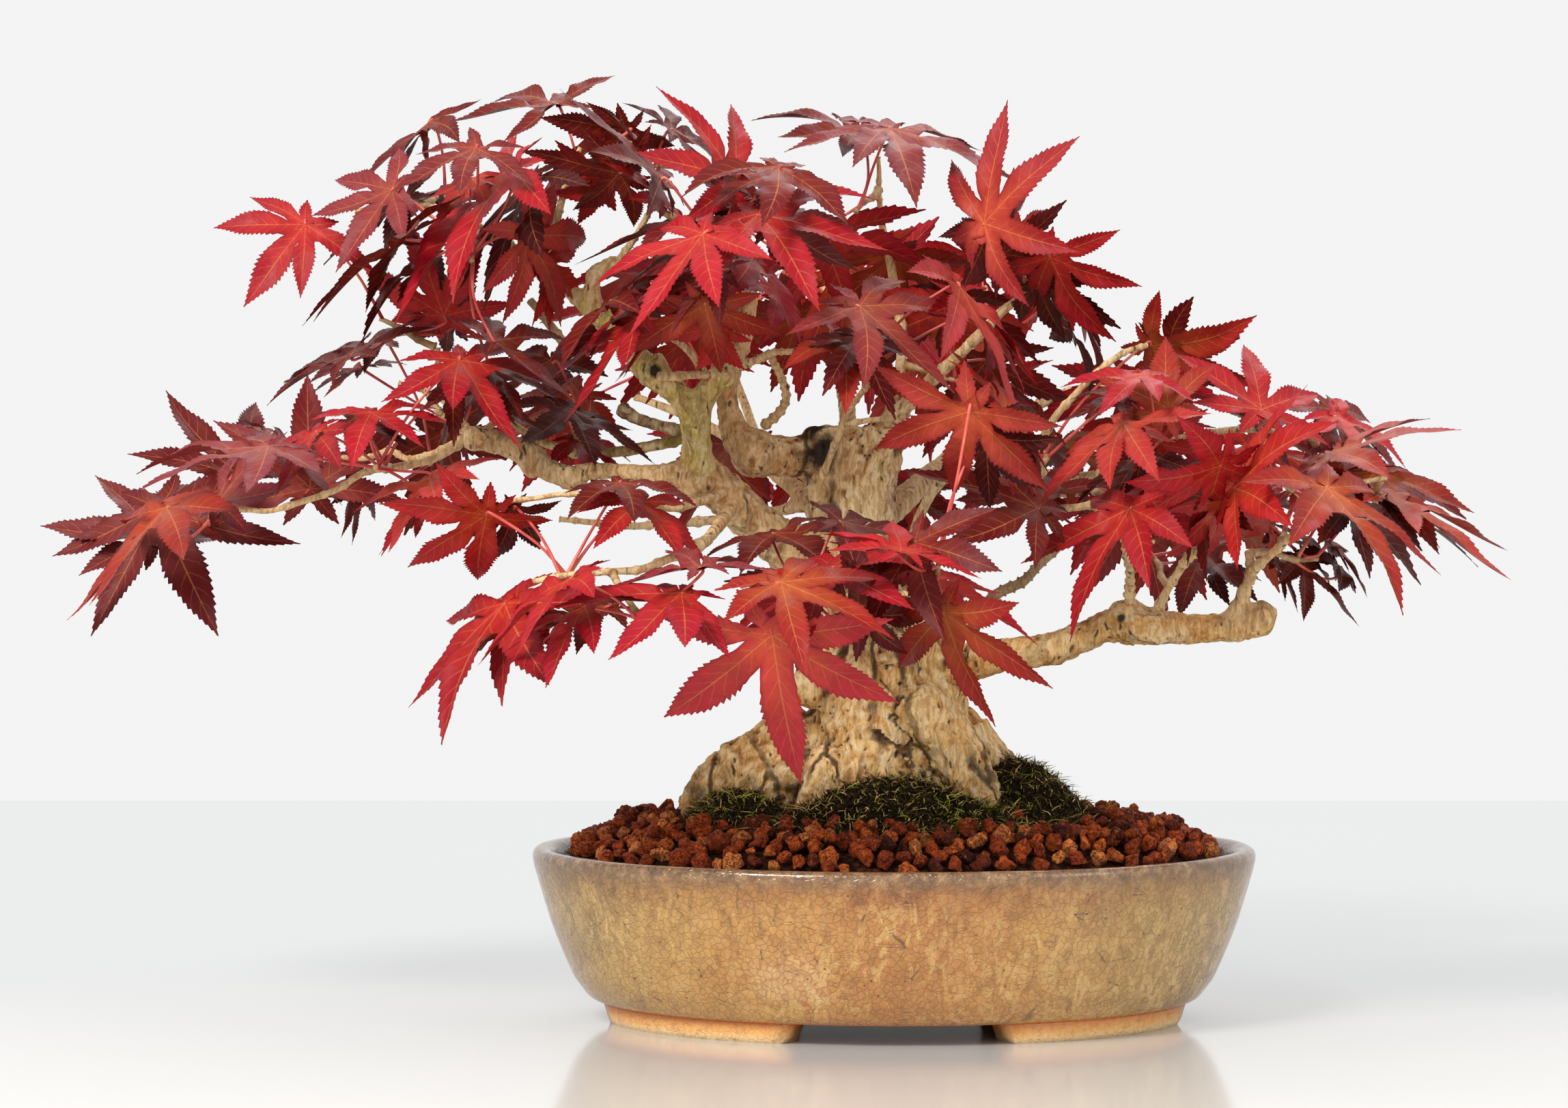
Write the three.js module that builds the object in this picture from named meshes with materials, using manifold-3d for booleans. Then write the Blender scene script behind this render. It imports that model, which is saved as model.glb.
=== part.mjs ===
// Bonsai Japanese maple in an oval glazed pot. Millimetres, +Z up.
// The parts are laid out about the pot's centre; the finished group is moved so that its origin is the
// centre of the whole tree's footprint, on the plane the feet stand on. +X is the pot's long axis, -Y is the front.
import * as THREE from 'three';
import { mergeVertices } from 'three/addons/utils/BufferGeometryUtils.js';
import Module from 'manifold-3d';

const wasm = await Module();
wasm.setup();

// ---------- driving dimensions ----------
const POT_HALF_LENGTH = 92.3;      // outer half length at the rim
const POT_WIDTH_RATIO = 0.78;      // pot width / pot length
const POT_RIM_Z = 44;
const POT_BOTTOM_Z = 5;            // underside of the body, above the feet
const POT_FLOOR_Z = 10.5;          // inner floor
const FOOT_OUTER_HALF = 75;        // outer ellipse of the feet
const FOOT_RADIAL = 11;
const FOOT_START_DEG = 14;
const FOOT_END_DEG = 67;
const POT_SEGMENTS = 32;
const DRAIN_X = 47;
const DRAIN_R = 7;
const WIRE_HOLE_X = 32;
const WIRE_HOLE_Y = 12;
const WIRE_HOLE_R = 2.2;
const TIE_WIRE_R = 1.0;
const CLIP_WIRE_R = 0.6;
const MESH_SIDE = 21;
const MESH_T = 1;
const GAP = 0.35;                  // clearance kept between separate pieces
const DRAIN_TOP_Z = 17;            // top of the drainage layer
const DRESSING_T = 5;              // thickness of the akadama top dressing
const LEAF_HALF_T = 0.55;          // half thickness of a leaf blade at its centre
const PETIOLE_R = 0.55;
const TWIG_R = 0.85;
const TRUNK_DEPTH_RATIO = 0.86;
const FRONT_LEAVES = 89;           // leaves listed first have the full lobe outline

// trunk rings: [z, centre x, half width, centre y]
const TRUNK = [
  [33, -4, 27, 0], [46, -4, 27.5, 0], [54, -3, 25.5, 0], [60, -3, 22.6, 0], [67, -3.5, 20.6, 0], [72.5, -2.4, 19.9, 0],
  [79.5, -1.4, 19.8, 0], [88.5, -0.6, 19.2, 0], [97, -1.6, 17.6, 0], [107, -5, 15.8, 0], [116, -8.8, 14, 0], [123, -10.4, 12.2, 0],
  [128.5, -10.8, 10.8, 0], [135.5, -11.4, 11.4, 1], [141, -11.2, 12.6, 1], [147.5, -11, 12.9, 1], [151, -11.3, 11.8, 1],
];
// roots: [x, y, z, r] points
const ROOTS = [
  [[-22, 0, 76, 7], [-33, -2, 69, 6.2], [-42, -3, 64.5, 5.4], [-48.5, -4, 58.5, 4.6], [-53, -5, 50, 3.6], [-56, -6, 42, 2.4]],
  [[4, -12, 82, 8], [14, -15, 71, 7.6], [19.5, -17, 61, 6.4], [23, -21, 53, 4.8], [26, -25, 44, 3]],
  [[-16, -12, 66, 7], [-20, -21, 57, 5], [-24, -28, 47, 3]],
  [[-2, -16, 60, 5], [-14, -24, 56.5, 3], [-21, -27, 53, 2.2], [-26, -29, 47, 1.6]],
  [[14, 8, 74, 8], [27, 16, 62, 6], [36, 24, 52, 4.4], [42, 29, 43, 2.6]],
  [[-14, 10, 74, 8], [-26, 19, 62, 6], [-34, 28, 52, 4.2], [-40, 33, 43, 2.4]],
  [[18, 0, 72, 7.5], [27, -2, 62, 5.5], [37, -4, 53, 4], [46, -6, 44, 2.6]],
  [[0, 14, 70, 8], [1, 25, 58, 5.5], [2, 34, 48, 3.2]],
];
// branches: name, [x, y, z, r] points
const BRANCHES = [
  ["limb_l", [[-11.2,-2,112.1,6.96], [-27.8,-5,120.9,6.25], [-34.7,-8,126.2,5.71], [-43.3,-11,134.6,5.53], [-49.8,-13,138.9,5]]],
  ["limb_v", [[-49.8,-13,138.9,4.66], [-50.1,-14,145.3,3.96], [-50.1,-14,148.8,3.79], [-50.8,-14,155.6,4.65]]],
  ["limb_lu", [[-50.8,-14,155.6,3.45], [-56.2,-13,160.8,3.28], [-62.2,-12,165.8,3.8], [-66.6,-11,170.3,3.11], [-71.8,-9,176.3,2.94], [-76.2,-8,180.7,2.94], [-81.4,-6,185,2.25], [-88.4,-5,189.4,2.08], [-93.2,-5,194,2.6]]],
  ["stub_u", [[-75.8,-8,179.5,2.6], [-76.5,-8,185.8,2.08], [-75.8,-8,190.2,2.25], [-70.9,-9,192.2,2.08]]],
  ["limb_ru", [[-50.8,-14,155.6,3.45], [-45.8,-14,162.2,3.1], [-42.4,-14,165.1,3.27]]],
  ["limb2", [[-18.2,2,143,5.58], [-27.8,0,143.7,5.4], [-35.6,-2,144.3,5.22], [-40.3,-2,149.5,4], [-42.4,-1,156.4,2.96], [-42.4,0,163.4,2.61], [-40,4,170.4,2.8], [-37.9,6,178.2,2.62], [-36.8,6,190.5,1.92], [-39.1,2,204.3,1.4], [-43.4,0,215.5,0.87]]],
  ["hor_l", [[-49.8,-13,138.9,4.66], [-56.2,-13,138.9,3.79], [-60.5,-12,138.9,2.93], [-70.9,-11,139.9,2.16], [-77.5,-10,140.1,2.42], [-81.7,-10,138.3,2.94], [-88,-9,140.4,2.94], [-92.2,-8,143.8,3.29], [-98.7,-8,146.6,3.12], [-105.1,-8,148.3,3.12], [-109.5,-8,148.5,3.12]]],
  ["knot_l", [[-91.2,-9,141.8,2.25], [-92.7,-11,139.1,2.07]]],
  ["tw_l1", [[-108.4,-8,148.5,1.38], [-116,-8,143.5,0.95], [-123,-8,141.4,0.87], [-133.4,-7,140,0.87], [-140.4,-7,135.7,0.78], [-147.3,-7,133.1,0.78], [-159.5,-7,130,0.69], [-171.5,-8,131,0.61]]],
  ["tw_l2", [[-108.4,-8,148.5,1.21], [-116.4,-2,145.1,0.87], [-123.7,2,143,0.79], [-129.1,4,145.1,0.79], [-136.2,5,142.9,0.7], [-144.6,2,143.7,0.61]]],
  ["tw_l3", [[-108.4,-8,149.4,1.21], [-114.2,-9,153.9,0.95], [-119.3,-10,160.3,0.78], [-125.5,-8,162.5,0.61]]],
  ["tw_l4", [[-106.5,-8,148.7,1.13], [-112.7,-6,155.6,0.95], [-115.9,-4,163.4,0.78], [-116.2,-5,171.2,0.69]]],
  ["ol_b", [[-53,0,148.6,1.74], [-60.9,4,146.4,1.75], [-76.1,12,144.2,1.58], [-89.7,22,146.6,1.06], [-102,36,153.6,0.81]]],
  ["dead", [[-53.8,-6,150.1,1.73], [-64.3,-2,152.8,1.74], [-70.4,0,156.2,2.26]]],
  ["tw_c1", [[-42.4,-14,165.1,1.21], [-51.8,-20,164.1,1.03], [-59.4,-24,163.9,1.2]]],
  ["tw_c2", [[-42.4,-14,165.1,1.21], [-34.6,-22,168,0.94], [-31.2,-30,169.7,0.85], [-26.1,-36,170.3,0.68]]],
  ["tw_c3", [[-33.3,-2,151.4,1.22], [-27.8,-10,157.3,1.04], [-29,-18,164.2,0.94], [-31.2,-26,169.3,0.77]]],
  ["tw_c4", [[-46.7,-14,162.5,1.12], [-53.4,-22,171.9,0.86], [-60.1,-28,176.2,0.68]]],
  ["tw_f1", [[-20.5,-9,131.1,1.04], [-17.1,-14,141.9,0.86], [-13.2,-20,152.2,0.86], [-10.7,-26,157.4,0.77], [-7.4,-34,161.7,0.68]]],
  ["tw_f2", [[-13.2,-20,152.2,0.77], [-4.7,-26,153.2,0.68], [2.8,-34,154.4,0.68]]],
  ["top_r", [[-6.8,3,145.1,3.84], [1.9,2,155.5,2.62], [8.8,0,162.5,2.09], [19.1,-4,172.1,1.56], [28.4,-8,181.5,1.13], [37.9,-10,186.7,0.78]]],
  ["top_r2", [[-1.6,4,151.2,2.1], [2.2,14,169.5,1.58], [0.5,18,187.2,1.24], [-3.1,14,204.7,0.88], [-3.6,10,211,0.7], [-4.2,6,221,0.55]]],
  ["top_b", [[-12,6,141.5,2.97], [-11.7,28,155.4,2.31], [-15.1,45,173.3,1.62], [-18.7,55,191.5,1.18], [-22.3,60,206.1,0.82]]],
  ["up_l", [[-93.2,-5,194,1.74], [-102.1,-8,199.7,1.21], [-112.3,-10,205.6,0.86], [-122.8,-8,207.4,0.69], [-136.8,-6,205.8,0.61]]],
  ["up_l2", [[-88.4,-5,189.4,1.3], [-85.9,-3,202.4,1.04], [-83.3,-2,214.6,0.78], [-79.8,-2,222.4,0.61]]],
  ["up_l3", [[-70.9,-9,192.2,1.04], [-63.9,-12,202.1,0.78], [-60.4,-14,210.7,0.6], [-62.1,-14,218.4,0.55]]],
  ["grey_l", [[-84.8,0,172.9,1.22], [-88.7,0,178.2,1.22], [-93.1,2,183.4,1.05]]],
  ["r_low", [[3.7,4,88.2,7.86], [19.3,-2,91.2,5.22], [29.6,-5,93.4,4.34], [39.9,-7,94.9,4.33], [46.8,-8,97.6,3.98], [53.7,-8,100.5,3.98], [58.9,-8,100.9,5.02], [65.8,-8,100.5,4.5], [74.6,-7,99.9,3.81], [85.1,-6,100.1,3.81], [90.3,-6,101.1,3.99], [94.8,-6,102.2,3.99]]],
  ["r_k", [[58.9,-8,102.8,2.6], [57.2,-8,105.7,1.73]]],
  ["r_t1", [[85.1,-6,102.7,2.25], [88.7,-8,108.8,1.73], [90.9,-10,115,1.3], [97.9,-16,121.8,0.95], [104.8,-24,129.7,0.77], [112.9,-28,136.1,0.68], [122.7,-24,138.6,0.6]]],
  ["r_t2", [[90.2,-10,114.5,1.12], [90.2,-6,119.2,1.21]]],
  ["r_t3", [[69.5,-10,110.7,1.04], [73,-16,117.5,1.12], [75.2,-20,120,1.2], [80.7,-26,124.1,0.77], [82.7,-32,132,0.68]]],
  ["r_t3b", [[65.8,-8,102.8,1.38], [69.5,-10,110.7,1.04]]],
  ["r_t4", [[59.8,-8,104.5,1.73], [59.3,-14,110.8,1.21], [57.8,-24,118.1,0.94], [55.5,-32,125.2,0.76], [48.6,-34,132,0.68]]],
  ["r_up", [[-5.9,6,120.5,2.97], [3.6,0,122.5,1.74], [7.3,-4,130.4,1.56], [10.7,-7,136.2,1.56], [15.5,-9,138.8,1.56], [32.7,-11,140.1,1.55], [43,-12,138.7,1.38], [53.2,-14,140.1,1.21], [65.1,-16,147.1,1.03], [77,-18,149.7,0.86], [90.7,-18,150.5,0.77], [105.1,-12,148.7,0.6]]],
  ["r_up2", [[32.7,-11,140.1,1.12], [39.4,-14,152.2,0.95], [47.9,-16,162.5,0.86], [56.5,-16,169.4,0.77], [63.6,-12,172,0.69]]],
  ["r_grey", [[19.6,8,97.6,2.28], [25.9,12,107.1,1.49], [33.9,14,111.4,1.32], [41.2,18,118.3,1.06], [52.4,28,126.9,0.8]]],
  ["f_low", [[-3.6,-14,103.9,2.93], [-7.5,-40,108.5,2.03], [-12.8,-62,113.1,1.33], [-21.2,-74,112.9,0.9], [-27.8,-80,109.4,0.65]]],
  ["f_low2", [[-7.5,-40,108.5,1.52], [0.6,-58,112.6,1.08], [7.7,-70,110.6,0.74]]],
  ["lf", [[-40.7,-14,132.4,2.24], [-47.3,-34,123.5,1.53], [-55.5,-48,119.8,1.17], [-64.4,-58,116.8,0.92], [-75.9,-62,116.1,0.75], [-89.3,-60,114.4,0.66]]],
  ["lf2", [[-43.2,-16,134.7,1.38], [-55.9,-30,131.1,0.94], [-65,-38,134.1,0.76], [-78.4,-40,135.2,0.68], [-97,-40,133,0.59]]],
  ["b_l", [[-12,8,120.5,4.38], [-20.6,40,130.2,3.05], [-33.2,66,140.5,2.01], [-50,84,151.3,1.39], [-68.8,94,158.7,0.93]]],
  ["b_l2", [[-33.2,66,140.5,1.46], [-40.7,84,162.5,1.11], [-46.3,90,182.9,0.84]]],
  ["b_l3", [[-20.6,40,130.2,1.8], [-44.2,66,125.9,1.37], [-68.4,80,123.6,1.02], [-89,84,125.4,0.74]]],
  ["b_r", [[-3.2,10,127.4,4.04], [11.8,42,139.1,2.88], [27.1,64,149.7,2.01], [46.1,78,158.8,1.38], [66.8,84,162.5,0.93]]],
  ["b_r2", [[27.1,64,149.7,1.46], [29.6,80,169.8,1.11], [26.1,86,188.4,0.84]]],
  ["b_r3", [[11.8,42,139.1,1.8], [33,72,133.1,1.38], [56,88,132.7,1.02], [78.4,90,136.4,0.75]]],
  ["b_c", [[-10.1,14,109.7,3.52], [-6,50,113.6,2.35], [-1.8,80,116.2,1.48], [2.4,102,119.2,0.94]]]
];
// leaves: petiole end, upper-side normal, seven lobe tips relative to the petiole end, colour index
const LEAVES = [
  [-148.1,-20,202.1,0.04,-0.84,0.54,-14.8,-7.7,-20.8,-0.5,-9,-18.7,-23.3,1.9,-0.9,17.5,-2.3,-11.5,-14.9,8.6,7.2,8.2,2.5,0.8,0,5.7,6.4,0],
  [-126.3,-21,210.7,-0.28,-0.7,0.66,-20.9,6.2,-6.3,-13.5,-7.9,-20.9,-15.9,17.3,3.1,3.9,-10.8,-14.1,0.7,14.3,11.1,6.5,-3.6,-6.9,6.3,3.7,4.5,6],
  [-104,-42,220.2,-0.06,-0.51,0.86,-2.9,-16.8,-11.8,14.4,-11.3,-9.5,-20.4,-7.8,-11,12.3,0.7,0.3,-15.2,4.2,-1.4,3,5,0.2,-2,6.1,5.4,6],
  [-119,8,229.1,-0.61,-0.26,0.74,-8.8,-17.2,-15.6,9.1,-18.3,-6.3,-18.2,-1.9,-16.1,13.8,-6.4,5.6,-1.1,7.6,-12.1,5.8,2.8,4.1,-7.2,10,-11,4],
  [-95.9,-35,215.3,-0.59,-0.43,0.68,-29.3,5.1,-38.8,-12.7,-22,-33.6,-25.4,30,-20.9,11.2,-24.1,-12,-1.9,27.7,8.9,9,-7.3,2,7.7,7.8,8.3,0],
  [-92,-29,198.9,0.76,-0.65,0.03,7.5,16.1,-22.5,13.7,22.6,-0.1,-6.3,-1.2,-22,6.4,13.1,14.1,-10.6,-10.6,-14.3,-1.6,0.9,9.4,-11.2,-6,1.4,7],
  [-123.1,-27,198.3,-0.63,0.1,0.77,-20.1,-25.2,-21,2.6,-34.5,-0.4,-25.6,3.6,-21.8,16.6,-17.9,10.5,-11.1,20.1,-18.2,10.8,0.9,6.2,3.5,11.9,-1.2,4],
  [-86.4,9,233.7,-0.13,-0.37,0.92,-18.3,21.9,1.3,-28.2,1.7,-4.4,1.9,25.8,4.2,-13.2,-12.1,-10.1,14.7,11.9,8.1,-4.4,-8.3,-1.2,9.6,-1.3,-0.9,4],
  [-68.2,-1,226.6,0.21,-0.74,-0.64,-14.8,11.3,-12.6,2.7,16.4,-13,-22.1,-1,3.1,12.2,10,-3.6,-9.9,-7.3,6.8,4.5,1.1,5.4,-2.1,-4,6.8,4],
  [-69.3,-21,215,-0.05,-0.74,-0.67,-25,1.5,5.5,-12.3,12.6,-8.9,-10.1,-8.9,11.7,3.1,12.7,-13.2,8.2,-8.8,11.7,9.1,4.3,-3.8,6.5,-1.9,3.4,4],
  [-58.6,-32,212.9,0.78,-0.2,0.59,-25,-5.4,22.3,-17.5,-26.1,5.8,-15.6,20.3,19.1,-3.1,-21.9,-9.7,-0.8,24.3,2.8,2.9,-4.6,-9.3,5.4,8.8,-6.3,4],
  [-56.7,6,227.1,0.5,-0.31,0.81,10.5,19.9,-4.9,-4.4,19.2,7.2,13.1,5.6,-10.2,-13,6.3,7.2,7.2,-7.1,-14.2,-6.9,-2.7,1.7,-0.5,-6.6,-3.7,5],
  [-29.3,-52,215.1,0.1,-0.43,0.9,-4.2,-22.9,-15.3,16.7,-14.7,-14.6,-23.6,-11.7,-7.9,13.7,1.4,-5.5,-20.2,4.5,-2.2,6.5,6.8,0.8,-4.8,7.7,2.6,4],
  [-39.9,-35,212.2,0.66,-0.6,0.45,-20.1,3.9,23.8,-24.8,-14.5,6.8,-1.7,21.2,20.4,-12.4,-15.7,-10,10.2,19.9,3.5,0,-4.4,-10.8,6.3,6,-5.8,0],
  [-8.8,0,226.3,0.2,-0.29,0.94,-27.7,7.2,3.1,-20.9,-11.9,-1.9,-5.8,21.4,4.3,-4.6,-16.1,-7.2,4.5,17.1,2.8,4.4,-6,-4.3,7.6,3.6,-1.9,4],
  [-1.4,-12,226.5,0.2,-0.29,0.94,5.9,-32.2,-21.2,33.3,-7.2,-14.2,-9.8,-30.5,-11.1,24,15.1,-5.1,-26.8,-8.2,-6.4,3.2,13.2,1.2,-11.8,6.4,2.2,6],
  [-34.3,-54,203.5,-0.06,-0.51,0.86,31.4,-10.8,-9,29.5,13.2,3.8,14.7,-24.4,-24,8.9,21.6,8.8,-12.2,-15.9,-15.7,-5,10.1,3.4,-11.2,-0.9,-3.4,0],
  [-47.3,-31,204.6,-0.26,-0.2,0.94,-22.1,30.3,-6.5,-33,2.9,-12.8,7.2,34.6,3.5,-17.2,-16.7,-12.8,22.3,14.8,4.7,1,-12,-4.5,12.5,-2.8,0.6,4],
  [-47.6,-65,198.4,-0.39,-0.57,0.72,-17.9,-8.6,-24.7,4,-20.6,-18,-26.8,12.1,-12.4,16.9,-13.5,-6.6,-11.2,19,1.8,9.1,-0.7,0.5,2,8.8,5.7,0],
  [-35.8,-28,193.5,0.68,-0.34,0.65,-7.5,-22.5,-9.9,9.5,-12.6,-19.1,-18.9,-13.7,6.6,12.3,3,-14.5,-14.4,2,11.5,4.3,7,-2.9,-3.1,6.7,4.7,0],
  [-47.4,-55,181.5,-0.13,-0.85,-0.51,3.8,14.1,-16.7,18.9,7.1,-7.5,-18.5,11.9,-11.8,14.3,-0.9,3,-11.2,3.8,2.3,4.2,-2.7,5.7,-4.8,-1.3,5.7,2],
  [-9.7,-60,181,0.24,-0.49,0.84,22.8,-10.9,-21.1,26.8,11.1,-2.7,0.7,-22.6,-19.9,11.8,19.4,6.5,-18.1,-14.2,-7.1,-7.3,9.3,5.7,-10.6,-0.5,0.8,6],
  [-14.5,-50,172.9,0.21,-0.64,0.74,18.8,-5.8,-15.9,21.5,9.8,-2.8,1.3,-15,-18.4,8.5,14.7,6.5,-13.9,-10,-7.5,-2.5,6.7,4.8,-6.5,-0.5,-1.2,2],
  [16.5,-75,155.5,-0.32,-0.83,-0.45,-3,20.2,-20.7,19.5,9.2,-19.2,-22.5,17.9,-9.2,22.2,-2.4,-3.5,-23,6.3,11.3,4.9,-4.2,7.1,-1.3,-1.6,12.2,7],
  [26.4,-55,155.2,0.78,-0.2,0.59,-2.5,27.8,7.3,-15.1,13.2,17.5,9.2,21,-14.3,-15.1,-4.9,12.9,10.8,2.9,-16,-5.1,-8,1.5,2.1,-5.8,-7.4,2],
  [21.9,-25,202.1,-0.74,-0.67,0.1,23.1,-14.2,21.2,6.1,5.5,31.3,22.9,-20.2,-7.5,-7.5,16.6,16.8,10.9,-9.1,-20.8,-7.9,9.8,-3.8,-2.7,2.3,-11.4,7],
  [24.5,-6,203.7,0.52,-0.82,0.25,7.3,2.6,-21,15.7,11.7,-7.7,-8.1,-6.7,-18.3,9.5,11.3,6.6,-13.8,-7.1,-4.6,0.3,3.8,5.5,-4.8,-1.6,3.6,4],
  [38,-30,193.8,-0.4,-0.73,-0.55,17.4,10.1,-21.1,22.8,-4,-7.5,-2.9,18.2,-12.6,17,-9.4,6.5,-12.8,12.7,-2.3,0.7,-4.2,7.5,-7,2.3,4.5,0],
  [44.3,-3,185.1,0.85,-0.03,0.53,8.7,19.9,-23.3,-2.6,29.6,-1.7,11.1,-5.5,-27.2,-10.9,16.4,11.7,3.1,-18.6,-12.9,-7.1,-0.1,8.2,-3,-10.3,1,4],
  [65.4,0,171.9,-0.4,-0.73,-0.55,28.7,-1.6,-11.3,25.8,-13.2,7.7,12.6,13.4,-19.3,1.4,-10.6,13.9,2.6,15.9,-9.4,-4,-1.4,5.8,-7.3,6.3,-0.3,2],
  [14.9,-51,185.9,0.78,-0.2,0.59,14.4,-10.3,-32.8,18.4,18.8,-21.4,-5.7,-30.4,-18.2,2.5,26.1,-7.7,-13.6,-22.9,3.1,-4,10.6,5.6,-9.3,-3.7,7.8,7],
  [60.6,-43,164.4,0.01,-0.28,0.96,-12,-15.4,-9.9,2.5,-18.5,-6.9,-20.6,0.5,-3.2,11.8,-7.7,-6.6,-11.4,11.2,0.7,7.3,2,-0.7,0.1,7.5,0.9,0],
  [55,-50,152.5,-0.45,-0.43,0.78,-4.3,-19.2,-15.7,7.7,-21,-14.2,-20.8,-0.9,-20.4,21.1,-7.3,2.5,-13.7,12.7,-8,13.1,3.4,-4.5,-2,9.2,1.9,7],
  [67,-39,155.8,-0.26,-0.83,0.5,-17.9,15.7,8.9,-21.4,5.8,-8.9,0.4,15.4,18.3,-9,-3.1,-15.7,12.8,6.4,11.4,1.9,-3.6,-7.6,8.3,-0.8,0,2],
  [90.9,-29,155.6,0.38,-0.64,0.67,-2.5,23.1,16.5,-20.9,9.2,14.1,16.6,20.6,3.8,-18.2,-4.9,1.9,17.9,6.5,-9.2,-6.3,-6.1,-5.8,5.6,-2.8,-6.6,0],
  [113.9,10,153.6,0.35,-0.34,0.87,17,-5.9,-13.1,16,10.8,-7.4,4.2,-17.2,-8.6,2.8,15.2,4.6,-8.9,-12.7,-4.2,-1.2,6.4,4.6,-9.3,-1.8,-1.1,0],
  [113.9,22,155.4,0.54,-0.44,0.71,9.8,-14.4,-22.9,19.8,6,-17.4,-9.6,-22,-12.4,12.1,16.4,-3.6,-17.7,-11.4,1.4,0.1,9.1,3.4,-8,1,4.8,6],
  [108.9,-17,144.5,-0.4,-0.13,0.91,31.9,-12.6,6.1,27.6,15.2,8.7,12.4,-29.9,-6,8.1,23.8,0.7,-7.9,-21.1,-10.9,-4.3,10.4,-2.6,-9.4,-2.7,-6.6,2],
  [104.7,-55,136.7,0.54,-0.44,0.71,16.2,-18.8,-30.4,28.9,7.8,-21.7,-12.3,-28.7,-13.3,13,21.4,-1.2,-22.4,-14.9,1.8,1,11.9,5.8,-10.7,1.3,3,2],
  [123.3,2,139.8,0.1,-0.43,0.9,-18.1,-28.3,-18.1,12.7,-26.5,-20.4,-35,-5.9,-5.1,24.2,-6.5,-10.5,-23.1,14.1,4.5,12,6.1,-1.7,-2.5,12.1,3.8,2],
  [122.9,-18,134.5,0.38,-0.17,0.91,34.2,19.5,-15.1,10.8,37.2,-2.9,30.4,-12.9,-21.3,-14.7,24.5,5.5,5.7,-25.3,-9.4,-13,2.7,3.5,-6.7,-11.9,-1.8,2],
  [82.9,-45,136.5,-0.82,-0.3,0.48,23.4,-19.1,16.5,18.7,7,25.5,11.8,-28.9,-8.9,5,20.3,13.3,-0.7,-15.3,-19.7,-3.5,11.3,0,-4.4,0.9,-10.8,1],
  [78.9,-50,142,0.47,-0.65,-0.6,-24.3,7,-17.1,-6.2,22.1,-18.8,-24.6,-11.5,-3.7,17.2,18.8,-2.9,-11.9,-14.7,12.4,10.6,5,5.5,1.7,-4.8,9.4,0],
  [80.2,14,118.1,-0.06,-0.51,0.86,13,-14.3,-12,12.2,-0.7,-11.1,-7.6,-15.4,-15.5,12.4,9.7,3.6,-12.8,-5,-6.7,0.5,7.1,2.8,-7.1,2.8,-0.2,4],
  [95.7,-3,126,0.9,-0.28,0.33,-12.9,4,25.3,-15.3,-16.6,14.8,-3.1,22.4,14.8,-8.5,-18.7,-2.8,2.6,20.2,-3.5,-0.9,-6,-7.8,2.8,5.4,-7.7,7],
  [105,13,116.8,0.68,-0.34,0.65,15.5,1.9,-17.4,9.3,16.4,-7.2,-0.5,-13.4,-15.3,0.9,15.7,3.5,-7,-14,-5.8,-3.9,4.6,4.6,-6,-4.1,2.2,4],
  [112.8,19,121.9,0.72,-0.09,0.69,-14.5,25.8,11.1,-23.4,2.8,18.1,3,28.7,-6.7,-15.3,-14.2,9.1,11.5,11.6,-15.8,-2.2,-10.4,-1.4,5.5,-2.9,-9,6],
  [56.2,-59,131.8,-0.59,-0.43,0.68,-14.8,-6.2,-32.4,3.3,-24.1,-19.3,-25.8,18.1,-14.1,14.1,-18.8,-9.2,-7.9,23.2,1.9,10.3,-3.1,4.3,3.6,9.2,6.1,0],
  [36.1,-30,134,-0.16,-0.63,0.76,-7.5,21.5,11.1,-21.3,11,-1.2,12.5,16.7,11.5,-13.6,-2.2,-10.6,17.7,3.4,2.8,-6,-5,-5.5,7.3,-3.4,-3.1,4],
  [34.4,-47,131.5,0.39,-0.5,0.77,-32.6,-0.2,9.5,-23.7,-20.1,-7.4,-17.1,21.6,16.1,-1.7,-18.7,-14.3,3.7,22.9,7.8,6.7,-4.4,-9.2,8.4,7.7,-1.7,4],
  [-0.4,-97,122.9,0.2,-0.29,0.94,-1.6,24.5,6.6,-19.3,13.6,3.5,12.2,16.8,-1.8,-17.8,-2.2,0,19,1,-6.8,-5.1,-6.3,-2.4,5,-5.4,-4.2,0],
  [3.4,-78,124.1,-0.54,-0.71,0.46,6.8,-14,-23.4,20.3,-14.2,-6.4,-11.7,-0.6,-23.6,19.8,-3.4,8.5,-15,10.1,-8.9,2,3.7,8,-5.2,7.6,2.4,4],
  [-16.4,-74,118,-0.29,-0.36,0.88,-7.1,-27.4,-19.9,19.1,-24.6,-9.2,-26.4,-7.1,-17.6,26.4,-5.4,1.8,-20.9,12,-6.5,7.6,6,5.1,-5.6,11.1,1.8,0],
  [-28.8,-97,115.3,0.1,-0.43,0.9,26.6,-9.6,-13.1,24.8,13.1,0,6,-23.2,-21.4,8.2,20.3,4.8,-13.4,-15.8,-8.5,-4.4,9.1,3,-15.8,-1.4,-1.8,2],
  [-30.9,-92,102.7,-0.22,-0.91,-0.35,7,19.4,-37.2,30.3,7,-16.7,-26.2,20.4,-20.9,28.7,-3.3,4,-27.1,10,4,7.7,-3.6,10.8,-8.5,0.3,10.8,7],
  [10,-85,107.7,-0.68,-0.66,-0.33,12.9,10.3,-28.2,25.7,-8.7,-17.8,-10.3,23.4,-14.7,17.4,-14.1,3,-13.3,17.9,1.9,3.7,-5.4,8.4,-5.3,3.9,8.4,2],
  [-10.2,-78,106.9,0.29,-0.95,0.05,13.8,9.5,18.9,-5.3,3.5,22.9,20.1,10.5,0.8,-15.1,-1.1,10.1,11.9,5.9,-9.8,-9.3,-1.2,-1.6,-0.7,0.8,-11.5,4],
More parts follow.
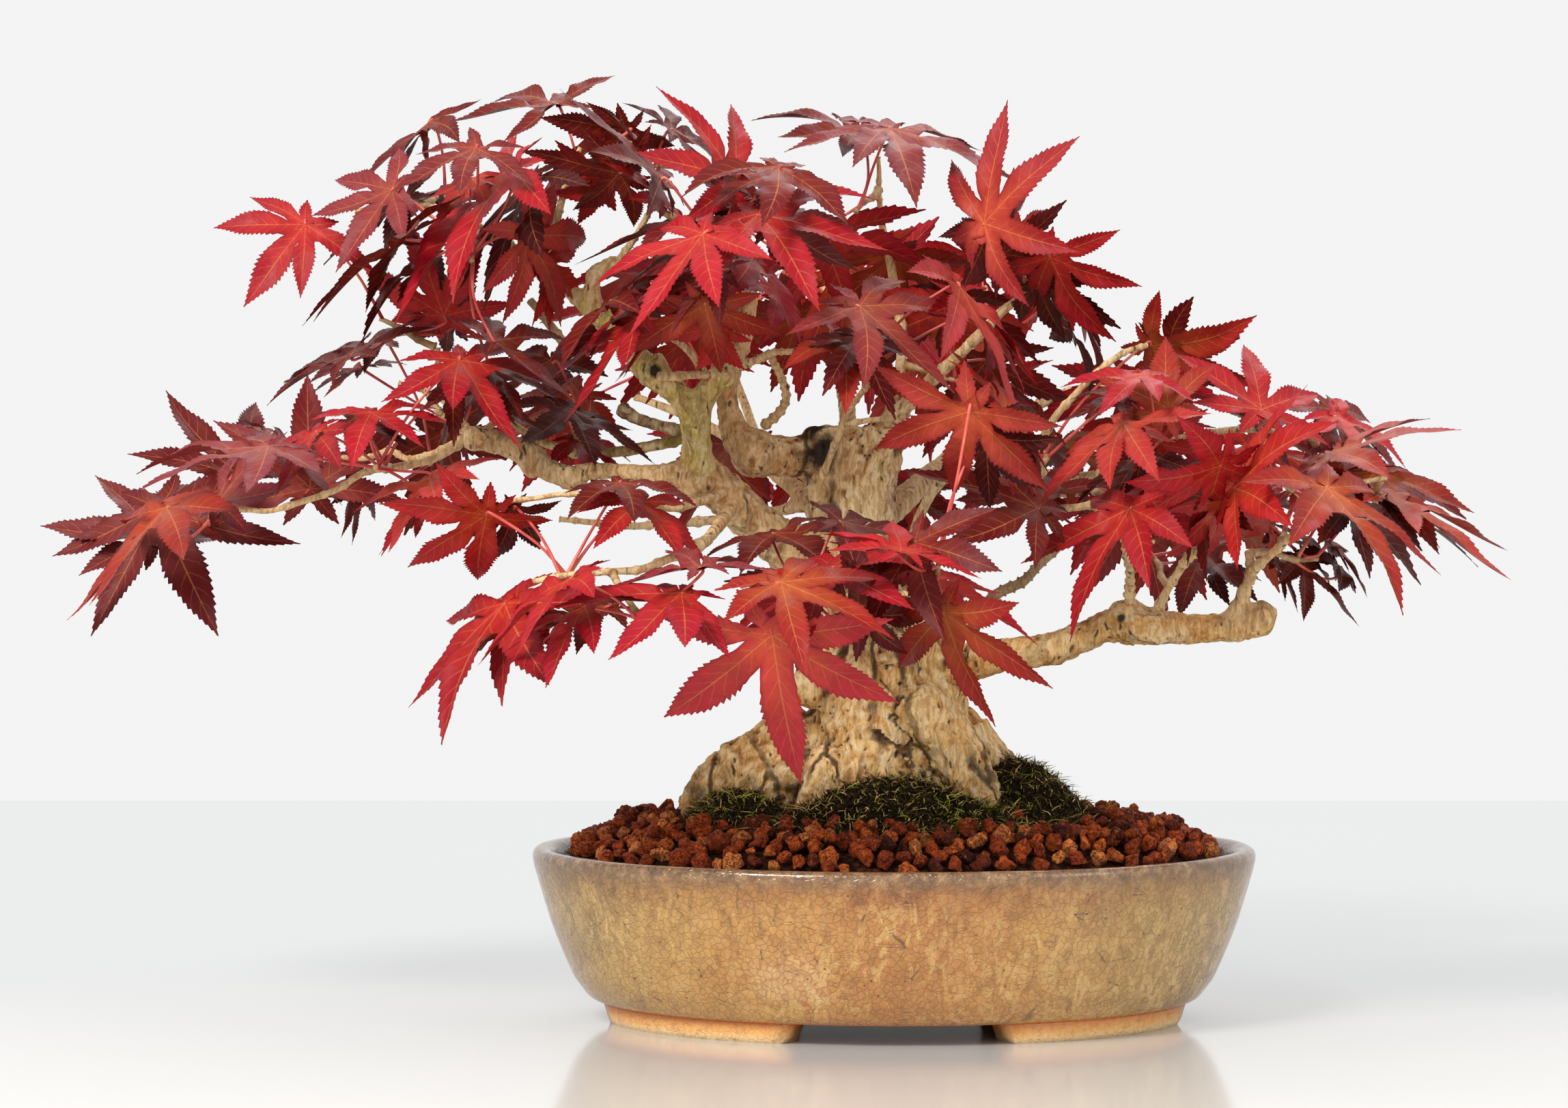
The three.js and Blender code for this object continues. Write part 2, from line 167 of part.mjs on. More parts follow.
  [2.3,-67,117,0.38,-0.17,0.91,24,28.4,-6.6,-4.4,35.3,2.1,31.2,-0.3,-18.2,-20.5,16.7,6.7,12.9,-18.7,-10.6,-12.5,-1.8,2.6,-2.4,-12.2,-3.5,1],
  [-30.5,-38,125,-0.09,-0.15,0.98,14.2,-24.1,-7.1,26.6,-4.7,-2.5,-8.3,-23.9,-9.3,16.2,11.6,2.9,-17.9,-7.5,-6.4,1.6,9.7,0.1,-8.7,4.1,-1.8,4],
  [-14,-60,128.5,0.2,-0.29,0.94,28.8,9.3,-8.4,11.1,26.7,-1.7,21.6,-14.4,-14,-7.1,21,3.3,1.9,-19.9,-10.5,-10.5,4.4,-0.8,-7,-7.6,-2.7,5],
  [-52.5,-88,112.4,0.01,-0.28,0.96,-16.9,-18.2,-14.9,1.3,-26.6,-11.5,-32.2,5.6,-4.2,12,-13.8,-15.1,-9.4,18.2,0.7,10.5,1,-1.5,2,10.4,1.3,0],
  [-79,-88,115.8,-0.58,-0.11,0.81,-22.1,1.1,-20.8,-11.3,-21.1,-16.8,-14.8,22.8,-12.5,6.5,-21.5,-3.6,2.5,22.2,0.5,8,-6.3,2.8,9.3,6.4,4.2,0],
  [-96.8,-48,108.2,-0.59,-0.43,0.68,-14.2,-19,-33.7,12.4,-31.9,-18.2,-24.7,10.9,-26.5,23.5,-18,2.3,-16.1,24.7,-5.5,11.9,0.6,7.5,4.4,13,4.4,0],
  [-76.1,-74,108.5,-0.46,-0.28,0.84,-8.7,-16.5,-18.6,3,-21.5,-10.2,-19.6,2.3,-11.3,15.3,-9.9,1.6,-11.2,13.7,-10.2,7.9,1.6,3.2,0.2,8.6,1.3,0],
  [-48.3,-87,118.4,-0.09,-0.15,0.98,-8,23.7,2.8,-23.7,9,-5.8,10.7,20.1,-1.3,-14.5,-6.5,-2.9,17.4,4.5,-0.5,-2.6,-7.6,-2.8,7.1,-4.4,-1.4,6],
  [-72.3,-47,107.1,0.01,-0.28,0.96,-32.5,12.2,-2,-27.7,-14.6,-9.5,-11.7,30.3,3.6,-6,-21.9,-10.5,10,22.8,2.5,5.9,-8.8,-5,10.9,4.2,-1.7,4],
  [-116.7,-23,138.4,-0.46,-0.28,0.84,4.5,-23.3,-8.2,13.2,-14.7,0,-9.6,-12.8,-18.1,18.8,1.4,5,-19.9,3.3,-8.7,4.8,6.7,3.1,-4.7,7.2,-1.8,7],
  [-101,-50,130.1,0.21,-0.74,-0.64,-20.3,11.4,-13.4,-3.5,20.2,-16.8,-26.2,-4.2,2.7,15.6,14,-1.8,-11.9,-10.3,13.1,7,2.5,4.9,1.2,-4.6,8.2,1],
  [-63,-53,133.2,0.39,-0.5,0.77,11.5,-11.6,-15.4,16.2,3.4,-15,-11.2,-16.2,-10.9,10.7,11.9,-1.1,-15.5,-7.7,-2.5,0.3,7,2.8,-5.7,1.3,1.8,1],
  [-68.3,-54,138,0.01,-0.28,0.96,4.2,-19.6,-9.4,19.5,-8.6,-6,-12.3,-14.4,-8.7,15.1,4.9,-1.3,-14,-0.9,-2.8,3.4,6.7,0.7,-2.8,5,1.2,4],
  [-82.7,2,155.5,0.35,-0.34,0.87,7.2,-21.3,-14.5,21.8,-2.9,-14,-11.7,-21.8,-8.2,15.6,11.9,-5.3,-19.1,-6.9,1.3,1.9,9.4,1.1,-8.2,3.9,3.1,5],
  [-108.6,-35,168,0.24,-0.49,0.84,15.9,-14.8,-21.7,28,6.8,-9.3,-0.2,-23,-12.2,13.9,17.7,2.2,-18.6,-12,-10.3,-1.1,9.8,4.1,-14.9,1.1,-0.3,0],
  [-99.7,-38,172.7,0.35,-0.34,0.87,17.9,19.1,0,-2.1,22.8,5.4,19.3,1.2,-14.4,-13.2,10.6,6.1,12.8,-10.9,-9.3,-8.3,-1.2,1.3,-1.8,-7.5,-3.7,4],
  [-114.6,-2,179.5,-0.4,-0.73,-0.55,-9.9,-7.8,25.8,-22,7.8,13.4,11.3,-14.9,19.4,-14.8,14.4,-1.4,18.6,-8.2,3.3,-1.7,7.4,-6.6,8.7,0.8,-4.9,0],
  [-137.4,-10,169.6,-0.46,-0.28,0.84,0.3,31.1,4.2,-19.4,20.4,-7.4,20.3,18.1,11.4,-21.6,0.3,-13.1,21.5,-2,6.8,-4.2,-7.2,-7.6,7.2,-7.8,-0.6,4],
  [-132.2,22,173.1,-0.26,-0.2,0.94,-22.1,10.5,-8,-19,-9.9,-11.3,-7.1,23.1,-1.8,-3.4,-16.5,-8.5,8.2,16.4,2.6,4.8,-7.1,-1.7,7.1,2.5,1.8,4],
  [-63.7,-50,178.3,-0.61,-0.26,0.74,-22.1,17.2,-14.6,-18.3,-7.4,-25.6,-5,29.1,-0.1,-3.5,-18.2,-12.4,9.6,18.1,9.5,4.2,-9.1,-4,9,1.5,5.6,0],
  [-70.8,-39,182.8,-0.58,-0.11,0.81,8.8,-30,-4,24.1,-14.5,9.5,-11.5,-21.4,-17,19.4,5.7,10.3,-16,-1.1,-16.1,4.2,9.4,1.7,-5.9,7.4,-5.1,4],
  [-183.8,-15,130.9,-0.46,-0.28,0.84,-17.1,-19.7,-23.9,7.9,-31.9,-12.1,-26.7,9.1,-28.8,20.2,-17.9,0.1,-13.4,22.9,-4.8,12,0.3,4.2,2.2,12.2,2.8,2],
  [-189.2,12,130,-0.13,-0.79,0.6,17.4,-18.9,-32,37.2,-5.2,-8.9,-15.6,-14.2,-32.3,25.8,9.7,10.6,-27.6,0.7,-12.3,3.5,9.5,9.6,-10.7,6.9,3.9,4],
  [-155.9,-37,146.5,-0.09,-0.15,0.98,-32.1,-16.1,-11.5,-2.2,-32.2,-10.7,-34.4,13.3,-7.1,15,-21,-6.1,-7.3,24.4,2.5,12.3,-1.8,-1.1,5,11.5,0.3,6],
  [-145.6,-20,150,-0.45,-0.43,0.78,-9.1,-12.9,-15.8,7.9,-17.2,-9,-11.7,2.5,-9.8,14,-7.8,0.6,-13.4,11.8,-5.5,6.7,1.5,3.2,-0.4,7.2,2.2,0],
  [-131,-30,154.9,0.01,-0.28,0.96,14.5,-16.9,-8.5,23.5,1.5,-3.6,-3.1,-21.2,-13.9,16.5,13.3,0.8,-14.6,-9.4,-1.9,-0.5,8.5,1.1,-10.7,1.9,0.8,0],
  [-159.3,9,148.5,0.52,-0.1,0.85,19.3,14.6,-15.2,3.1,26.4,-3.6,18.6,-8.5,-17.4,-10.8,16.8,4.8,4.7,-17.9,-8.9,-9.1,1.5,3,-4.4,-8.7,0,6],
  [-140.4,18,137.8,0.94,-0.35,0.06,4.8,20.6,-11.7,2.5,18.4,10.2,-0.2,7.4,-17.8,-1.9,5.1,15.3,-1.9,-5.8,-15.4,-2.9,-3.2,6.3,-4.4,-6.4,-6.5,4],
  [-149.7,9,135.3,0.12,-0.92,0.37,-2.4,17.7,29.7,-26.1,9.1,17.3,22.8,15.7,17.3,-24.7,-0.5,-3.5,23.9,6.1,-3.5,-6.8,-2.6,-9.5,7.3,-0.7,-9.2,6],
  [-170,27,137.6,0.5,-0.7,0.51,-20.1,9.6,22.9,-28.1,-8.6,6.3,2.1,22.6,19.6,-15.7,-13.4,-10.1,14.3,17.7,3.2,0,-5,-9.8,8,4.1,-6.2,4],
  [-171,-12,132.3,-0.65,-0.55,0.52,17.2,3.6,17.7,2.9,17.7,15.2,19.7,-11.8,4.8,-7.5,16.2,2.4,9.3,-13.2,-7.9,-5.2,4.7,-4.3,-1,-3.9,-7.2,6],
  [-191.2,18,121.9,0.21,-0.64,0.74,-18,20.4,16.2,-29.6,1.4,3.4,7.1,25.4,13.8,-18,-10.8,-9.1,18.6,13.2,1.3,-1.2,-7,-7.8,9.5,0,-5.1,6],
  [-48.5,99.2,199.5,-0.14,0.39,0.91,-18.4,23.8,-21.1,-27.3,-1,-11.4,9.3,23.2,-16.2,-18,-16.7,-1.5,21,9,-6.6,-0.7,-12.5,2.4,11.8,-4,0.7,3],
  [-109.9,18,160.8,-0.86,-0.26,0.43,-7,7.1,-26.5,1.4,-11.7,-20.1,-5.1,24,-11.6,8.1,-17.5,-6.5,2.8,17.4,4,6.3,-5.8,3.3,4.5,4.1,5.7,4],
  [68.9,81.2,152.2,0.05,0.49,0.87,9.4,17.7,-21.2,-14.5,18.2,-19.4,24.8,2.7,-13,-20.6,2.3,-7.8,19.1,-12.1,-2,-8.6,-5.8,0.1,2.5,-9.4,1.5,1],
  [-17.6,64,101.9,0.52,0.71,0.47,-7,12.7,-24.8,-22,12.9,-7.6,12.5,-0.7,-25.6,-18.4,2.4,7.1,15.5,-11.6,-9.4,-4.6,-3.8,6.2,4,-7.4,2,0],
  [-14.6,88.8,107,-0.08,0.68,0.73,-12.1,10.9,-19.9,-21.1,-2.5,-8,8.4,13,-19,-14.7,-11.7,3.2,17.4,4,-7.7,-1,-7.9,4.4,7.3,-3.1,0.8,3],
  [-12.9,36.9,192,-0.36,0.92,0.17,13.3,6,-30.1,-11.7,-4,-28.1,26.2,7.2,-7.3,-18.7,-9.3,-8.5,19.8,2.4,11,-8.2,-5.7,4.4,3.5,-2.3,11,2],
  [-31.3,82,187.2,-0.66,-0.15,0.74,14.2,17.2,11.9,-1.2,23.2,-0.2,20.6,-2.8,13.9,-11.4,14.1,-10.1,12.1,-15.4,4.7,-5.6,-0.5,-6.4,0.5,-7.7,-2.5,1],
  [76,77.2,123.6,0.22,0.82,0.53,-9.7,12.6,-21.1,-22.9,6.3,-5.5,10.8,6.8,-20.4,-16.9,-3,7.7,16.8,-2.3,-7.4,-2.6,-4.6,6.4,7.2,-4.7,2.5,2],
  [3.5,77,103,-0.38,0.62,0.69,-3.9,13.2,-19.8,-18.5,0,-15.5,16.3,18.3,-13.1,-17.2,-11.9,-2.9,19.1,5.4,1.3,-2.6,-7.3,3.2,6.4,-2.9,4.1,4],
  [10.9,85.2,172.9,-0.54,0.72,0.43,1,8.5,-32.7,-18.4,-9.6,-25.8,24,18.4,-19,-15.3,-17.4,-4.6,25.6,8.6,3.7,-3.7,-10.6,6.2,8.8,-2.4,8.4,2],
  [28.4,85.2,161.3,-0.39,0.6,0.7,10,17.6,-17.1,-10.5,10.9,-22.3,21,8.3,-2.3,-15.6,-3.3,-11.1,16.5,-3.7,7.1,-5.9,-6.3,-0.3,3.1,-6.2,4.6,1],
  [-48.6,24.8,187.9,0.5,0.35,0.79,-9.5,29.6,-13.4,-25.9,16.1,3.5,12.3,16.1,-20.9,-20,-3.5,9.9,17.6,-2.6,-14.5,-4.6,-8.7,4.7,7.1,-9,-2.6,0],
  [13.9,17.1,184.2,0.13,0.57,0.81,6.7,21.5,-27.8,-20.2,17.6,-19.9,24.3,3.5,-17.2,-22,0.4,-4.9,21.1,-11.5,-3.4,-9.8,-7.2,2.9,4.4,-10.8,3.1,4],
  [6.3,81.9,132.8,-0.09,0.85,0.51,2.3,11.7,-25.1,-17.4,5,-17.1,17.9,5.6,-11.6,-17.6,-3.4,-1.7,16.6,-1.9,2,-6,-4.8,5,5.3,-4.4,6.4,1],
  [-39.5,64.9,206.8,-0.52,0.56,0.65,0.1,15.7,-21.8,-16.8,0.7,-21.9,17.3,16.8,-8.6,-14.6,-11.9,-7.5,18.4,4.7,4.5,-3.2,-8.9,2.1,6.4,-3.7,5.4,0],
  [-51.5,81.6,171.8,0.23,0.76,0.61,-8.1,13.6,-19.5,-22.8,7.4,-6,11,7.3,-18.4,-17.2,-3.3,6.4,15.4,-2.5,-6.7,-3.3,-5.5,6.1,5.8,-4.7,1.7,0],
  [-4,53.1,188.3,-0.56,0.83,-0.06,19.7,5.1,-23.7,-1.9,-9.8,-34.4,30.4,14.5,-0.5,-13.2,-14.2,-12.3,17.4,8.6,18.4,-7.7,-7.1,2.6,0.5,-0.9,11.4,0],
  [-70.3,94.9,183.3,0.18,0.45,0.88,-14.8,16.6,-15.1,-24.8,1.4,-4.7,6,16.4,-18.8,-17.5,-12.5,3,17.3,4.1,-12.7,-1.5,-9.5,1.8,7.2,-4.5,-2.5,1],
  [73.3,103.9,143,0.23,0.63,0.74,-1.8,20.4,-25.4,-22.6,13.2,-12.2,24.2,9.3,-23.7,-22.6,-1.1,2,23.8,-8.3,-6.6,-7.2,-7.1,5.4,6.1,-8.9,2.8,0],
  [-14.7,56.7,145.3,-0.27,0.77,0.57,3.4,15.8,-25.5,-17.8,4.9,-20.4,25,13.6,-11.9,-22.3,-7.1,-5.2,22.7,0.7,5.5,-6.8,-7.2,4.5,5.9,-4.9,7.3,1],
  [15.3,8.2,181.2,0.32,0.57,0.76,1,20.7,-22,-21.1,18.4,-10.4,21.8,6.5,-19.9,-22.8,2.6,3.5,20.2,-9.4,-5.9,-7.2,-5.6,5.3,5.2,-9.5,2.9,1],
  [-119.7,11.5,211.1,-0.31,-0.22,0.93,-21.6,19.6,-12,-26.3,-5.3,-18.8,-0.7,27.7,-2.6,-7.4,-16.1,-13,15.2,18,2.5,4,-8.7,-3.9,11.6,0.9,0.8,5],
  [67.9,75.5,134.1,0.1,0.7,0.71,15.6,10.3,-17.9,-5.1,15.3,-19.5,28.4,-4.3,-5.1,-17.3,7.5,-8.8,15.4,-13.9,7.5,-8.6,-1.7,1.1,-0.3,-7.8,5.9,6],
  [65.7,66.8,161.7,0.19,0.82,0.54,-5.5,17.1,-30.1,-28.2,11.5,-13.3,21.2,7.7,-24.7,-22.2,-1.3,5.3,24.5,-5.2,-5.1,-5.4,-5.2,7.6,8.1,-6.7,5.3,0],
  [-52.3,64.2,180.2,-0.18,0.7,0.69,-13.5,14.2,-23.6,-27.8,-2.1,-10.4,11.6,18.5,-21.1,-19.2,-13.7,5,21.1,7.1,-5.6,-1.5,-8.3,6.3,9.9,-2.6,3.5,1],
  [45.9,58.1,146.3,0.11,0.51,0.85,23.3,6.9,-15.2,3.5,15.9,-17.6,23.7,-12.5,-3.1,-11.1,11.3,-11.3,6.8,-16.8,3.3,-8.6,0.3,-1.9,-3.5,-7.9,2.4,3],
  [26.7,111,181,0.45,0.89,-0.07,-19.2,3.4,-21.2,-25.3,8.4,0.7,1.1,-7,-25.6,-14.3,5,15.6,12.4,-10.6,-11.2,0.1,-0.9,10.1,8.3,-5.7,2.1,2],
  [-24.1,48.6,179.3,-0.26,0.66,0.71,-28.9,0.7,-15.3,-20.2,-14.9,2.6,-7.6,13.6,-19.5,-4.7,-17.5,11.7,9,14,-12.9,6,-6.5,6.8,9.1,3.1,-1.1,2],
  [24.2,90.4,197.4,0.01,0.73,0.68,-1.2,12.1,-27.1,-22.1,5.1,-18.4,19.9,5.6,-19.6,-22.7,-6.8,-2.4,20,-5.8,-4.1,-6.5,-8.5,4.5,7.2,-8.3,4,0],
  [-17.7,64.7,181.6,0.08,0.89,0.45,-6.4,8.5,-24.4,-23.9,3.8,-11.5,14.6,4.7,-20.2,-16.7,-3.9,4.2,17.1,-2.7,-4.2,-4,-4.8,7.2,7.1,-4.4,4.3,1],
  [28,8.1,139,0.35,0.32,0.88,10,15.7,-17.3,-9.3,21.4,-11.2,18.9,-1.9,-14,-18.8,9.6,-1.4,12.6,-14.3,-5.2,-9.2,-2.6,2.1,0.1,-10.1,1.1,1],
  [-21.1,111.6,114.3,-0.5,0.65,0.57,6.5,13.2,-19.3,-10.8,3.1,-22.4,22.6,13.9,-5.2,-13.4,-8.3,-9.6,15.8,0.4,6.2,-4.6,-7.5,1,4.3,-4.7,5.7,6],
  [-68.1,72.1,192.8,-0.13,0.64,0.76,5.9,19,-19.4,-15.6,12.2,-17.1,22.2,8.9,-7.9,-18.6,-1.5,-5.2,18.2,-4.2,3.3,-7.4,-6.3,2.5,3.9,-6.2,4.4,1],
  [-54.7,106.5,186.1,0.09,0.74,0.67,16.9,11.1,-20.2,-6,15.2,-21.2,22.9,-3.5,-4.4,-16.8,6.3,-8.6,12.4,-10.6,6.2,-9.5,-1.9,1.5,-0.1,-6.5,5.4,0],
  [61.7,8.9,136.6,0.6,0.8,0.06,15.7,-18.2,-15.4,-0.2,-5.1,-23.1,13.2,-17.4,6.2,-10.3,3.4,-13.5,3.4,-9,15.2,-8.1,3.7,-0.9,-4,-0.1,8.8,0],
  [61.4,110.3,130.9,-0.16,0.9,0.41,-10.1,2.8,-22,-22.2,-5.4,-8.1,9.6,6.2,-21,-14.4,-9.4,6.3,16.8,2.1,-6.5,-1.4,-5.6,7.6,8.2,-1.8,3.2,0],
  [-88.5,101,154.5,-0.37,0.74,0.56,-12.1,5.5,-22.3,-21.7,-8.6,-9.4,7.3,13.2,-19.3,-11.4,-12.7,4.3,15.2,7.5,-5.1,0.1,-5.8,5.4,7.8,-0.2,2.9,1],
  [-86.4,53.4,156,-0.24,0.46,0.85,-23.4,-6,-9,-12.3,-19.4,1.7,-14.3,11.4,-15.4,3.2,-18.2,6.7,1.7,15.8,-12,7,-4.3,2.4,6.3,4.5,-2.5,2],
  [-19,48.9,108.7,0.46,0.72,0.52,-15.2,11.6,-16.6,-25.2,6,0.8,2.7,5.5,-23.3,-16.2,-5.2,11.3,10.9,-4.7,-13.4,-1.9,-7.1,6.6,6.8,-6.9,-1.3,4],
  [68,86.3,164.8,-0.18,0.57,0.8,6.1,17.6,-14.5,-14.3,13.8,-16.1,19.9,8.5,-4.7,-16.4,-0.7,-5.6,18.1,-4.3,4.8,-7,-5.9,1.5,3.6,-6.5,4.3,2],
  [65.9,65.2,126.8,0.29,0.86,0.42,8.6,1.1,-28.3,-12.1,5,-21,22.6,-10.4,-13.5,-21.1,3,-6.3,14.9,-14.2,3.8,-9.3,-2.3,4.1,1.2,-6.9,6.2,6],
  [41.5,8.1,148.4,0.83,0.18,0.53,-2.6,22.1,-8.2,-13.5,20.1,9.7,8.8,11,-22,-11.2,2.2,13.2,9.7,-6.6,-16.4,-3.6,-5.6,5.9,2.4,-7.9,-2.7,4],
  [-36.4,84.4,144.6,0.18,0.85,0.5,-0.7,11.9,-26.7,-21.6,9.7,-15,19.4,2.9,-18.1,-19.5,0.1,2.1,20.9,-6.3,-1.6,-5.8,-3.8,6.2,5,-5.2,4.8,6],
  [25.2,42.9,168,-0.04,0.81,0.58,9,10,-25.2,-12.8,6.5,-21.4,23.8,1,-10.9,-20.1,-2,-7.4,17.4,-7.8,3.5,-6.9,-4.9,2.2,3.2,-6.9,5.8,4],
  [2.7,108.6,135.4,-0.24,0.58,0.78,-4.6,17.3,-21.8,-21.1,3,-15.7,16.9,16.2,-14,-16.2,-9.6,-3.2,19.4,2.4,-1.3,-3.7,-9.2,3.2,7.3,-4.8,3.2,2],
  [-3.1,100.3,112.4,-0.16,0.9,0.4,-12.9,0.2,-28.2,-30.6,-9.9,-11,13.5,7.3,-32.2,-20.6,-15,9.7,20.4,0.7,-9.3,-1.1,-7.2,8.5,10,-2.9,3.1,4],
  [-18.1,3.6,198.9,-0.38,0.56,0.74,7.9,20.4,-22.7,-17.2,11.1,-28,27.9,14.4,-7.1,-21.1,-7.5,-13.4,26.3,-2.8,7.6,-7.4,-10.4,0.2,5.9,-8,5.3,0],
  [-80.5,23.2,158.7,-0.41,0.5,0.76,-18.7,-2.1,-19.4,-15.5,-18.3,-6.4,-5,14.6,-22.2,-2.5,-21.1,4.7,9.8,13.5,-11.2,5.5,-6.7,3.7,8.9,2.9,-0.7,2],
  [-61.9,16.1,184.8,-0.23,0.55,0.8,-4.2,17,-21.1,-22.7,4,-16.9,15.5,14.1,-13,-15.6,-9.3,-4,20.2,2.1,-1.6,-3.9,-9.7,2.7,7,-4.9,2.5,4],
  [-85.7,13.1,217.1,-0.84,0.11,0.54,-2.8,23.2,-25.4,-10.7,-2.7,-31.4,11.8,30.8,-3.2,-6.1,-20.5,-17.2,18.2,15.8,13.3,2.1,-11.2,-0.1,8.8,-2.1,8.6,1],
  [-44.1,46,204.7,-0.77,0.51,0.38,-1.9,5.8,-24.7,-10.3,-11.4,-17.8,11.6,18.8,-14.2,-8.3,-17.6,-2.5,14,12.1,2.7,-0.4,-7.6,5.1,6.2,1.1,6.6,4],
  [94.1,95.5,127.5,0.28,0.58,0.76,-8.9,22.4,-24.2,-27.6,11.4,-8.3,14.6,10.5,-23.3,-23.2,-5,4.8,17.9,-4.9,-10.6,-4.9,-7.9,4.2,7.2,-8.5,0.2,3],
  [-118.9,54.4,148.7,-0.6,0.78,0.18,9.9,9.6,-27,-9.9,-5.5,-26.8,24,16.1,-7,-18.1,-14.7,-9.7,18.5,8.6,11.9,-7.2,-8,4.6,3.3,-1.1,9.9,4],
  [-49.3,17,176.3,-0.26,0.69,0.68,-22.3,9,-21.8,-24.3,-9,-4.2,1.8,16.6,-20.1,-13.3,-17.3,9.2,17.7,13.2,-9.8,2,-7.9,7.2,9.8,0.5,1.6,1],
  [0.6,23.9,195.3,0.03,0.72,0.69,1.9,15.6,-29.2,-19.4,7.2,-18.6,22.3,4.9,-18.2,-22.7,-4.4,-3.6,20.4,-7.3,-2.6,-6.3,-6.9,3.1,5.5,-8,3.8,2],
  [102,83.7,146.2,0.2,0.79,0.58,2.2,13.9,-24.8,-16.6,10.5,-13.2,22.9,3.6,-17.4,-18.8,1.6,0.8,19.5,-7.1,-0.4,-6.9,-3.9,6,4.5,-6,5,1],
  [43.8,72.1,189.4,-0.12,0.52,0.84,-22.1,-0.1,-11.3,-17.4,-15.8,-0.5,-9.6,14.3,-18,-2.2,-17.9,4.7,6.8,13.1,-13.1,5.6,-6.8,2.1,7.5,1.9,-3,0],
  [-41.2,17.8,145.7,-0.39,0.31,0.87,-15.2,20.8,-24,-21.3,-4.2,-17.2,10.1,27.4,-14.4,-11.5,-16.2,-6.4,21.4,12.5,-1.9,0.8,-9.9,0.6,10.6,-2.3,2.3,2],
  [-45.6,110,146.9,0.45,0.67,0.59,1.6,9.5,-23.7,-15.3,12.1,-13.2,17.3,-4.1,-19.5,-20.7,5.3,1.1,15.2,-13.9,-4.2,-6.8,-3,4.4,2.7,-8.9,3.9,0],
  [-3.3,55.2,135.2,-0.02,0.48,0.88,9.4,21.9,-21.5,-14.8,16.5,-18.5,26.9,6.2,-11.9,-19.2,0.6,-7.8,20.7,-10.1,-0.9,-7.7,-6.2,-0.1,3.8,-9.9,2.3,4],
  [14.9,9.9,154.7,0.06,0.49,0.87,24.4,2.6,-9.3,10.1,17.2,-16.1,20.7,-15.7,1.6,-7.1,14.3,-11.9,3.2,-18.3,5.7,-8.8,2.6,-2.8,-5.8,-7.4,2.5,0],
  [-87.7,12.4,167.6,-0.4,0.38,0.83,-24.3,11.9,-21.1,-22.6,-11.8,-9.1,-0.9,23.5,-14.9,-8.8,-19.3,1.9,13.8,16.7,-3.7,3.1,-8.7,4.2,10.2,1.9,2.8,4]
];
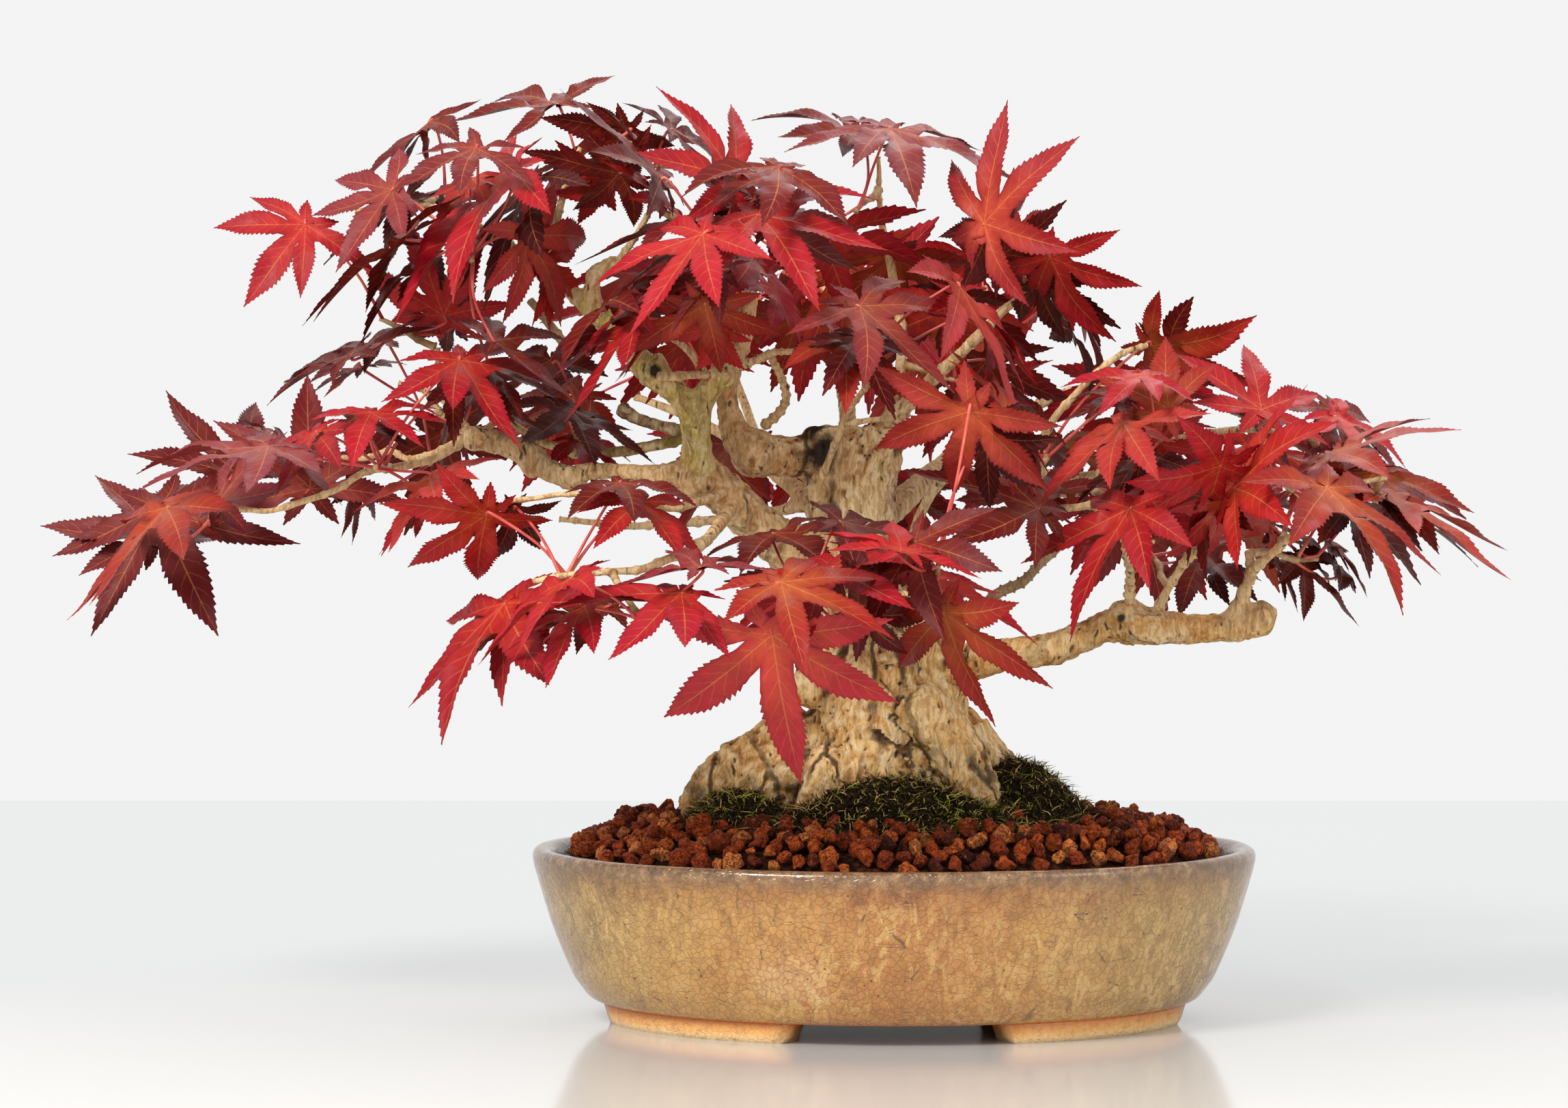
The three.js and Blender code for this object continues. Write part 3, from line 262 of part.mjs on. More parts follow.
// shoots: start point beside its branch, tip of the shoot, leaves it carries
const SHOOTS = [
  [[-42.7,5,166.9], [-49.3,14.3,164], [100,137,142,146]],
  [[-82.3,-0.8,216.9], [-81.2,12.4,216], [7,138]],
  [[-68.4,94.1,160.1], [-65,94.9,171.7], [89,106,122,125]],
  [[-15.7,46.5,178.9], [-13.1,34.4,186.2], [94,105,116,139,143]],
  [[62.2,90.7,132.7], [62.8,102.2,125.3], [124]],
  [[7.9,-70.4,111.8], [9.1,-73,119.2], [23,50,51,55,57]],
  [[-117.2,-4.9,171.7], [-130,-3,178.3], [0,73,74]],
  [[105.3,-11,148.6], [109.8,19.6,145.3], [35,36]],
  [[-5.5,62.2,112.5], [-13.2,63,97.2], [92,93,97,127]],
  [[-44.6,0.6,215.7], [-61.2,8.8,217.8], [11]],
  [[-4.1,8.5,211.7], [-9.5,-2.7,206.2], [14,15,135]],
  [[34.4,-9.1,186.5], [31.3,-7.1,192.9], [25,26,27,28]],
  [[-59.7,-29,176.3], [-52.3,-46.9,178], [18,20,76,77]],
  [[-80.3,13.3,145.9], [-82,10.6,149.9], [70,136,150]],
  [[37.3,-9.5,140.1], [39,7.2,144.5], [29,119,130]],
  [[3.9,13.1,166.6], [16.2,13.9,163.1], [101,109,132,149]],
  [[-105.8,-10.4,201.4], [-106,-27.1,193.2], [1,2,4,5,6,72]],
  [[97.3,-13.9,121.5], [99,-7.3,125.3], [37,44]],
  [[120.8,-24.4,137.3], [120.2,-16,123.7], [40]],
  [[-69.5,-61.8,115.8], [-61.3,-82.3,103.4], [60,61,63,64]],
  [[53.8,85.4,132.5], [63.5,64.2,132.7], [91,96,111,112,114,129]],
  [[-171.8,-7,130.7], [-177.4,11.9,124.3], [78,79,83,86,87,88]],
  [[-43.1,86,171.6], [-41.4,65.8,178.1], [95,103,104,113,118,121]],
  [[91.3,-4.8,119], [108.9,14.1,117], [39,45,46]],
  [[79.4,89.3,136.5], [83.1,86.4,136.7], [128,140,144]],
  [[-1,93.1,118.3], [-20.2,95.9,123.2], [120,131,133,134,147]],
  [[-128.3,-8.8,140.9], [-130.1,-25.9,141.2], [66,71,80,81,82]],
  [[-62.7,-13.3,218.8], [-69.5,-4.3,224.7], [8,9]],
  [[82.9,-32.8,132.7], [84,-39.1,138.2], [41,42]],
  [[-103,35.7,152.9], [-120.2,30.6,141.5], [75,84,85,90,126,141]],
  [[69.3,-8.6,111.2], [66.5,9.1,117.9], [43,123]],
  [[-60.6,-14.2,207.2], [-44.1,-34.8,197.5], [10,12,13,16,17,19]],
  [[-119.7,-7.5,207.5], [-115.2,11.9,210.5], [3,110]],
  [[-7.4,-35,162.3], [-7.1,-49.4,171.1], [21,22,30]],
  [[105.8,-26.2,131.9], [93.6,-37.1,137.8], [34,38]],
  [[54.3,-34.1,126.9], [61.6,-55.2,123.7], [47]],
  [[47.5,-34.3,132], [28.9,-39.6,131.2], [24,48,49]],
  [[28.1,81.6,173.1], [28,81.6,173.1], [98,99,115,117,145]],
  [[-83.1,-60.1,115.1], [-80.3,-44.7,114.3], [62,65,67,68,69]],
  [[-18.8,-69.8,112.3], [-21.8,-67.1,107.4], [52,53,54,56,58,59]],
  [[-5,54.7,116.6], [-2.7,58.1,129.7], [102,108,148]],
  [[67.8,-17.9,148.1], [63.1,-39.1,148.4], [31,32,33]]
];

// ---------- helpers ----------
function tris(verts, faces) {
  const g = new THREE.BufferGeometry();
  g.setAttribute('position', new THREE.Float32BufferAttribute(verts.flat(), 3));
  g.setIndex(faces.flat());
  return g;
}
function solid(g) {
  const h = g.clone();
  h.deleteAttribute('normal');
  h.deleteAttribute('uv');
  const m = mergeVertices(h, 1e-4);
  const p = m.attributes.position, ix = m.index.array, a = new THREE.Vector3(), b = new THREE.Vector3(), c = new THREE.Vector3();
  let vol = 0;
  for (let i = 0; i < ix.length; i += 3) vol += a.fromBufferAttribute(p, ix[i]).dot(b.fromBufferAttribute(p, ix[i + 1]).cross(c.fromBufferAttribute(p, ix[i + 2])));
  if (vol < 0) for (let i = 0; i < ix.length; i += 3) { const t = ix[i]; ix[i] = ix[i + 1]; ix[i + 1] = t; }
  return new wasm.Manifold(new wasm.Mesh({ numProp: 3, vertProperties: new Float32Array(m.attributes.position.array), triVerts: new Uint32Array(m.index.array) }));
}
function geometry(man) {
  const mesh = man.getMesh();
  const n = mesh.vertProperties.length / mesh.numProp;
  const pos = new Float32Array(n * 3);
  for (let i = 0; i < n; i++) for (let k = 0; k < 3; k++) pos[i * 3 + k] = mesh.vertProperties[i * mesh.numProp + k];
  const g = new THREE.BufferGeometry();
  g.setAttribute('position', new THREE.BufferAttribute(pos, 3));
  g.setIndex(new THREE.BufferAttribute(new Uint32Array(mesh.triVerts), 1));
  return g;
}
// every edge, after rounding, belongs to exactly two faces
function sound(man) {
  const mesh = man.getMesh(), n = mesh.numProp, key = new Map(), id = [];
  for (let i = 0; i < mesh.vertProperties.length / n; i++) {
    const k = [0, 1, 2].map((j) => Math.round(mesh.vertProperties[i * n + j] * 1e4)).join(',');
    if (!key.has(k)) key.set(k, key.size);
    id.push(key.get(k));
  }
  const edges = new Map();
  for (let i = 0; i < mesh.triVerts.length; i += 3) {
    const t = [0, 1, 2].map((j) => id[mesh.triVerts[i + j]]);
    if (t[0] === t[1] || t[1] === t[2] || t[0] === t[2]) continue;
    for (let j = 0; j < 3; j++) { const p = t[j], q = t[(j + 1) % 3], e = p < q ? p + '_' + q : q + '_' + p; edges.set(e, (edges.get(e) || 0) + 1); }
  }
  for (const c of edges.values()) if (c !== 2) return false;
  return true;
}
function biggest(man) {
  let last = null;
  for (const tol of [0.04, 0.02, 0.06, 0.01, 0.1, 0.14, 0.2]) {
    let m = man.simplify(tol);
    for (let round = 0; round < 4; round++) {
      const parts = m.decompose();
      m = parts.reduce((a, b) => (b.volume() > a.volume() ? b : a));
      const again = solid(geometry(m));
      if (parts.length <= 1 && again.decompose().length <= 1) { m = again; break; }
      m = again;
    }
    last = m;
    try {
      const g = mergeVertices(geometry(m).toNonIndexed(), 1e-3);
      const w = new wasm.Manifold(new wasm.Mesh({ numProp: 3, vertProperties: new Float32Array(g.attributes.position.array), triVerts: new Uint32Array(g.index.array) }));
      if (sound(m) && sound(w) && w.decompose().length === 1) return w;
    } catch (error) { /* a coarser or finer setting is tried next */ }
  }
  console.log('a body still touches itself');
  return last;
}
function unite(list) {
  let work = list.slice();
  while (work.length > 1) {
    const next = [];
    for (let i = 0; i < work.length; i += 2) next.push(i + 1 < work.length ? work[i].add(work[i + 1]) : work[i]);
    work = next;
  }
  return work[0];
}
const V = (a) => new THREE.Vector3(a[0], a[1], a[2]);
// closed round bar with a radius at every point
function bar(points, sides, extra = 0, squash = null) {
  const P = points.map(V), R = points.map((p) => p[3] + extra);
  const n = P.length, verts = [], faces = [];
  let ref = null;
  for (let i = 0; i < n; i++) {
    const t = new THREE.Vector3().subVectors(P[Math.min(i + 1, n - 1)], P[Math.max(i - 1, 0)]).normalize();
    if (!ref) ref = Math.abs(t.z) < 0.8 ? new THREE.Vector3(0, 0, 1) : new THREE.Vector3(1, 0, 0);
    const u = ref.clone().addScaledVector(t, -ref.dot(t)).normalize();
    ref = u;
    const w = new THREE.Vector3().crossVectors(t, u);
    const c = P[i].clone();
    if (extra && i === 0) c.addScaledVector(t, -extra);
    if (extra && i === n - 1) c.addScaledVector(t, extra);
    for (let k = 0; k < sides; k++) {
      const a = (k + 0.5) * 2 * Math.PI / sides;
      const v = c.clone().addScaledVector(u, R[i] * Math.cos(a)).addScaledVector(w, R[i] * Math.sin(a));
      verts.push(v.toArray());
    }
  }
  for (let i = 0; i < n - 1; i++) for (let k = 0; k < sides; k++) {
    const a = i * sides + k, b = i * sides + (k + 1) % sides, c = a + sides, d = b + sides;
    faces.push([a, b, d], [a, d, c]);
  }
  for (let k = 1; k < sides - 1; k++) {
    faces.push([0, k + 1, k]);
    const o = (n - 1) * sides;
    faces.push([o, o + k, o + k + 1]);
  }
  return tris(verts, faces);
}
function smooth(points, per) {
  const out = [], n = points.length;
  for (let i = 0; i < n - 1; i++) {
    const p0 = points[Math.max(i - 1, 0)], p1 = points[i], p2 = points[i + 1], p3 = points[Math.min(i + 2, n - 1)];
    for (let k = 0; k < per; k++) {
      const t = k / per;
      out.push(p1.map((_, j) => 0.5 * (2 * p1[j] + (p2[j] - p0[j]) * t + (2 * p0[j] - 5 * p1[j] + 4 * p2[j] - p3[j]) * t * t + (3 * p1[j] - p0[j] - 3 * p2[j] + p3[j]) * t * t * t)));
    }
  }
  out.push(points[n - 1]);
  return out;
}
const hash = (i, j) => { const s = Math.sin(i * 127.1 + j * 311.7) * 43758.5453; return s - Math.floor(s); };

// ---------- pot ----------
const OUTER = [[0, POT_BOTTOM_Z], [74.5, POT_BOTTOM_Z], [78, 6.1], [82.2, 11.5], [84.8, 17.8], [88.1, 26.5], [91.1, 36.5], [POT_HALF_LENGTH, 41.6], [91.8, 43.4], [90.2, POT_RIM_Z], [87.6, 43.6]];
const INNER = [[86.4, 41.8], [84.4, 33], [80.6, 22.5], [77, 15], [72, POT_FLOOR_Z], [0, POT_FLOOR_Z]];
function oval(profile, segments = POT_SEGMENTS) {
  const g = new THREE.LatheGeometry(profile.map((p) => new THREE.Vector2(p[0], p[1])), segments);
  g.rotateX(Math.PI / 2);
  g.scale(1, POT_WIDTH_RATIO, 1);
  return g;
}
function innerAt(z) {
  for (let i = 0; i < INNER.length - 1; i++) {
    const [r0, z0] = INNER[i], [r1, z1] = INNER[i + 1];
    if (z <= z0 && z >= z1) return r1 + (r0 - r1) * (z - z1) / (z0 - z1);
  }
  return INNER[0][0];
}
function foot(sx, sy) {
  const n = 4, verts = [], faces = [];
  for (let i = 0; i <= n; i++) {
    for (const top of [0, 1]) {
      const a0 = FOOT_START_DEG - (top ? 1.5 : 0), a1 = FOOT_END_DEG + (top ? 2.2 : 0);
      const a = THREE.MathUtils.degToRad(a0 + (a1 - a0) * i / n);
      const z = top ? POT_BOTTOM_Z + 1.2 : 0;
      const ro = FOOT_OUTER_HALF + (top ? 0.6 : -0.8), ri = ro - FOOT_RADIAL - (top ? 1 : 0);
      for (const r of [ro, ri]) verts.push([sx * r * Math.cos(a), sy * r * POT_WIDTH_RATIO * Math.sin(a), z]);
    }
  }
  // ring order per station: outer-bottom 0, inner-bottom 1, outer-top 2, inner-top 3
  const q = (a, b, c, d) => { faces.push([a, b, c], [a, c, d]); };
  for (let i = 0; i < n; i++) {
    const o = i * 4, p = o + 4;
    q(o, p, p + 2, o + 2);
    q(o + 1, o + 3, p + 3, p + 1);
    q(o + 2, p + 2, p + 3, o + 3);
    q(o, o + 1, p + 1, p);
  }
  q(0, 2, 3, 1);
  const e = n * 4;
  q(e, e + 1, e + 3, e + 2);
  if (sx * sy < 0) faces.forEach((f) => f.reverse());
  return solid(tris(verts, faces));
}
function drill(x, y, r, sides = 16) {
  const g = new THREE.CylinderGeometry(r, r, 20, sides);
  g.rotateX(Math.PI / 2);
  g.translate(x, y, 8);
  return solid(g);
}
let pot = solid(oval([...OUTER, ...INNER]));
if (pot.volume() < 0) throw new Error('pot faces');
for (const sx of [-1, 1]) for (const sy of [-1, 1]) pot = pot.add(foot(sx, sy));
for (const sx of [-1, 1]) {
  pot = pot.subtract(drill(sx * DRAIN_X, 0, DRAIN_R));
  for (const sy of [-1, 1]) pot = pot.subtract(drill(sx * WIRE_HOLE_X, sy * WIRE_HOLE_Y, WIRE_HOLE_R, 10));
}

// ---------- drainage mesh, clips and tie wires ----------
function box(x0, y0, z0, x1, y1, z1) {
  const g = new THREE.BoxGeometry(x1 - x0, y1 - y0, z1 - z0);
  g.translate((x0 + x1) / 2, (y0 + y1) / 2, (z0 + z1) / 2);
  return solid(g);
}
function meshPlate(cx) {
  const h = MESH_SIDE / 2, pitch = 5.5, w = 2, z = POT_FLOOR_Z + GAP;
  let plate = box(cx - h, -h, z, cx + h, h, z + MESH_T);
  for (let i = -1; i <= 1; i++) for (let j = -1; j <= 1; j++) plate = plate.subtract(box(cx + i * pitch - w, j * pitch - w, z - 1, cx + i * pitch + w, j * pitch + w, z + MESH_T + 1));
  return plate;
}
function clip(cx, extra = 0) {
  const top = POT_FLOOR_Z + GAP + MESH_T + CLIP_WIRE_R + GAP;
  const low = POT_BOTTOM_Z - CLIP_WIRE_R - GAP;
  const r = CLIP_WIRE_R;
  const pts = [[cx - 12.5, 0, low, r], [cx - 6.6, 0, low, r], [cx - 5.5, 0, low + 1.1, r], [cx - 5.5, 0, top - 1.1, r], [cx - 4.4, 0, top, r], [cx + 4.4, 0, top, r], [cx + 5.5, 0, top - 1.1, r], [cx + 5.5, 0, low + 1.1, r], [cx + 6.6, 0, low, r], [cx + 12.5, 0, low, r]];
  return bar(pts, 6, extra);
}
function tieWire(cx, extra = 0) {
  const low = POT_BOTTOM_Z - TIE_WIRE_R - GAP, y = WIRE_HOLE_Y, r = TIE_WIRE_R;
  return bar([[cx, -y - 3, 31, r], [cx, -y, 24, r], [cx, -y, low + 2, r], [cx, -y + 2, low, r], [cx, y - 2, low, r], [cx, y, low + 2, r], [cx, y, 24, r], [cx, y + 3, 31, r]], 8, extra);
}
const orient = (man) => man;

// ---------- soil layers ----------
const inOval = (x, y) => Math.sqrt((x / 86) ** 2 + (y / (86 * POT_WIDTH_RATIO)) ** 2);
function surface(x, y) {
  const q = Math.min(inOval(x, y), 1);
  return 40.5 + 9.5 * (1 - q ** 10) + 3 * Math.exp(-((q / 0.6) ** 2));
}
// body between two height functions, bounded by the pot's inner wall less a gap
function layer(low, high, rings, segs) {
  const verts = [], faces = [];
  const put = (fn, side) => {
    const start = verts.length;
    const z0 = fn(0, 0);
    verts.push([0, 0, z0]);
    for (let i = 1; i <= rings; i++) for (let k = 0; k < segs; k++) {
      const a = k * 2 * Math.PI / segs;
      let r = 82 * (i / rings), z = 0;
      if (i === rings) {
        r = 84;
        for (let it = 0; it < 12; it++) { z = fn(r * Math.cos(a), r * POT_WIDTH_RATIO * Math.sin(a)); r = (innerAt(z) - 1.2) * Math.cos(Math.PI / POT_SEGMENTS); }
      } else if (side === 'low') r = Math.min(r, (innerAt(fn(0, 0)) - 6) * i / rings * 1.02);
      const x = r * Math.cos(a), y = r * POT_WIDTH_RATIO * Math.sin(a);
      verts.push([x, y, fn(x, y)]);
    }
    return start;
  };
  const a = put(low, 'low'), b = put(high, 'high');
  const at = (s, i, k) => (i === 0 ? s : s + 1 + (i - 1) * segs + ((k + segs) % segs));
  for (let k = 0; k < segs; k++) {
    faces.push([a, at(a, 1, k + 1), at(a, 1, k)]);
    faces.push([b, at(b, 1, k), at(b, 1, k + 1)]);
    for (let i = 1; i < rings; i++) {
      faces.push([at(a, i, k), at(a, i, k + 1), at(a, i + 1, k)], [at(a, i, k + 1), at(a, i + 1, k + 1), at(a, i + 1, k)]);
      faces.push([at(b, i, k), at(b, i + 1, k), at(b, i, k + 1)], [at(b, i, k + 1), at(b, i + 1, k), at(b, i + 1, k + 1)]);
    }
    faces.push([at(a, rings, k), at(a, rings, k + 1), at(b, rings, k + 1)], [at(a, rings, k), at(b, rings, k + 1), at(b, rings, k)]);
  }
  return solid(tris(verts, faces));
}
const bump = (x, y, amp) => amp * (hash(Math.round(x * 3.1), Math.round(y * 3.7)) - 0.5);
const soilTop = (x, y) => surface(x, y) - DRESSING_T - GAP;
const dressTop = (x, y) => surface(x, y) + bump(x, y, 2.4) * (inOval(x, y) < 0.93 ? 1 : 0.2);

// ---------- the tree's wood ----------
function trunkLoft(extra) {
  const sides = 12, verts = [], faces = [], n = TRUNK.length;
  TRUNK.forEach(([z, cx, hw, cy], i) => {
    for (let k = 0; k < sides; k++) {
      const a = k * 2 * Math.PI / sides;
      const low = Math.max(0, 1 - (z - 33) / 60);
      const w = 1 + (hash(k, 3) - 0.5) * 0.10 + (hash(i, k + 9) - 0.5) * 0.06 + low * 0.06 * Math.sin(3 * a + 0.7);
      const edge = Math.abs(Math.cos(a)) > 0.97 ? 1 : w;
      verts.push([cx + (hw * edge + extra) * Math.cos(a), cy + (hw * TRUNK_DEPTH_RATIO * w + extra) * Math.sin(a), z + (i === n - 1 ? 1.6 * (hash(k, 77) - 0.5) + 1.2 * Math.cos(a) : 0)]);
    }
  });
  for (let i = 0; i < n - 1; i++) for (let k = 0; k < sides; k++) {
    const a = i * sides + k, b = i * sides + (k + 1) % sides, c = a + sides, d = b + sides;
    faces.push([a, b, d], [a, d, c]);
  }
  const cb = verts.length; verts.push([TRUNK[0][1], 0, TRUNK[0][0]]);
  const ct = verts.length; verts.push([TRUNK[n - 1][1], 1, TRUNK[n - 1][0] - 2.5]);
  for (let k = 0; k < sides; k++) {
    faces.push([cb, (k + 1) % sides, k]);
    faces.push([ct, (n - 1) * sides + k, (n - 1) * sides + (k + 1) % sides]);
  }
  return solid(tris(verts, faces));
}
function wood(extra) {
  const list = [trunkLoft(extra)];
  for (const r of ROOTS) list.push(solid(bar(r, 6, extra)));
  for (const [, pts] of BRANCHES) {
    const rm = Math.max(...pts.map((p) => p[3]));
    list.push(solid(bar(pts, rm > 4.5 ? 6 : rm > 2.2 ? 4 : 3, extra)));
  }
  return biggest(unite(list));
}
const tree = wood(0);
const treeFat = wood(GAP);

// ---------- layers with room for roots and wires ----------
const wires = [];
for (const sx of [-1, 1]) { wires.push(solid(tieWire(sx * WIRE_HOLE_X, GAP))); wires.push(solid(clip(sx * DRAIN_X, GAP))); }
const meshRoom = [-1, 1].map((s) => box(s * DRAIN_X - MESH_SIDE / 2 - GAP, -MESH_SIDE / 2 - GAP, POT_FLOOR_Z - 1, s * DRAIN_X + MESH_SIDE / 2 + GAP, MESH_SIDE / 2 + GAP, POT_FLOOR_Z + 2 * GAP + MESH_T));
const room = unite([...wires, ...meshRoom]);
let drainage = layer(() => POT_FLOOR_Z + GAP, () => DRAIN_TOP_Z, 2, 28);
drainage = biggest(drainage.subtract(room));
let soil = layer(() => DRAIN_TOP_Z + GAP, soilTop, 3, 28);
soil = biggest(soil.subtract(unite([treeFat, ...wires])));
let dressing = layer((x, y) => surface(x, y) - DRESSING_T, dressTop, 5, 28);
const dressFull = layer(() => 20, (x, y) => dressTop(x, y) + GAP, 5, 28);
dressing = biggest(dressing.subtract(treeFat));

// ---------- moss ----------
// each: centre x, y, half size x, y, height of its crown above the dressing, seed
const MOSS = {
  moss_left: [-41, -13, 15, 13, 6.5, 1],
  moss_front: [-4, -25, 21, 13, 9.5, 2],
  moss_right: [29, -4, 20, 22, 14, 3],
  moss_back: [-2, 27, 27, 15, 8, 4],
};
function mossPatch([cx, cy, rx, ry, h, seed]) {
  const segs = 13, rings = 2, verts = [], faces = [];
  const wob = (k) => 1 + 0.22 * (hash(k % segs, seed) - 0.5) + 0.10 * Math.sin(3 * k * 2 * Math.PI / segs + seed);
  const base = surface(cx, cy);
  verts.push([cx, cy, base - 8], [cx * 0.86, cy * 0.86, base + h]);
  for (let k = 0; k < segs; k++) {
    const a = k * 2 * Math.PI / segs;
    verts.push([cx + rx * wob(k) * Math.cos(a), cy + ry * wob(k) * Math.sin(a), base - 8]);
  }
  for (let i = 1; i <= rings; i++) for (let k = 0; k < segs; k++) {
    const a = k * 2 * Math.PI / segs, s = i / rings * wob(k);
    const x = cx * (1 - 0.14 * (1 - i / rings)) + rx * s * Math.cos(a), y = cy * (1 - 0.14 * (1 - i / rings)) + ry * s * Math.sin(a);
    verts.push([x, y, (i === rings ? Math.min(base, surface(x, y)) + 0.9 : base + h * (1 - (i / rings) ** 1.6) + 1.4 * (hash(i, k + seed) - 0.5))]);
  }
  const lo = (k) => 2 + (k + segs) % segs, up = (i, k) => 2 + segs * i + (k + segs) % segs;
  for (let k = 0; k < segs; k++) {
    faces.push([0, lo(k + 1), lo(k)], [1, up(1, k), up(1, k + 1)]);
    for (let i = 1; i < rings; i++) faces.push([up(i, k), up(i + 1, k), up(i, k + 1)], [up(i, k + 1), up(i + 1, k), up(i + 1, k + 1)]);
    faces.push([lo(k), lo(k + 1), up(rings, k + 1)], [lo(k), up(rings, k + 1), up(rings, k)]);
  }
  return solid(tris(verts, faces));
}
const moss = {};
let taken = null;
for (const [name, spec] of Object.entries(MOSS)) {
  let m = mossPatch(spec).subtract(dressFull).subtract(treeFat);
  if (taken) m = m.subtract(taken);
  moss[name] = biggest(m);
  const fat = mossPatch([spec[0], spec[1], spec[2] + GAP * 1.5, spec[3] + GAP * 1.5, spec[4] + 1, spec[5]]);
  taken = taken ? taken.add(fat) : fat;
}

// ---------- leaves ----------
const AROUND = [3, 1, 0, 2, 4];   // the five main lobes in order round the blade, seen from its upper side
// one leaf: lens-shaped blade with its petiole growing out of the underside
function leafSolid(leaf, hub, extra, detail) {
  const p = V(leaf), n = new THREE.Vector3(leaf[3], leaf[4], leaf[5]).normalize();
  // a shoot that lies on the blade's upper side takes the petiole from that side
  const over = V(hub).sub(p).dot(n) > 0;
  if (over) n.negate();
  const order = over ? [...AROUND].reverse() : AROUND;
  const tip = (i) => new THREE.Vector3(leaf[6 + i * 3], leaf[7 + i * 3], leaf[8 + i * 3]);
  const axis = tip(0).clone();
  axis.addScaledVector(n, -axis.dot(n)).normalize();
  const rim = [], owner = [];
  for (let k = 0; k < 5; k++) {
    if (k === 2 || k === 3) owner.push(rim.length);
    const t = tip(order[k]), len = t.length();
    const side = new THREE.Vector3().crossVectors(n, t).normalize();
    if (k > 0) {
      const prev = tip(order[k - 1]);
      const m = prev.clone().normalize().add(t.clone().normalize());
      if (m.length() < 0.2) m.copy(side);
      rim.push(m.normalize().multiplyScalar(Math.min(prev.length(), len) * 0.30));
    } else rim.push(t.clone().multiplyScalar(-0.08).addScaledVector(side, len * 0.16));
    if (detail) rim.push(t.clone().multiplyScalar(0.5).addScaledVector(side, len * 0.135).addScaledVector(n, len * 0.05));
    rim.push(t.clone());
    if (detail) rim.push(t.clone().multiplyScalar(0.5).addScaledVector(side, -len * 0.135).addScaledVector(n, len * 0.05));
    if (k === 4) rim.push(t.clone().multiplyScalar(-0.08).addScaledVector(side, -len * 0.16));
  }
  const h = V(hub), verts = [], faces = [];
  if (!extra) {
    // petiole stations: ring frames run along the stalk
    const cross = new THREE.Vector3().crossVectors(axis, n).normalize();
    const s0 = p.clone().addScaledVector(n, -LEAF_HALF_T * 0.9);
    const s1 = p.clone().addScaledVector(n, -2.0).addScaledVector(axis, -1.4);
    const line = [s0, s1, h];
    const top = verts.push(p.clone().addScaledVector(n, LEAF_HALF_T).toArray()) - 1;
    const r0 = verts.length;
    rim.forEach((v) => verts.push(p.clone().add(v).toArray()));
    const q0 = verts.length;
    let u = axis.clone(), w = cross.clone();
    line.forEach((c, i) => {
      const t = i === 0 ? n.clone().negate() : new THREE.Vector3().subVectors(line[Math.min(i + 1, line.length - 1)], line[i - 1]).normalize();
      u = u.clone().addScaledVector(t, -u.dot(t)).normalize();
      w = new THREE.Vector3().crossVectors(t, u).normalize();
      for (let k = 0; k < 3; k++) { const a = k * 2 * Math.PI / 3; verts.push(c.clone().addScaledVector(u, PETIOLE_R * Math.cos(a)).addScaledVector(w, PETIOLE_R * Math.sin(a)).toArray()); }
    });
    const m = rim.length;
    for (let j = 0; j < m; j++) faces.push([top, r0 + (j + 1) % m, r0 + j]);
    // underside: rim loop to the first petiole ring, both seen clockwise from above
    const nearest = rim.map((_, j) => (j < owner[0] ? 2 : j < owner[1] ? 0 : 1));
    // ring vertex k stands at angle -k*120 deg seen from above when w = t x u and t = -n
    for (let j = 0; j < m; j++) {
      const j2 = (j + 1) % m, ka = nearest[j], kb = nearest[j2];
      faces.push([r0 + j, r0 + j2, q0 + ka]);
      if (ka !== kb) faces.push([r0 + j2, q0 + kb, q0 + ka]);
    }
    for (let i = 0; i < line.length - 1; i++) for (let k = 0; k < 3; k++) {
      const A = q0 + i * 3 + k, B = q0 + i * 3 + (k + 1) % 3, C = A + 3, D = B + 3;
      faces.push([A, B, D], [A, D, C]);
    }
    const e = q0 + (line.length - 1) * 3;
    faces.push([e, e + 1, e + 2]);
    return [solid(tris(verts, faces))];
  }
  const e = LEAF_HALF_T + extra;
  verts.push(p.clone().addScaledVector(n, e).toArray(), p.clone().addScaledVector(n, -e).toArray());
  rim.forEach((v) => { const w = v.clone().multiplyScalar(1 + extra * 1.6 / Math.max(v.length(), 3)); verts.push(p.clone().add(w).addScaledVector(n, extra).toArray(), p.clone().add(w).addScaledVector(n, -extra).toArray()); });
  const m = rim.length;
  for (let j = 0; j < m; j++) {
    const a = 2 + j * 2, b = 2 + ((j + 1) % m) * 2;
    faces.push([0, b, a], [1, a + 1, b + 1], [a, b, b + 1], [a, b + 1, a + 1]);
  }
  const s1 = p.clone().addScaledVector(n, -2.0).addScaledVector(axis, -1.4);
  const stalk = bar([[...p.toArray(), PETIOLE_R], [...s1.toArray(), PETIOLE_R], [...h.toArray(), PETIOLE_R]], 3, extra * 1.6);
  return [solid(tris(verts, faces)), solid(stalk)];
}
function shootPieces([start, hub, ids], extra) {
  const s = V(start), h = V(hub), d = h.clone().sub(s), list = [];
  const step = Math.min(2.4, d.length() / (ids.length + 1)), dir = d.clone().normalize();
  const end = h.clone().addScaledVector(d.clone().normalize(), 0.8);
  list.push(solid(bar([[...start, TWIG_R], [...end.toArray(), TWIG_R * 0.9]], 4, extra)));
  ids.forEach((i, k) => list.push(...leafSolid(LEAVES[i], h.clone().addScaledVector(dir, -step * k).toArray(), extra, i < FRONT_LEAVES)));
  return list;
}
const box3 = (man) => { const b = man.boundingBox(); return b; };
const meet = (a, b) => a.min[0] < b.max[0] && a.max[0] > b.min[0] && a.min[1] < b.max[1] && a.max[1] > b.min[1] && a.min[2] < b.max[2] && a.max[2] > b.min[2];
const done = [];
const shoots = [];
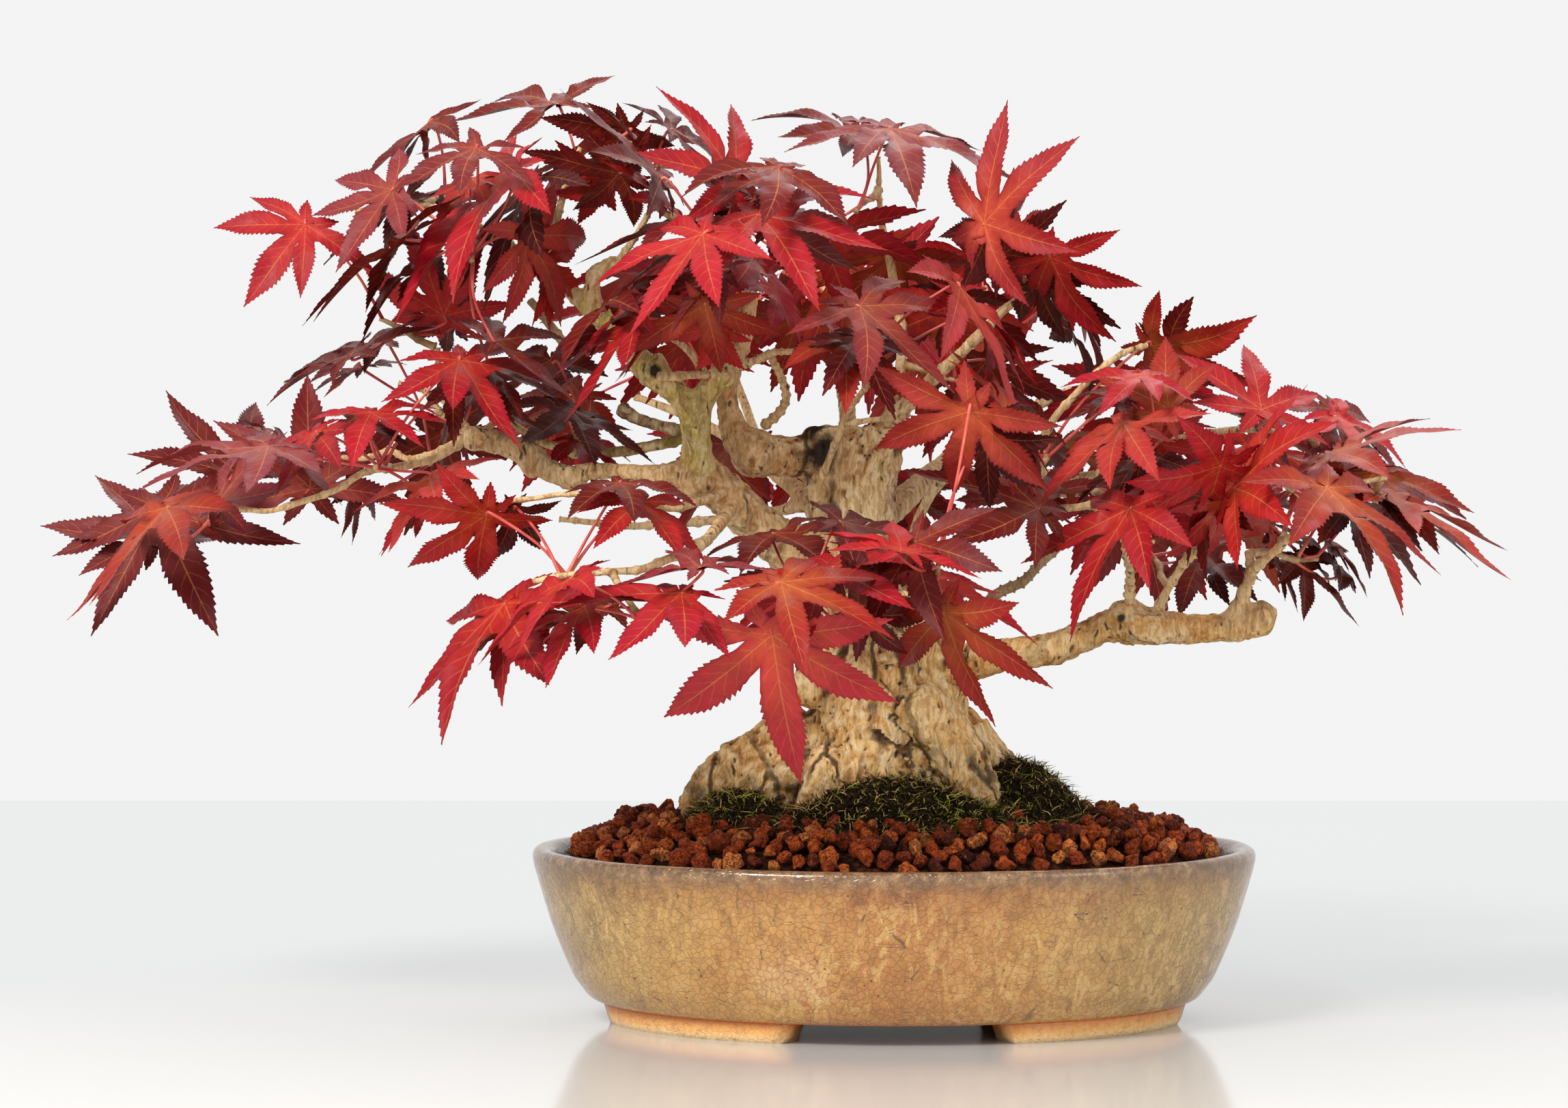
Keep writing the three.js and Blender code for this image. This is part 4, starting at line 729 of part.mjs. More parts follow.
for (const spec of SHOOTS) {
  let body = unite(shootPieces(spec, 0));
  const full = body.volume();
  body = body.subtract(treeFat);
  for (const d of done) {
    if (!meet(body.boundingBox(), d.box)) continue;
    for (const piece of d.fat) {
      if (!meet(body.boundingBox(), piece.box)) continue;
      if (body.intersect(piece.man).volume() > 1e-4) body = body.subtract(piece.man);
    }
  }
  body = biggest(body);
  if (body.volume() < full * 0.8) console.log('shoot', shoots.length + 1, 'kept', (body.volume() / full).toFixed(2));
  shoots.push(body);
  const fat = shootPieces(spec, GAP * 0.8).map((man) => ({ man, box: man.boundingBox() }));
  const b = body.boundingBox();
  done.push({ box: { min: b.min.map((v) => v - 1), max: b.max.map((v) => v + 1) }, fat });
}

// ---------- group ----------
const part = new THREE.Group();
part.name = 'bonsai_maple_in_pot';
function add(name, man, color, roughness = 0.7, metalness = 0) {
  const g = geometry(man);
  const mesh = new THREE.Mesh(g, new THREE.MeshStandardMaterial({ color, roughness, metalness }));
  mesh.name = name;
  part.add(mesh);
}
add('pot', pot, 0xc08c4c, 0.3);
['left', 'right'].forEach((s, i) => {
  const sx = i ? 1 : -1;
  add('drainage_mesh_' + s, meshPlate(sx * DRAIN_X), 0x22262a, 0.6);
  add('mesh_clip_' + s, solid(clip(sx * DRAIN_X)), 0xb0b4b8, 0.35, 0.9);
  add('tie_wire_' + s, solid(tieWire(sx * WIRE_HOLE_X)), 0x8a6a4a, 0.35, 0.9);
});
add('drainage_layer', drainage, 0x7a6a5a, 0.95);
add('soil_mass', soil, 0x4a2a1c, 0.95);
add('akadama_top_dressing', dressing, 0xa54b23, 0.9);
for (const [name, man] of Object.entries(moss)) add(name, man, 0x4c5a22, 0.95);
add('tree_wood', tree, 0xd8ba8c, 0.75);
const RED = [0xc41c34, 0xd83232, 0xd04e2c, 0xd87034, 0x781e18, 0x5c1816, 0x9e544e, 0xe06054];
SHOOTS.forEach((spec, i) => {
  const tally = new Array(RED.length).fill(0);
  for (const j of spec[2]) tally[LEAVES[j][27]]++;
  add('leaf_shoot_' + String(i + 1).padStart(2, '0'), shoots[i], RED[tally.indexOf(Math.max(...tally))], 0.45);
});
const whole = new THREE.Box3().setFromObject(part, true);
part.position.set(-(whole.min.x + whole.max.x) / 2, -(whole.min.y + whole.max.y) / 2, 0);
export default part;
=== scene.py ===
# Bonsai Japanese maple in an oval glazed pot: looks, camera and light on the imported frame.
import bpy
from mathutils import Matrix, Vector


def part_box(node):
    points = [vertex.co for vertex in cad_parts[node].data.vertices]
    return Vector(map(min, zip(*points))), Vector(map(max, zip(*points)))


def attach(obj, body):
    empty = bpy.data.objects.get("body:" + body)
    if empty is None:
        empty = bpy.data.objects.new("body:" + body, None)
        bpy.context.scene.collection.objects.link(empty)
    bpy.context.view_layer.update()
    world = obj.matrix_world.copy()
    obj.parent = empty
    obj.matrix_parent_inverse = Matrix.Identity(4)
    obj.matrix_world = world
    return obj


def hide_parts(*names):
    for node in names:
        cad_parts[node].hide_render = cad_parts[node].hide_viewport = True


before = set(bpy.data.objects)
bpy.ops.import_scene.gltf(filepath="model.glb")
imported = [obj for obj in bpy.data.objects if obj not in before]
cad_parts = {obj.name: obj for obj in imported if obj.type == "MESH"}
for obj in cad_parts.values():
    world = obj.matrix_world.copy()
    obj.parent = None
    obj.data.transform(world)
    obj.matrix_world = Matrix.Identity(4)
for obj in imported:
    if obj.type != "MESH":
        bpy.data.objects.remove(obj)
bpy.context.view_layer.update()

import math
import bpy
import numpy as np
from mathutils import Vector, noise
from mathutils.kdtree import KDTree

RNG = np.random.default_rng(2024)
P_LO, P_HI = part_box("pot")
SX = (P_LO[0] + P_HI[0]) / 2.0       # the pot's centre in the row frame, metres
SY = (P_LO[1] + P_HI[1]) / 2.0
RATIO = 0.78                          # pot width / length

# millimetres about the pot's centre
BRANCHES = [
  ("limb_l", [(-11.2,-2,112.1,6.96), (-27.8,-5,120.9,6.25), (-34.7,-8,126.2,5.71), (-43.3,-11,134.6,5.53), (-49.8,-13,138.9,5)]),
  ("limb_v", [(-49.8,-13,138.9,4.66), (-50.1,-14,145.3,3.96), (-50.1,-14,148.8,3.79), (-50.8,-14,155.6,4.65)]),
  ("limb_lu", [(-50.8,-14,155.6,3.45), (-56.2,-13,160.8,3.28), (-62.2,-12,165.8,3.8), (-66.6,-11,170.3,3.11), (-71.8,-9,176.3,2.94), (-76.2,-8,180.7,2.94), (-81.4,-6,185,2.25), (-88.4,-5,189.4,2.08), (-93.2,-5,194,2.6)]),
  ("stub_u", [(-75.8,-8,179.5,2.6), (-76.5,-8,185.8,2.08), (-75.8,-8,190.2,2.25), (-70.9,-9,192.2,2.08)]),
  ("limb_ru", [(-50.8,-14,155.6,3.45), (-45.8,-14,162.2,3.1), (-42.4,-14,165.1,3.27)]),
  ("limb2", [(-18.2,2,143,5.58), (-27.8,0,143.7,5.4), (-35.6,-2,144.3,5.22), (-40.3,-2,149.5,4), (-42.4,-1,156.4,2.96), (-42.4,0,163.4,2.61), (-40,4,170.4,2.8), (-37.9,6,178.2,2.62), (-36.8,6,190.5,1.92), (-39.1,2,204.3,1.4), (-43.4,0,215.5,0.87)]),
  ("hor_l", [(-49.8,-13,138.9,4.66), (-56.2,-13,138.9,3.79), (-60.5,-12,138.9,2.93), (-70.9,-11,139.9,2.16), (-77.5,-10,140.1,2.42), (-81.7,-10,138.3,2.94), (-88,-9,140.4,2.94), (-92.2,-8,143.8,3.29), (-98.7,-8,146.6,3.12), (-105.1,-8,148.3,3.12), (-109.5,-8,148.5,3.12)]),
  ("knot_l", [(-91.2,-9,141.8,2.25), (-92.7,-11,139.1,2.07)]),
  ("tw_l1", [(-108.4,-8,148.5,1.38), (-116,-8,143.5,0.95), (-123,-8,141.4,0.87), (-133.4,-7,140,0.87), (-140.4,-7,135.7,0.78), (-147.3,-7,133.1,0.78), (-159.5,-7,130,0.69), (-171.5,-8,131,0.61)]),
  ("tw_l2", [(-108.4,-8,148.5,1.21), (-116.4,-2,145.1,0.87), (-123.7,2,143,0.79), (-129.1,4,145.1,0.79), (-136.2,5,142.9,0.7), (-144.6,2,143.7,0.61)]),
  ("tw_l3", [(-108.4,-8,149.4,1.21), (-114.2,-9,153.9,0.95), (-119.3,-10,160.3,0.78), (-125.5,-8,162.5,0.61)]),
  ("tw_l4", [(-106.5,-8,148.7,1.13), (-112.7,-6,155.6,0.95), (-115.9,-4,163.4,0.78), (-116.2,-5,171.2,0.69)]),
  ("ol_b", [(-53,0,148.6,1.74), (-60.9,4,146.4,1.75), (-76.1,12,144.2,1.58), (-89.7,22,146.6,1.06), (-102,36,153.6,0.81)]),
  ("dead", [(-53.8,-6,150.1,1.73), (-64.3,-2,152.8,1.74), (-70.4,0,156.2,2.26)]),
  ("tw_c1", [(-42.4,-14,165.1,1.21), (-51.8,-20,164.1,1.03), (-59.4,-24,163.9,1.2)]),
  ("tw_c2", [(-42.4,-14,165.1,1.21), (-34.6,-22,168,0.94), (-31.2,-30,169.7,0.85), (-26.1,-36,170.3,0.68)]),
  ("tw_c3", [(-33.3,-2,151.4,1.22), (-27.8,-10,157.3,1.04), (-29,-18,164.2,0.94), (-31.2,-26,169.3,0.77)]),
  ("tw_c4", [(-46.7,-14,162.5,1.12), (-53.4,-22,171.9,0.86), (-60.1,-28,176.2,0.68)]),
  ("tw_f1", [(-20.5,-9,131.1,1.04), (-17.1,-14,141.9,0.86), (-13.2,-20,152.2,0.86), (-10.7,-26,157.4,0.77), (-7.4,-34,161.7,0.68)]),
  ("tw_f2", [(-13.2,-20,152.2,0.77), (-4.7,-26,153.2,0.68), (2.8,-34,154.4,0.68)]),
  ("top_r", [(-6.8,3,145.1,3.84), (1.9,2,155.5,2.62), (8.8,0,162.5,2.09), (19.1,-4,172.1,1.56), (28.4,-8,181.5,1.13), (37.9,-10,186.7,0.78)]),
  ("top_r2", [(-1.6,4,151.2,2.1), (2.2,14,169.5,1.58), (0.5,18,187.2,1.24), (-3.1,14,204.7,0.88), (-3.6,10,211,0.7), (-4.2,6,221,0.55)]),
  ("top_b", [(-12,6,141.5,2.97), (-11.7,28,155.4,2.31), (-15.1,45,173.3,1.62), (-18.7,55,191.5,1.18), (-22.3,60,206.1,0.82)]),
  ("up_l", [(-93.2,-5,194,1.74), (-102.1,-8,199.7,1.21), (-112.3,-10,205.6,0.86), (-122.8,-8,207.4,0.69), (-136.8,-6,205.8,0.61)]),
  ("up_l2", [(-88.4,-5,189.4,1.3), (-85.9,-3,202.4,1.04), (-83.3,-2,214.6,0.78), (-79.8,-2,222.4,0.61)]),
  ("up_l3", [(-70.9,-9,192.2,1.04), (-63.9,-12,202.1,0.78), (-60.4,-14,210.7,0.6), (-62.1,-14,218.4,0.55)]),
  ("grey_l", [(-84.8,0,172.9,1.22), (-88.7,0,178.2,1.22), (-93.1,2,183.4,1.05)]),
  ("r_low", [(3.7,4,88.2,7.86), (19.3,-2,91.2,5.22), (29.6,-5,93.4,4.34), (39.9,-7,94.9,4.33), (46.8,-8,97.6,3.98), (53.7,-8,100.5,3.98), (58.9,-8,100.9,5.02), (65.8,-8,100.5,4.5), (74.6,-7,99.9,3.81), (85.1,-6,100.1,3.81), (90.3,-6,101.1,3.99), (94.8,-6,102.2,3.99)]),
  ("r_k", [(58.9,-8,102.8,2.6), (57.2,-8,105.7,1.73)]),
  ("r_t1", [(85.1,-6,102.7,2.25), (88.7,-8,108.8,1.73), (90.9,-10,115,1.3), (97.9,-16,121.8,0.95), (104.8,-24,129.7,0.77), (112.9,-28,136.1,0.68), (122.7,-24,138.6,0.6)]),
  ("r_t2", [(90.2,-10,114.5,1.12), (90.2,-6,119.2,1.21)]),
  ("r_t3", [(69.5,-10,110.7,1.04), (73,-16,117.5,1.12), (75.2,-20,120,1.2), (80.7,-26,124.1,0.77), (82.7,-32,132,0.68)]),
  ("r_t3b", [(65.8,-8,102.8,1.38), (69.5,-10,110.7,1.04)]),
  ("r_t4", [(59.8,-8,104.5,1.73), (59.3,-14,110.8,1.21), (57.8,-24,118.1,0.94), (55.5,-32,125.2,0.76), (48.6,-34,132,0.68)]),
  ("r_up", [(-5.9,6,120.5,2.97), (3.6,0,122.5,1.74), (7.3,-4,130.4,1.56), (10.7,-7,136.2,1.56), (15.5,-9,138.8,1.56), (32.7,-11,140.1,1.55), (43,-12,138.7,1.38), (53.2,-14,140.1,1.21), (65.1,-16,147.1,1.03), (77,-18,149.7,0.86), (90.7,-18,150.5,0.77), (105.1,-12,148.7,0.6)]),
  ("r_up2", [(32.7,-11,140.1,1.12), (39.4,-14,152.2,0.95), (47.9,-16,162.5,0.86), (56.5,-16,169.4,0.77), (63.6,-12,172,0.69)]),
  ("r_grey", [(19.6,8,97.6,2.28), (25.9,12,107.1,1.49), (33.9,14,111.4,1.32), (41.2,18,118.3,1.06), (52.4,28,126.9,0.8)]),
  ("f_low", [(-3.6,-14,103.9,2.93), (-7.5,-40,108.5,2.03), (-12.8,-62,113.1,1.33), (-21.2,-74,112.9,0.9), (-27.8,-80,109.4,0.65)]),
  ("f_low2", [(-7.5,-40,108.5,1.52), (0.6,-58,112.6,1.08), (7.7,-70,110.6,0.74)]),
  ("lf", [(-40.7,-14,132.4,2.24), (-47.3,-34,123.5,1.53), (-55.5,-48,119.8,1.17), (-64.4,-58,116.8,0.92), (-75.9,-62,116.1,0.75), (-89.3,-60,114.4,0.66)]),
  ("lf2", [(-43.2,-16,134.7,1.38), (-55.9,-30,131.1,0.94), (-65,-38,134.1,0.76), (-78.4,-40,135.2,0.68), (-97,-40,133,0.59)]),
  ("b_l", [(-12,8,120.5,4.38), (-20.6,40,130.2,3.05), (-33.2,66,140.5,2.01), (-50,84,151.3,1.39), (-68.8,94,158.7,0.93)]),
  ("b_l2", [(-33.2,66,140.5,1.46), (-40.7,84,162.5,1.11), (-46.3,90,182.9,0.84)]),
  ("b_l3", [(-20.6,40,130.2,1.8), (-44.2,66,125.9,1.37), (-68.4,80,123.6,1.02), (-89,84,125.4,0.74)]),
  ("b_r", [(-3.2,10,127.4,4.04), (11.8,42,139.1,2.88), (27.1,64,149.7,2.01), (46.1,78,158.8,1.38), (66.8,84,162.5,0.93)]),
  ("b_r2", [(27.1,64,149.7,1.46), (29.6,80,169.8,1.11), (26.1,86,188.4,0.84)]),
  ("b_r3", [(11.8,42,139.1,1.8), (33,72,133.1,1.38), (56,88,132.7,1.02), (78.4,90,136.4,0.75)]),
  ("b_c", [(-10.1,14,109.7,3.52), (-6,50,113.6,2.35), (-1.8,80,116.2,1.48), (2.4,102,119.2,0.94)])
]
TRUNK = [
  [33, -4, 27, 0], [46, -4, 27.5, 0], [54, -3, 25.5, 0], [60, -3, 22.6, 0], [67, -3.5, 20.6, 0], [72.5, -2.4, 19.9, 0],
  [79.5, -1.4, 19.8, 0], [88.5, -0.6, 19.2, 0], [97, -1.6, 17.6, 0], [107, -5, 15.8, 0], [116, -8.8, 14, 0], [123, -10.4, 12.2, 0],
  [128.5, -10.8, 10.8, 0], [135.5, -11.4, 11.4, 1], [141, -11.2, 12.6, 1], [147.5, -11, 12.9, 1], [151, -11.3, 11.8, 1],
]
ROOTS = [
  [[-22, 0, 76, 7], [-33, -2, 69, 6.2], [-42, -3, 64.5, 5.4], [-48.5, -4, 58.5, 4.6], [-53, -5, 50, 3.6], [-56, -6, 42, 2.4]],
  [[4, -12, 82, 8], [14, -15, 71, 7.6], [19.5, -17, 61, 6.4], [23, -21, 53, 4.8], [26, -25, 44, 3]],
  [[-16, -12, 66, 7], [-20, -21, 57, 5], [-24, -28, 47, 3]],
  [[-2, -16, 60, 5], [-14, -24, 56.5, 3], [-21, -27, 53, 2.2], [-26, -29, 47, 1.6]],
  [[14, 8, 74, 8], [27, 16, 62, 6], [36, 24, 52, 4.4], [42, 29, 43, 2.6]],
  [[-14, 10, 74, 8], [-26, 19, 62, 6], [-34, 28, 52, 4.2], [-40, 33, 43, 2.4]],
  [[18, 0, 72, 7.5], [27, -2, 62, 5.5], [37, -4, 53, 4], [46, -6, 44, 2.6]],
  [[-20, -4, 66, 8], [-30, -5, 60, 8], [-38, -6, 54, 7.4], [-46, -8, 46, 5]],
  [[0, 14, 70, 8], [1, 25, 58, 5.5], [2, 34, 48, 3.2]],
]
KNOBS = [(-49.5, -13, 138.6, 6.2), (-50.8, -14, 156, 4.6), (-81.7, -10, 138.3, 3.4), (-92.2, -8, 143.7, 3.9), (-105.6, -8, 148.3, 3.3), (58.9, -8, 102.2, 5.6), (65.8, -8, 100.5, 4.9), (-61.4, -13, 165.5, 4.6), (-71.3, -9, 192.2, 2.6), (-42.4, -14, 164.9, 3.8), (-35.6, -3, 144.3, 6.2), (92.9, -6, 102.7, 4.4), (88.7, -8, 109.2, 2.2), (-93.3, -5, 194, 2.8), (90.2, -10, 114.8, 1.9), (0.2, 2, 148.6, 4), (-22.6, -10, 84.7, 5), (12.1, -8, 86.3, 6), (-1.9, -14, 93.6, 5)]
# painted shade: dark spots where the hollows are and at the knots, (x, y, z, radius) in mm
SHADED_HOLLOWS = [(-20.5, -9, 144.9, 7), (2.6, -6, 144.5, 3.4), (-60, -18, 165.4, 2.6), (-12.2, -12, 148.7, 2.4), (-19.1, -2, 148.6, 5), (56.8, -14, 103.1, 2), (67.1, -14, 103.6, 1.8), (-92.4, -16, 139.5, 1.8), (84.5, -13, 101.3, 1.8), (95.1, -6, 102.2, 0.1)]
LEAVES = [
  (-148.1,-20,202.1,0.04,-0.84,0.54,-14.8,-7.7,-20.8,-0.5,-9,-18.7,-23.3,1.9,-0.9,17.5,-2.3,-11.5,-14.9,8.6,7.2,8.2,2.5,0.8,0,5.7,6.4,0),
  (-126.3,-21,210.7,-0.28,-0.7,0.66,-20.9,6.2,-6.3,-13.5,-7.9,-20.9,-15.9,17.3,3.1,3.9,-10.8,-14.1,0.7,14.3,11.1,6.5,-3.6,-6.9,6.3,3.7,4.5,6),
  (-104,-42,220.2,-0.06,-0.51,0.86,-2.9,-16.8,-11.8,14.4,-11.3,-9.5,-20.4,-7.8,-11,12.3,0.7,0.3,-15.2,4.2,-1.4,3,5,0.2,-2,6.1,5.4,6),
  (-119,8,229.1,-0.61,-0.26,0.74,-8.8,-17.2,-15.6,9.1,-18.3,-6.3,-18.2,-1.9,-16.1,13.8,-6.4,5.6,-1.1,7.6,-12.1,5.8,2.8,4.1,-7.2,10,-11,4),
  (-95.9,-35,215.3,-0.59,-0.43,0.68,-29.3,5.1,-38.8,-12.7,-22,-33.6,-25.4,30,-20.9,11.2,-24.1,-12,-1.9,27.7,8.9,9,-7.3,2,7.7,7.8,8.3,0),
  (-92,-29,198.9,0.76,-0.65,0.03,7.5,16.1,-22.5,13.7,22.6,-0.1,-6.3,-1.2,-22,6.4,13.1,14.1,-10.6,-10.6,-14.3,-1.6,0.9,9.4,-11.2,-6,1.4,7),
  (-123.1,-27,198.3,-0.63,0.1,0.77,-20.1,-25.2,-21,2.6,-34.5,-0.4,-25.6,3.6,-21.8,16.6,-17.9,10.5,-11.1,20.1,-18.2,10.8,0.9,6.2,3.5,11.9,-1.2,4),
  (-86.4,9,233.7,-0.13,-0.37,0.92,-18.3,21.9,1.3,-28.2,1.7,-4.4,1.9,25.8,4.2,-13.2,-12.1,-10.1,14.7,11.9,8.1,-4.4,-8.3,-1.2,9.6,-1.3,-0.9,4),
  (-68.2,-1,226.6,0.21,-0.74,-0.64,-14.8,11.3,-12.6,2.7,16.4,-13,-22.1,-1,3.1,12.2,10,-3.6,-9.9,-7.3,6.8,4.5,1.1,5.4,-2.1,-4,6.8,4),
  (-69.3,-21,215,-0.05,-0.74,-0.67,-25,1.5,5.5,-12.3,12.6,-8.9,-10.1,-8.9,11.7,3.1,12.7,-13.2,8.2,-8.8,11.7,9.1,4.3,-3.8,6.5,-1.9,3.4,4),
  (-58.6,-32,212.9,0.78,-0.2,0.59,-25,-5.4,22.3,-17.5,-26.1,5.8,-15.6,20.3,19.1,-3.1,-21.9,-9.7,-0.8,24.3,2.8,2.9,-4.6,-9.3,5.4,8.8,-6.3,4),
  (-56.7,6,227.1,0.5,-0.31,0.81,10.5,19.9,-4.9,-4.4,19.2,7.2,13.1,5.6,-10.2,-13,6.3,7.2,7.2,-7.1,-14.2,-6.9,-2.7,1.7,-0.5,-6.6,-3.7,5),
  (-29.3,-52,215.1,0.1,-0.43,0.9,-4.2,-22.9,-15.3,16.7,-14.7,-14.6,-23.6,-11.7,-7.9,13.7,1.4,-5.5,-20.2,4.5,-2.2,6.5,6.8,0.8,-4.8,7.7,2.6,4),
  (-39.9,-35,212.2,0.66,-0.6,0.45,-20.1,3.9,23.8,-24.8,-14.5,6.8,-1.7,21.2,20.4,-12.4,-15.7,-10,10.2,19.9,3.5,0,-4.4,-10.8,6.3,6,-5.8,0),
  (-8.8,0,226.3,0.2,-0.29,0.94,-27.7,7.2,3.1,-20.9,-11.9,-1.9,-5.8,21.4,4.3,-4.6,-16.1,-7.2,4.5,17.1,2.8,4.4,-6,-4.3,7.6,3.6,-1.9,4),
  (-1.4,-12,226.5,0.2,-0.29,0.94,5.9,-32.2,-21.2,33.3,-7.2,-14.2,-9.8,-30.5,-11.1,24,15.1,-5.1,-26.8,-8.2,-6.4,3.2,13.2,1.2,-11.8,6.4,2.2,6),
  (-34.3,-54,203.5,-0.06,-0.51,0.86,31.4,-10.8,-9,29.5,13.2,3.8,14.7,-24.4,-24,8.9,21.6,8.8,-12.2,-15.9,-15.7,-5,10.1,3.4,-11.2,-0.9,-3.4,0),
  (-47.3,-31,204.6,-0.26,-0.2,0.94,-22.1,30.3,-6.5,-33,2.9,-12.8,7.2,34.6,3.5,-17.2,-16.7,-12.8,22.3,14.8,4.7,1,-12,-4.5,12.5,-2.8,0.6,4),
  (-47.6,-65,198.4,-0.39,-0.57,0.72,-17.9,-8.6,-24.7,4,-20.6,-18,-26.8,12.1,-12.4,16.9,-13.5,-6.6,-11.2,19,1.8,9.1,-0.7,0.5,2,8.8,5.7,0),
  (-35.8,-28,193.5,0.68,-0.34,0.65,-7.5,-22.5,-9.9,9.5,-12.6,-19.1,-18.9,-13.7,6.6,12.3,3,-14.5,-14.4,2,11.5,4.3,7,-2.9,-3.1,6.7,4.7,0),
  (-47.4,-55,181.5,-0.13,-0.85,-0.51,3.8,14.1,-16.7,18.9,7.1,-7.5,-18.5,11.9,-11.8,14.3,-0.9,3,-11.2,3.8,2.3,4.2,-2.7,5.7,-4.8,-1.3,5.7,2),
  (-9.7,-60,181,0.24,-0.49,0.84,22.8,-10.9,-21.1,26.8,11.1,-2.7,0.7,-22.6,-19.9,11.8,19.4,6.5,-18.1,-14.2,-7.1,-7.3,9.3,5.7,-10.6,-0.5,0.8,6),
  (-14.5,-50,172.9,0.21,-0.64,0.74,18.8,-5.8,-15.9,21.5,9.8,-2.8,1.3,-15,-18.4,8.5,14.7,6.5,-13.9,-10,-7.5,-2.5,6.7,4.8,-6.5,-0.5,-1.2,2),
  (16.5,-75,155.5,-0.32,-0.83,-0.45,-3,20.2,-20.7,19.5,9.2,-19.2,-22.5,17.9,-9.2,22.2,-2.4,-3.5,-23,6.3,11.3,4.9,-4.2,7.1,-1.3,-1.6,12.2,7),
  (26.4,-55,155.2,0.78,-0.2,0.59,-2.5,27.8,7.3,-15.1,13.2,17.5,9.2,21,-14.3,-15.1,-4.9,12.9,10.8,2.9,-16,-5.1,-8,1.5,2.1,-5.8,-7.4,2),
  (21.9,-25,202.1,-0.74,-0.67,0.1,23.1,-14.2,21.2,6.1,5.5,31.3,22.9,-20.2,-7.5,-7.5,16.6,16.8,10.9,-9.1,-20.8,-7.9,9.8,-3.8,-2.7,2.3,-11.4,7),
  (24.5,-6,203.7,0.52,-0.82,0.25,7.3,2.6,-21,15.7,11.7,-7.7,-8.1,-6.7,-18.3,9.5,11.3,6.6,-13.8,-7.1,-4.6,0.3,3.8,5.5,-4.8,-1.6,3.6,4),
  (38,-30,193.8,-0.4,-0.73,-0.55,17.4,10.1,-21.1,22.8,-4,-7.5,-2.9,18.2,-12.6,17,-9.4,6.5,-12.8,12.7,-2.3,0.7,-4.2,7.5,-7,2.3,4.5,0),
  (44.3,-3,185.1,0.85,-0.03,0.53,8.7,19.9,-23.3,-2.6,29.6,-1.7,11.1,-5.5,-27.2,-10.9,16.4,11.7,3.1,-18.6,-12.9,-7.1,-0.1,8.2,-3,-10.3,1,4),
  (65.4,0,171.9,-0.4,-0.73,-0.55,28.7,-1.6,-11.3,25.8,-13.2,7.7,12.6,13.4,-19.3,1.4,-10.6,13.9,2.6,15.9,-9.4,-4,-1.4,5.8,-7.3,6.3,-0.3,2),
  (14.9,-51,185.9,0.78,-0.2,0.59,14.4,-10.3,-32.8,18.4,18.8,-21.4,-5.7,-30.4,-18.2,2.5,26.1,-7.7,-13.6,-22.9,3.1,-4,10.6,5.6,-9.3,-3.7,7.8,7),
  (60.6,-43,164.4,0.01,-0.28,0.96,-12,-15.4,-9.9,2.5,-18.5,-6.9,-20.6,0.5,-3.2,11.8,-7.7,-6.6,-11.4,11.2,0.7,7.3,2,-0.7,0.1,7.5,0.9,0),
  (55,-50,152.5,-0.45,-0.43,0.78,-4.3,-19.2,-15.7,7.7,-21,-14.2,-20.8,-0.9,-20.4,21.1,-7.3,2.5,-13.7,12.7,-8,13.1,3.4,-4.5,-2,9.2,1.9,7),
  (67,-39,155.8,-0.26,-0.83,0.5,-17.9,15.7,8.9,-21.4,5.8,-8.9,0.4,15.4,18.3,-9,-3.1,-15.7,12.8,6.4,11.4,1.9,-3.6,-7.6,8.3,-0.8,0,2),
  (90.9,-29,155.6,0.38,-0.64,0.67,-2.5,23.1,16.5,-20.9,9.2,14.1,16.6,20.6,3.8,-18.2,-4.9,1.9,17.9,6.5,-9.2,-6.3,-6.1,-5.8,5.6,-2.8,-6.6,0),
  (113.9,10,153.6,0.35,-0.34,0.87,17,-5.9,-13.1,16,10.8,-7.4,4.2,-17.2,-8.6,2.8,15.2,4.6,-8.9,-12.7,-4.2,-1.2,6.4,4.6,-9.3,-1.8,-1.1,0),
  (113.9,22,155.4,0.54,-0.44,0.71,9.8,-14.4,-22.9,19.8,6,-17.4,-9.6,-22,-12.4,12.1,16.4,-3.6,-17.7,-11.4,1.4,0.1,9.1,3.4,-8,1,4.8,6),
  (108.9,-17,144.5,-0.4,-0.13,0.91,31.9,-12.6,6.1,27.6,15.2,8.7,12.4,-29.9,-6,8.1,23.8,0.7,-7.9,-21.1,-10.9,-4.3,10.4,-2.6,-9.4,-2.7,-6.6,2),
  (104.7,-55,136.7,0.54,-0.44,0.71,16.2,-18.8,-30.4,28.9,7.8,-21.7,-12.3,-28.7,-13.3,13,21.4,-1.2,-22.4,-14.9,1.8,1,11.9,5.8,-10.7,1.3,3,2),
  (123.3,2,139.8,0.1,-0.43,0.9,-18.1,-28.3,-18.1,12.7,-26.5,-20.4,-35,-5.9,-5.1,24.2,-6.5,-10.5,-23.1,14.1,4.5,12,6.1,-1.7,-2.5,12.1,3.8,2),
  (122.9,-18,134.5,0.38,-0.17,0.91,34.2,19.5,-15.1,10.8,37.2,-2.9,30.4,-12.9,-21.3,-14.7,24.5,5.5,5.7,-25.3,-9.4,-13,2.7,3.5,-6.7,-11.9,-1.8,2),
  (82.9,-45,136.5,-0.82,-0.3,0.48,23.4,-19.1,16.5,18.7,7,25.5,11.8,-28.9,-8.9,5,20.3,13.3,-0.7,-15.3,-19.7,-3.5,11.3,0,-4.4,0.9,-10.8,1),
  (78.9,-50,142,0.47,-0.65,-0.6,-24.3,7,-17.1,-6.2,22.1,-18.8,-24.6,-11.5,-3.7,17.2,18.8,-2.9,-11.9,-14.7,12.4,10.6,5,5.5,1.7,-4.8,9.4,0),
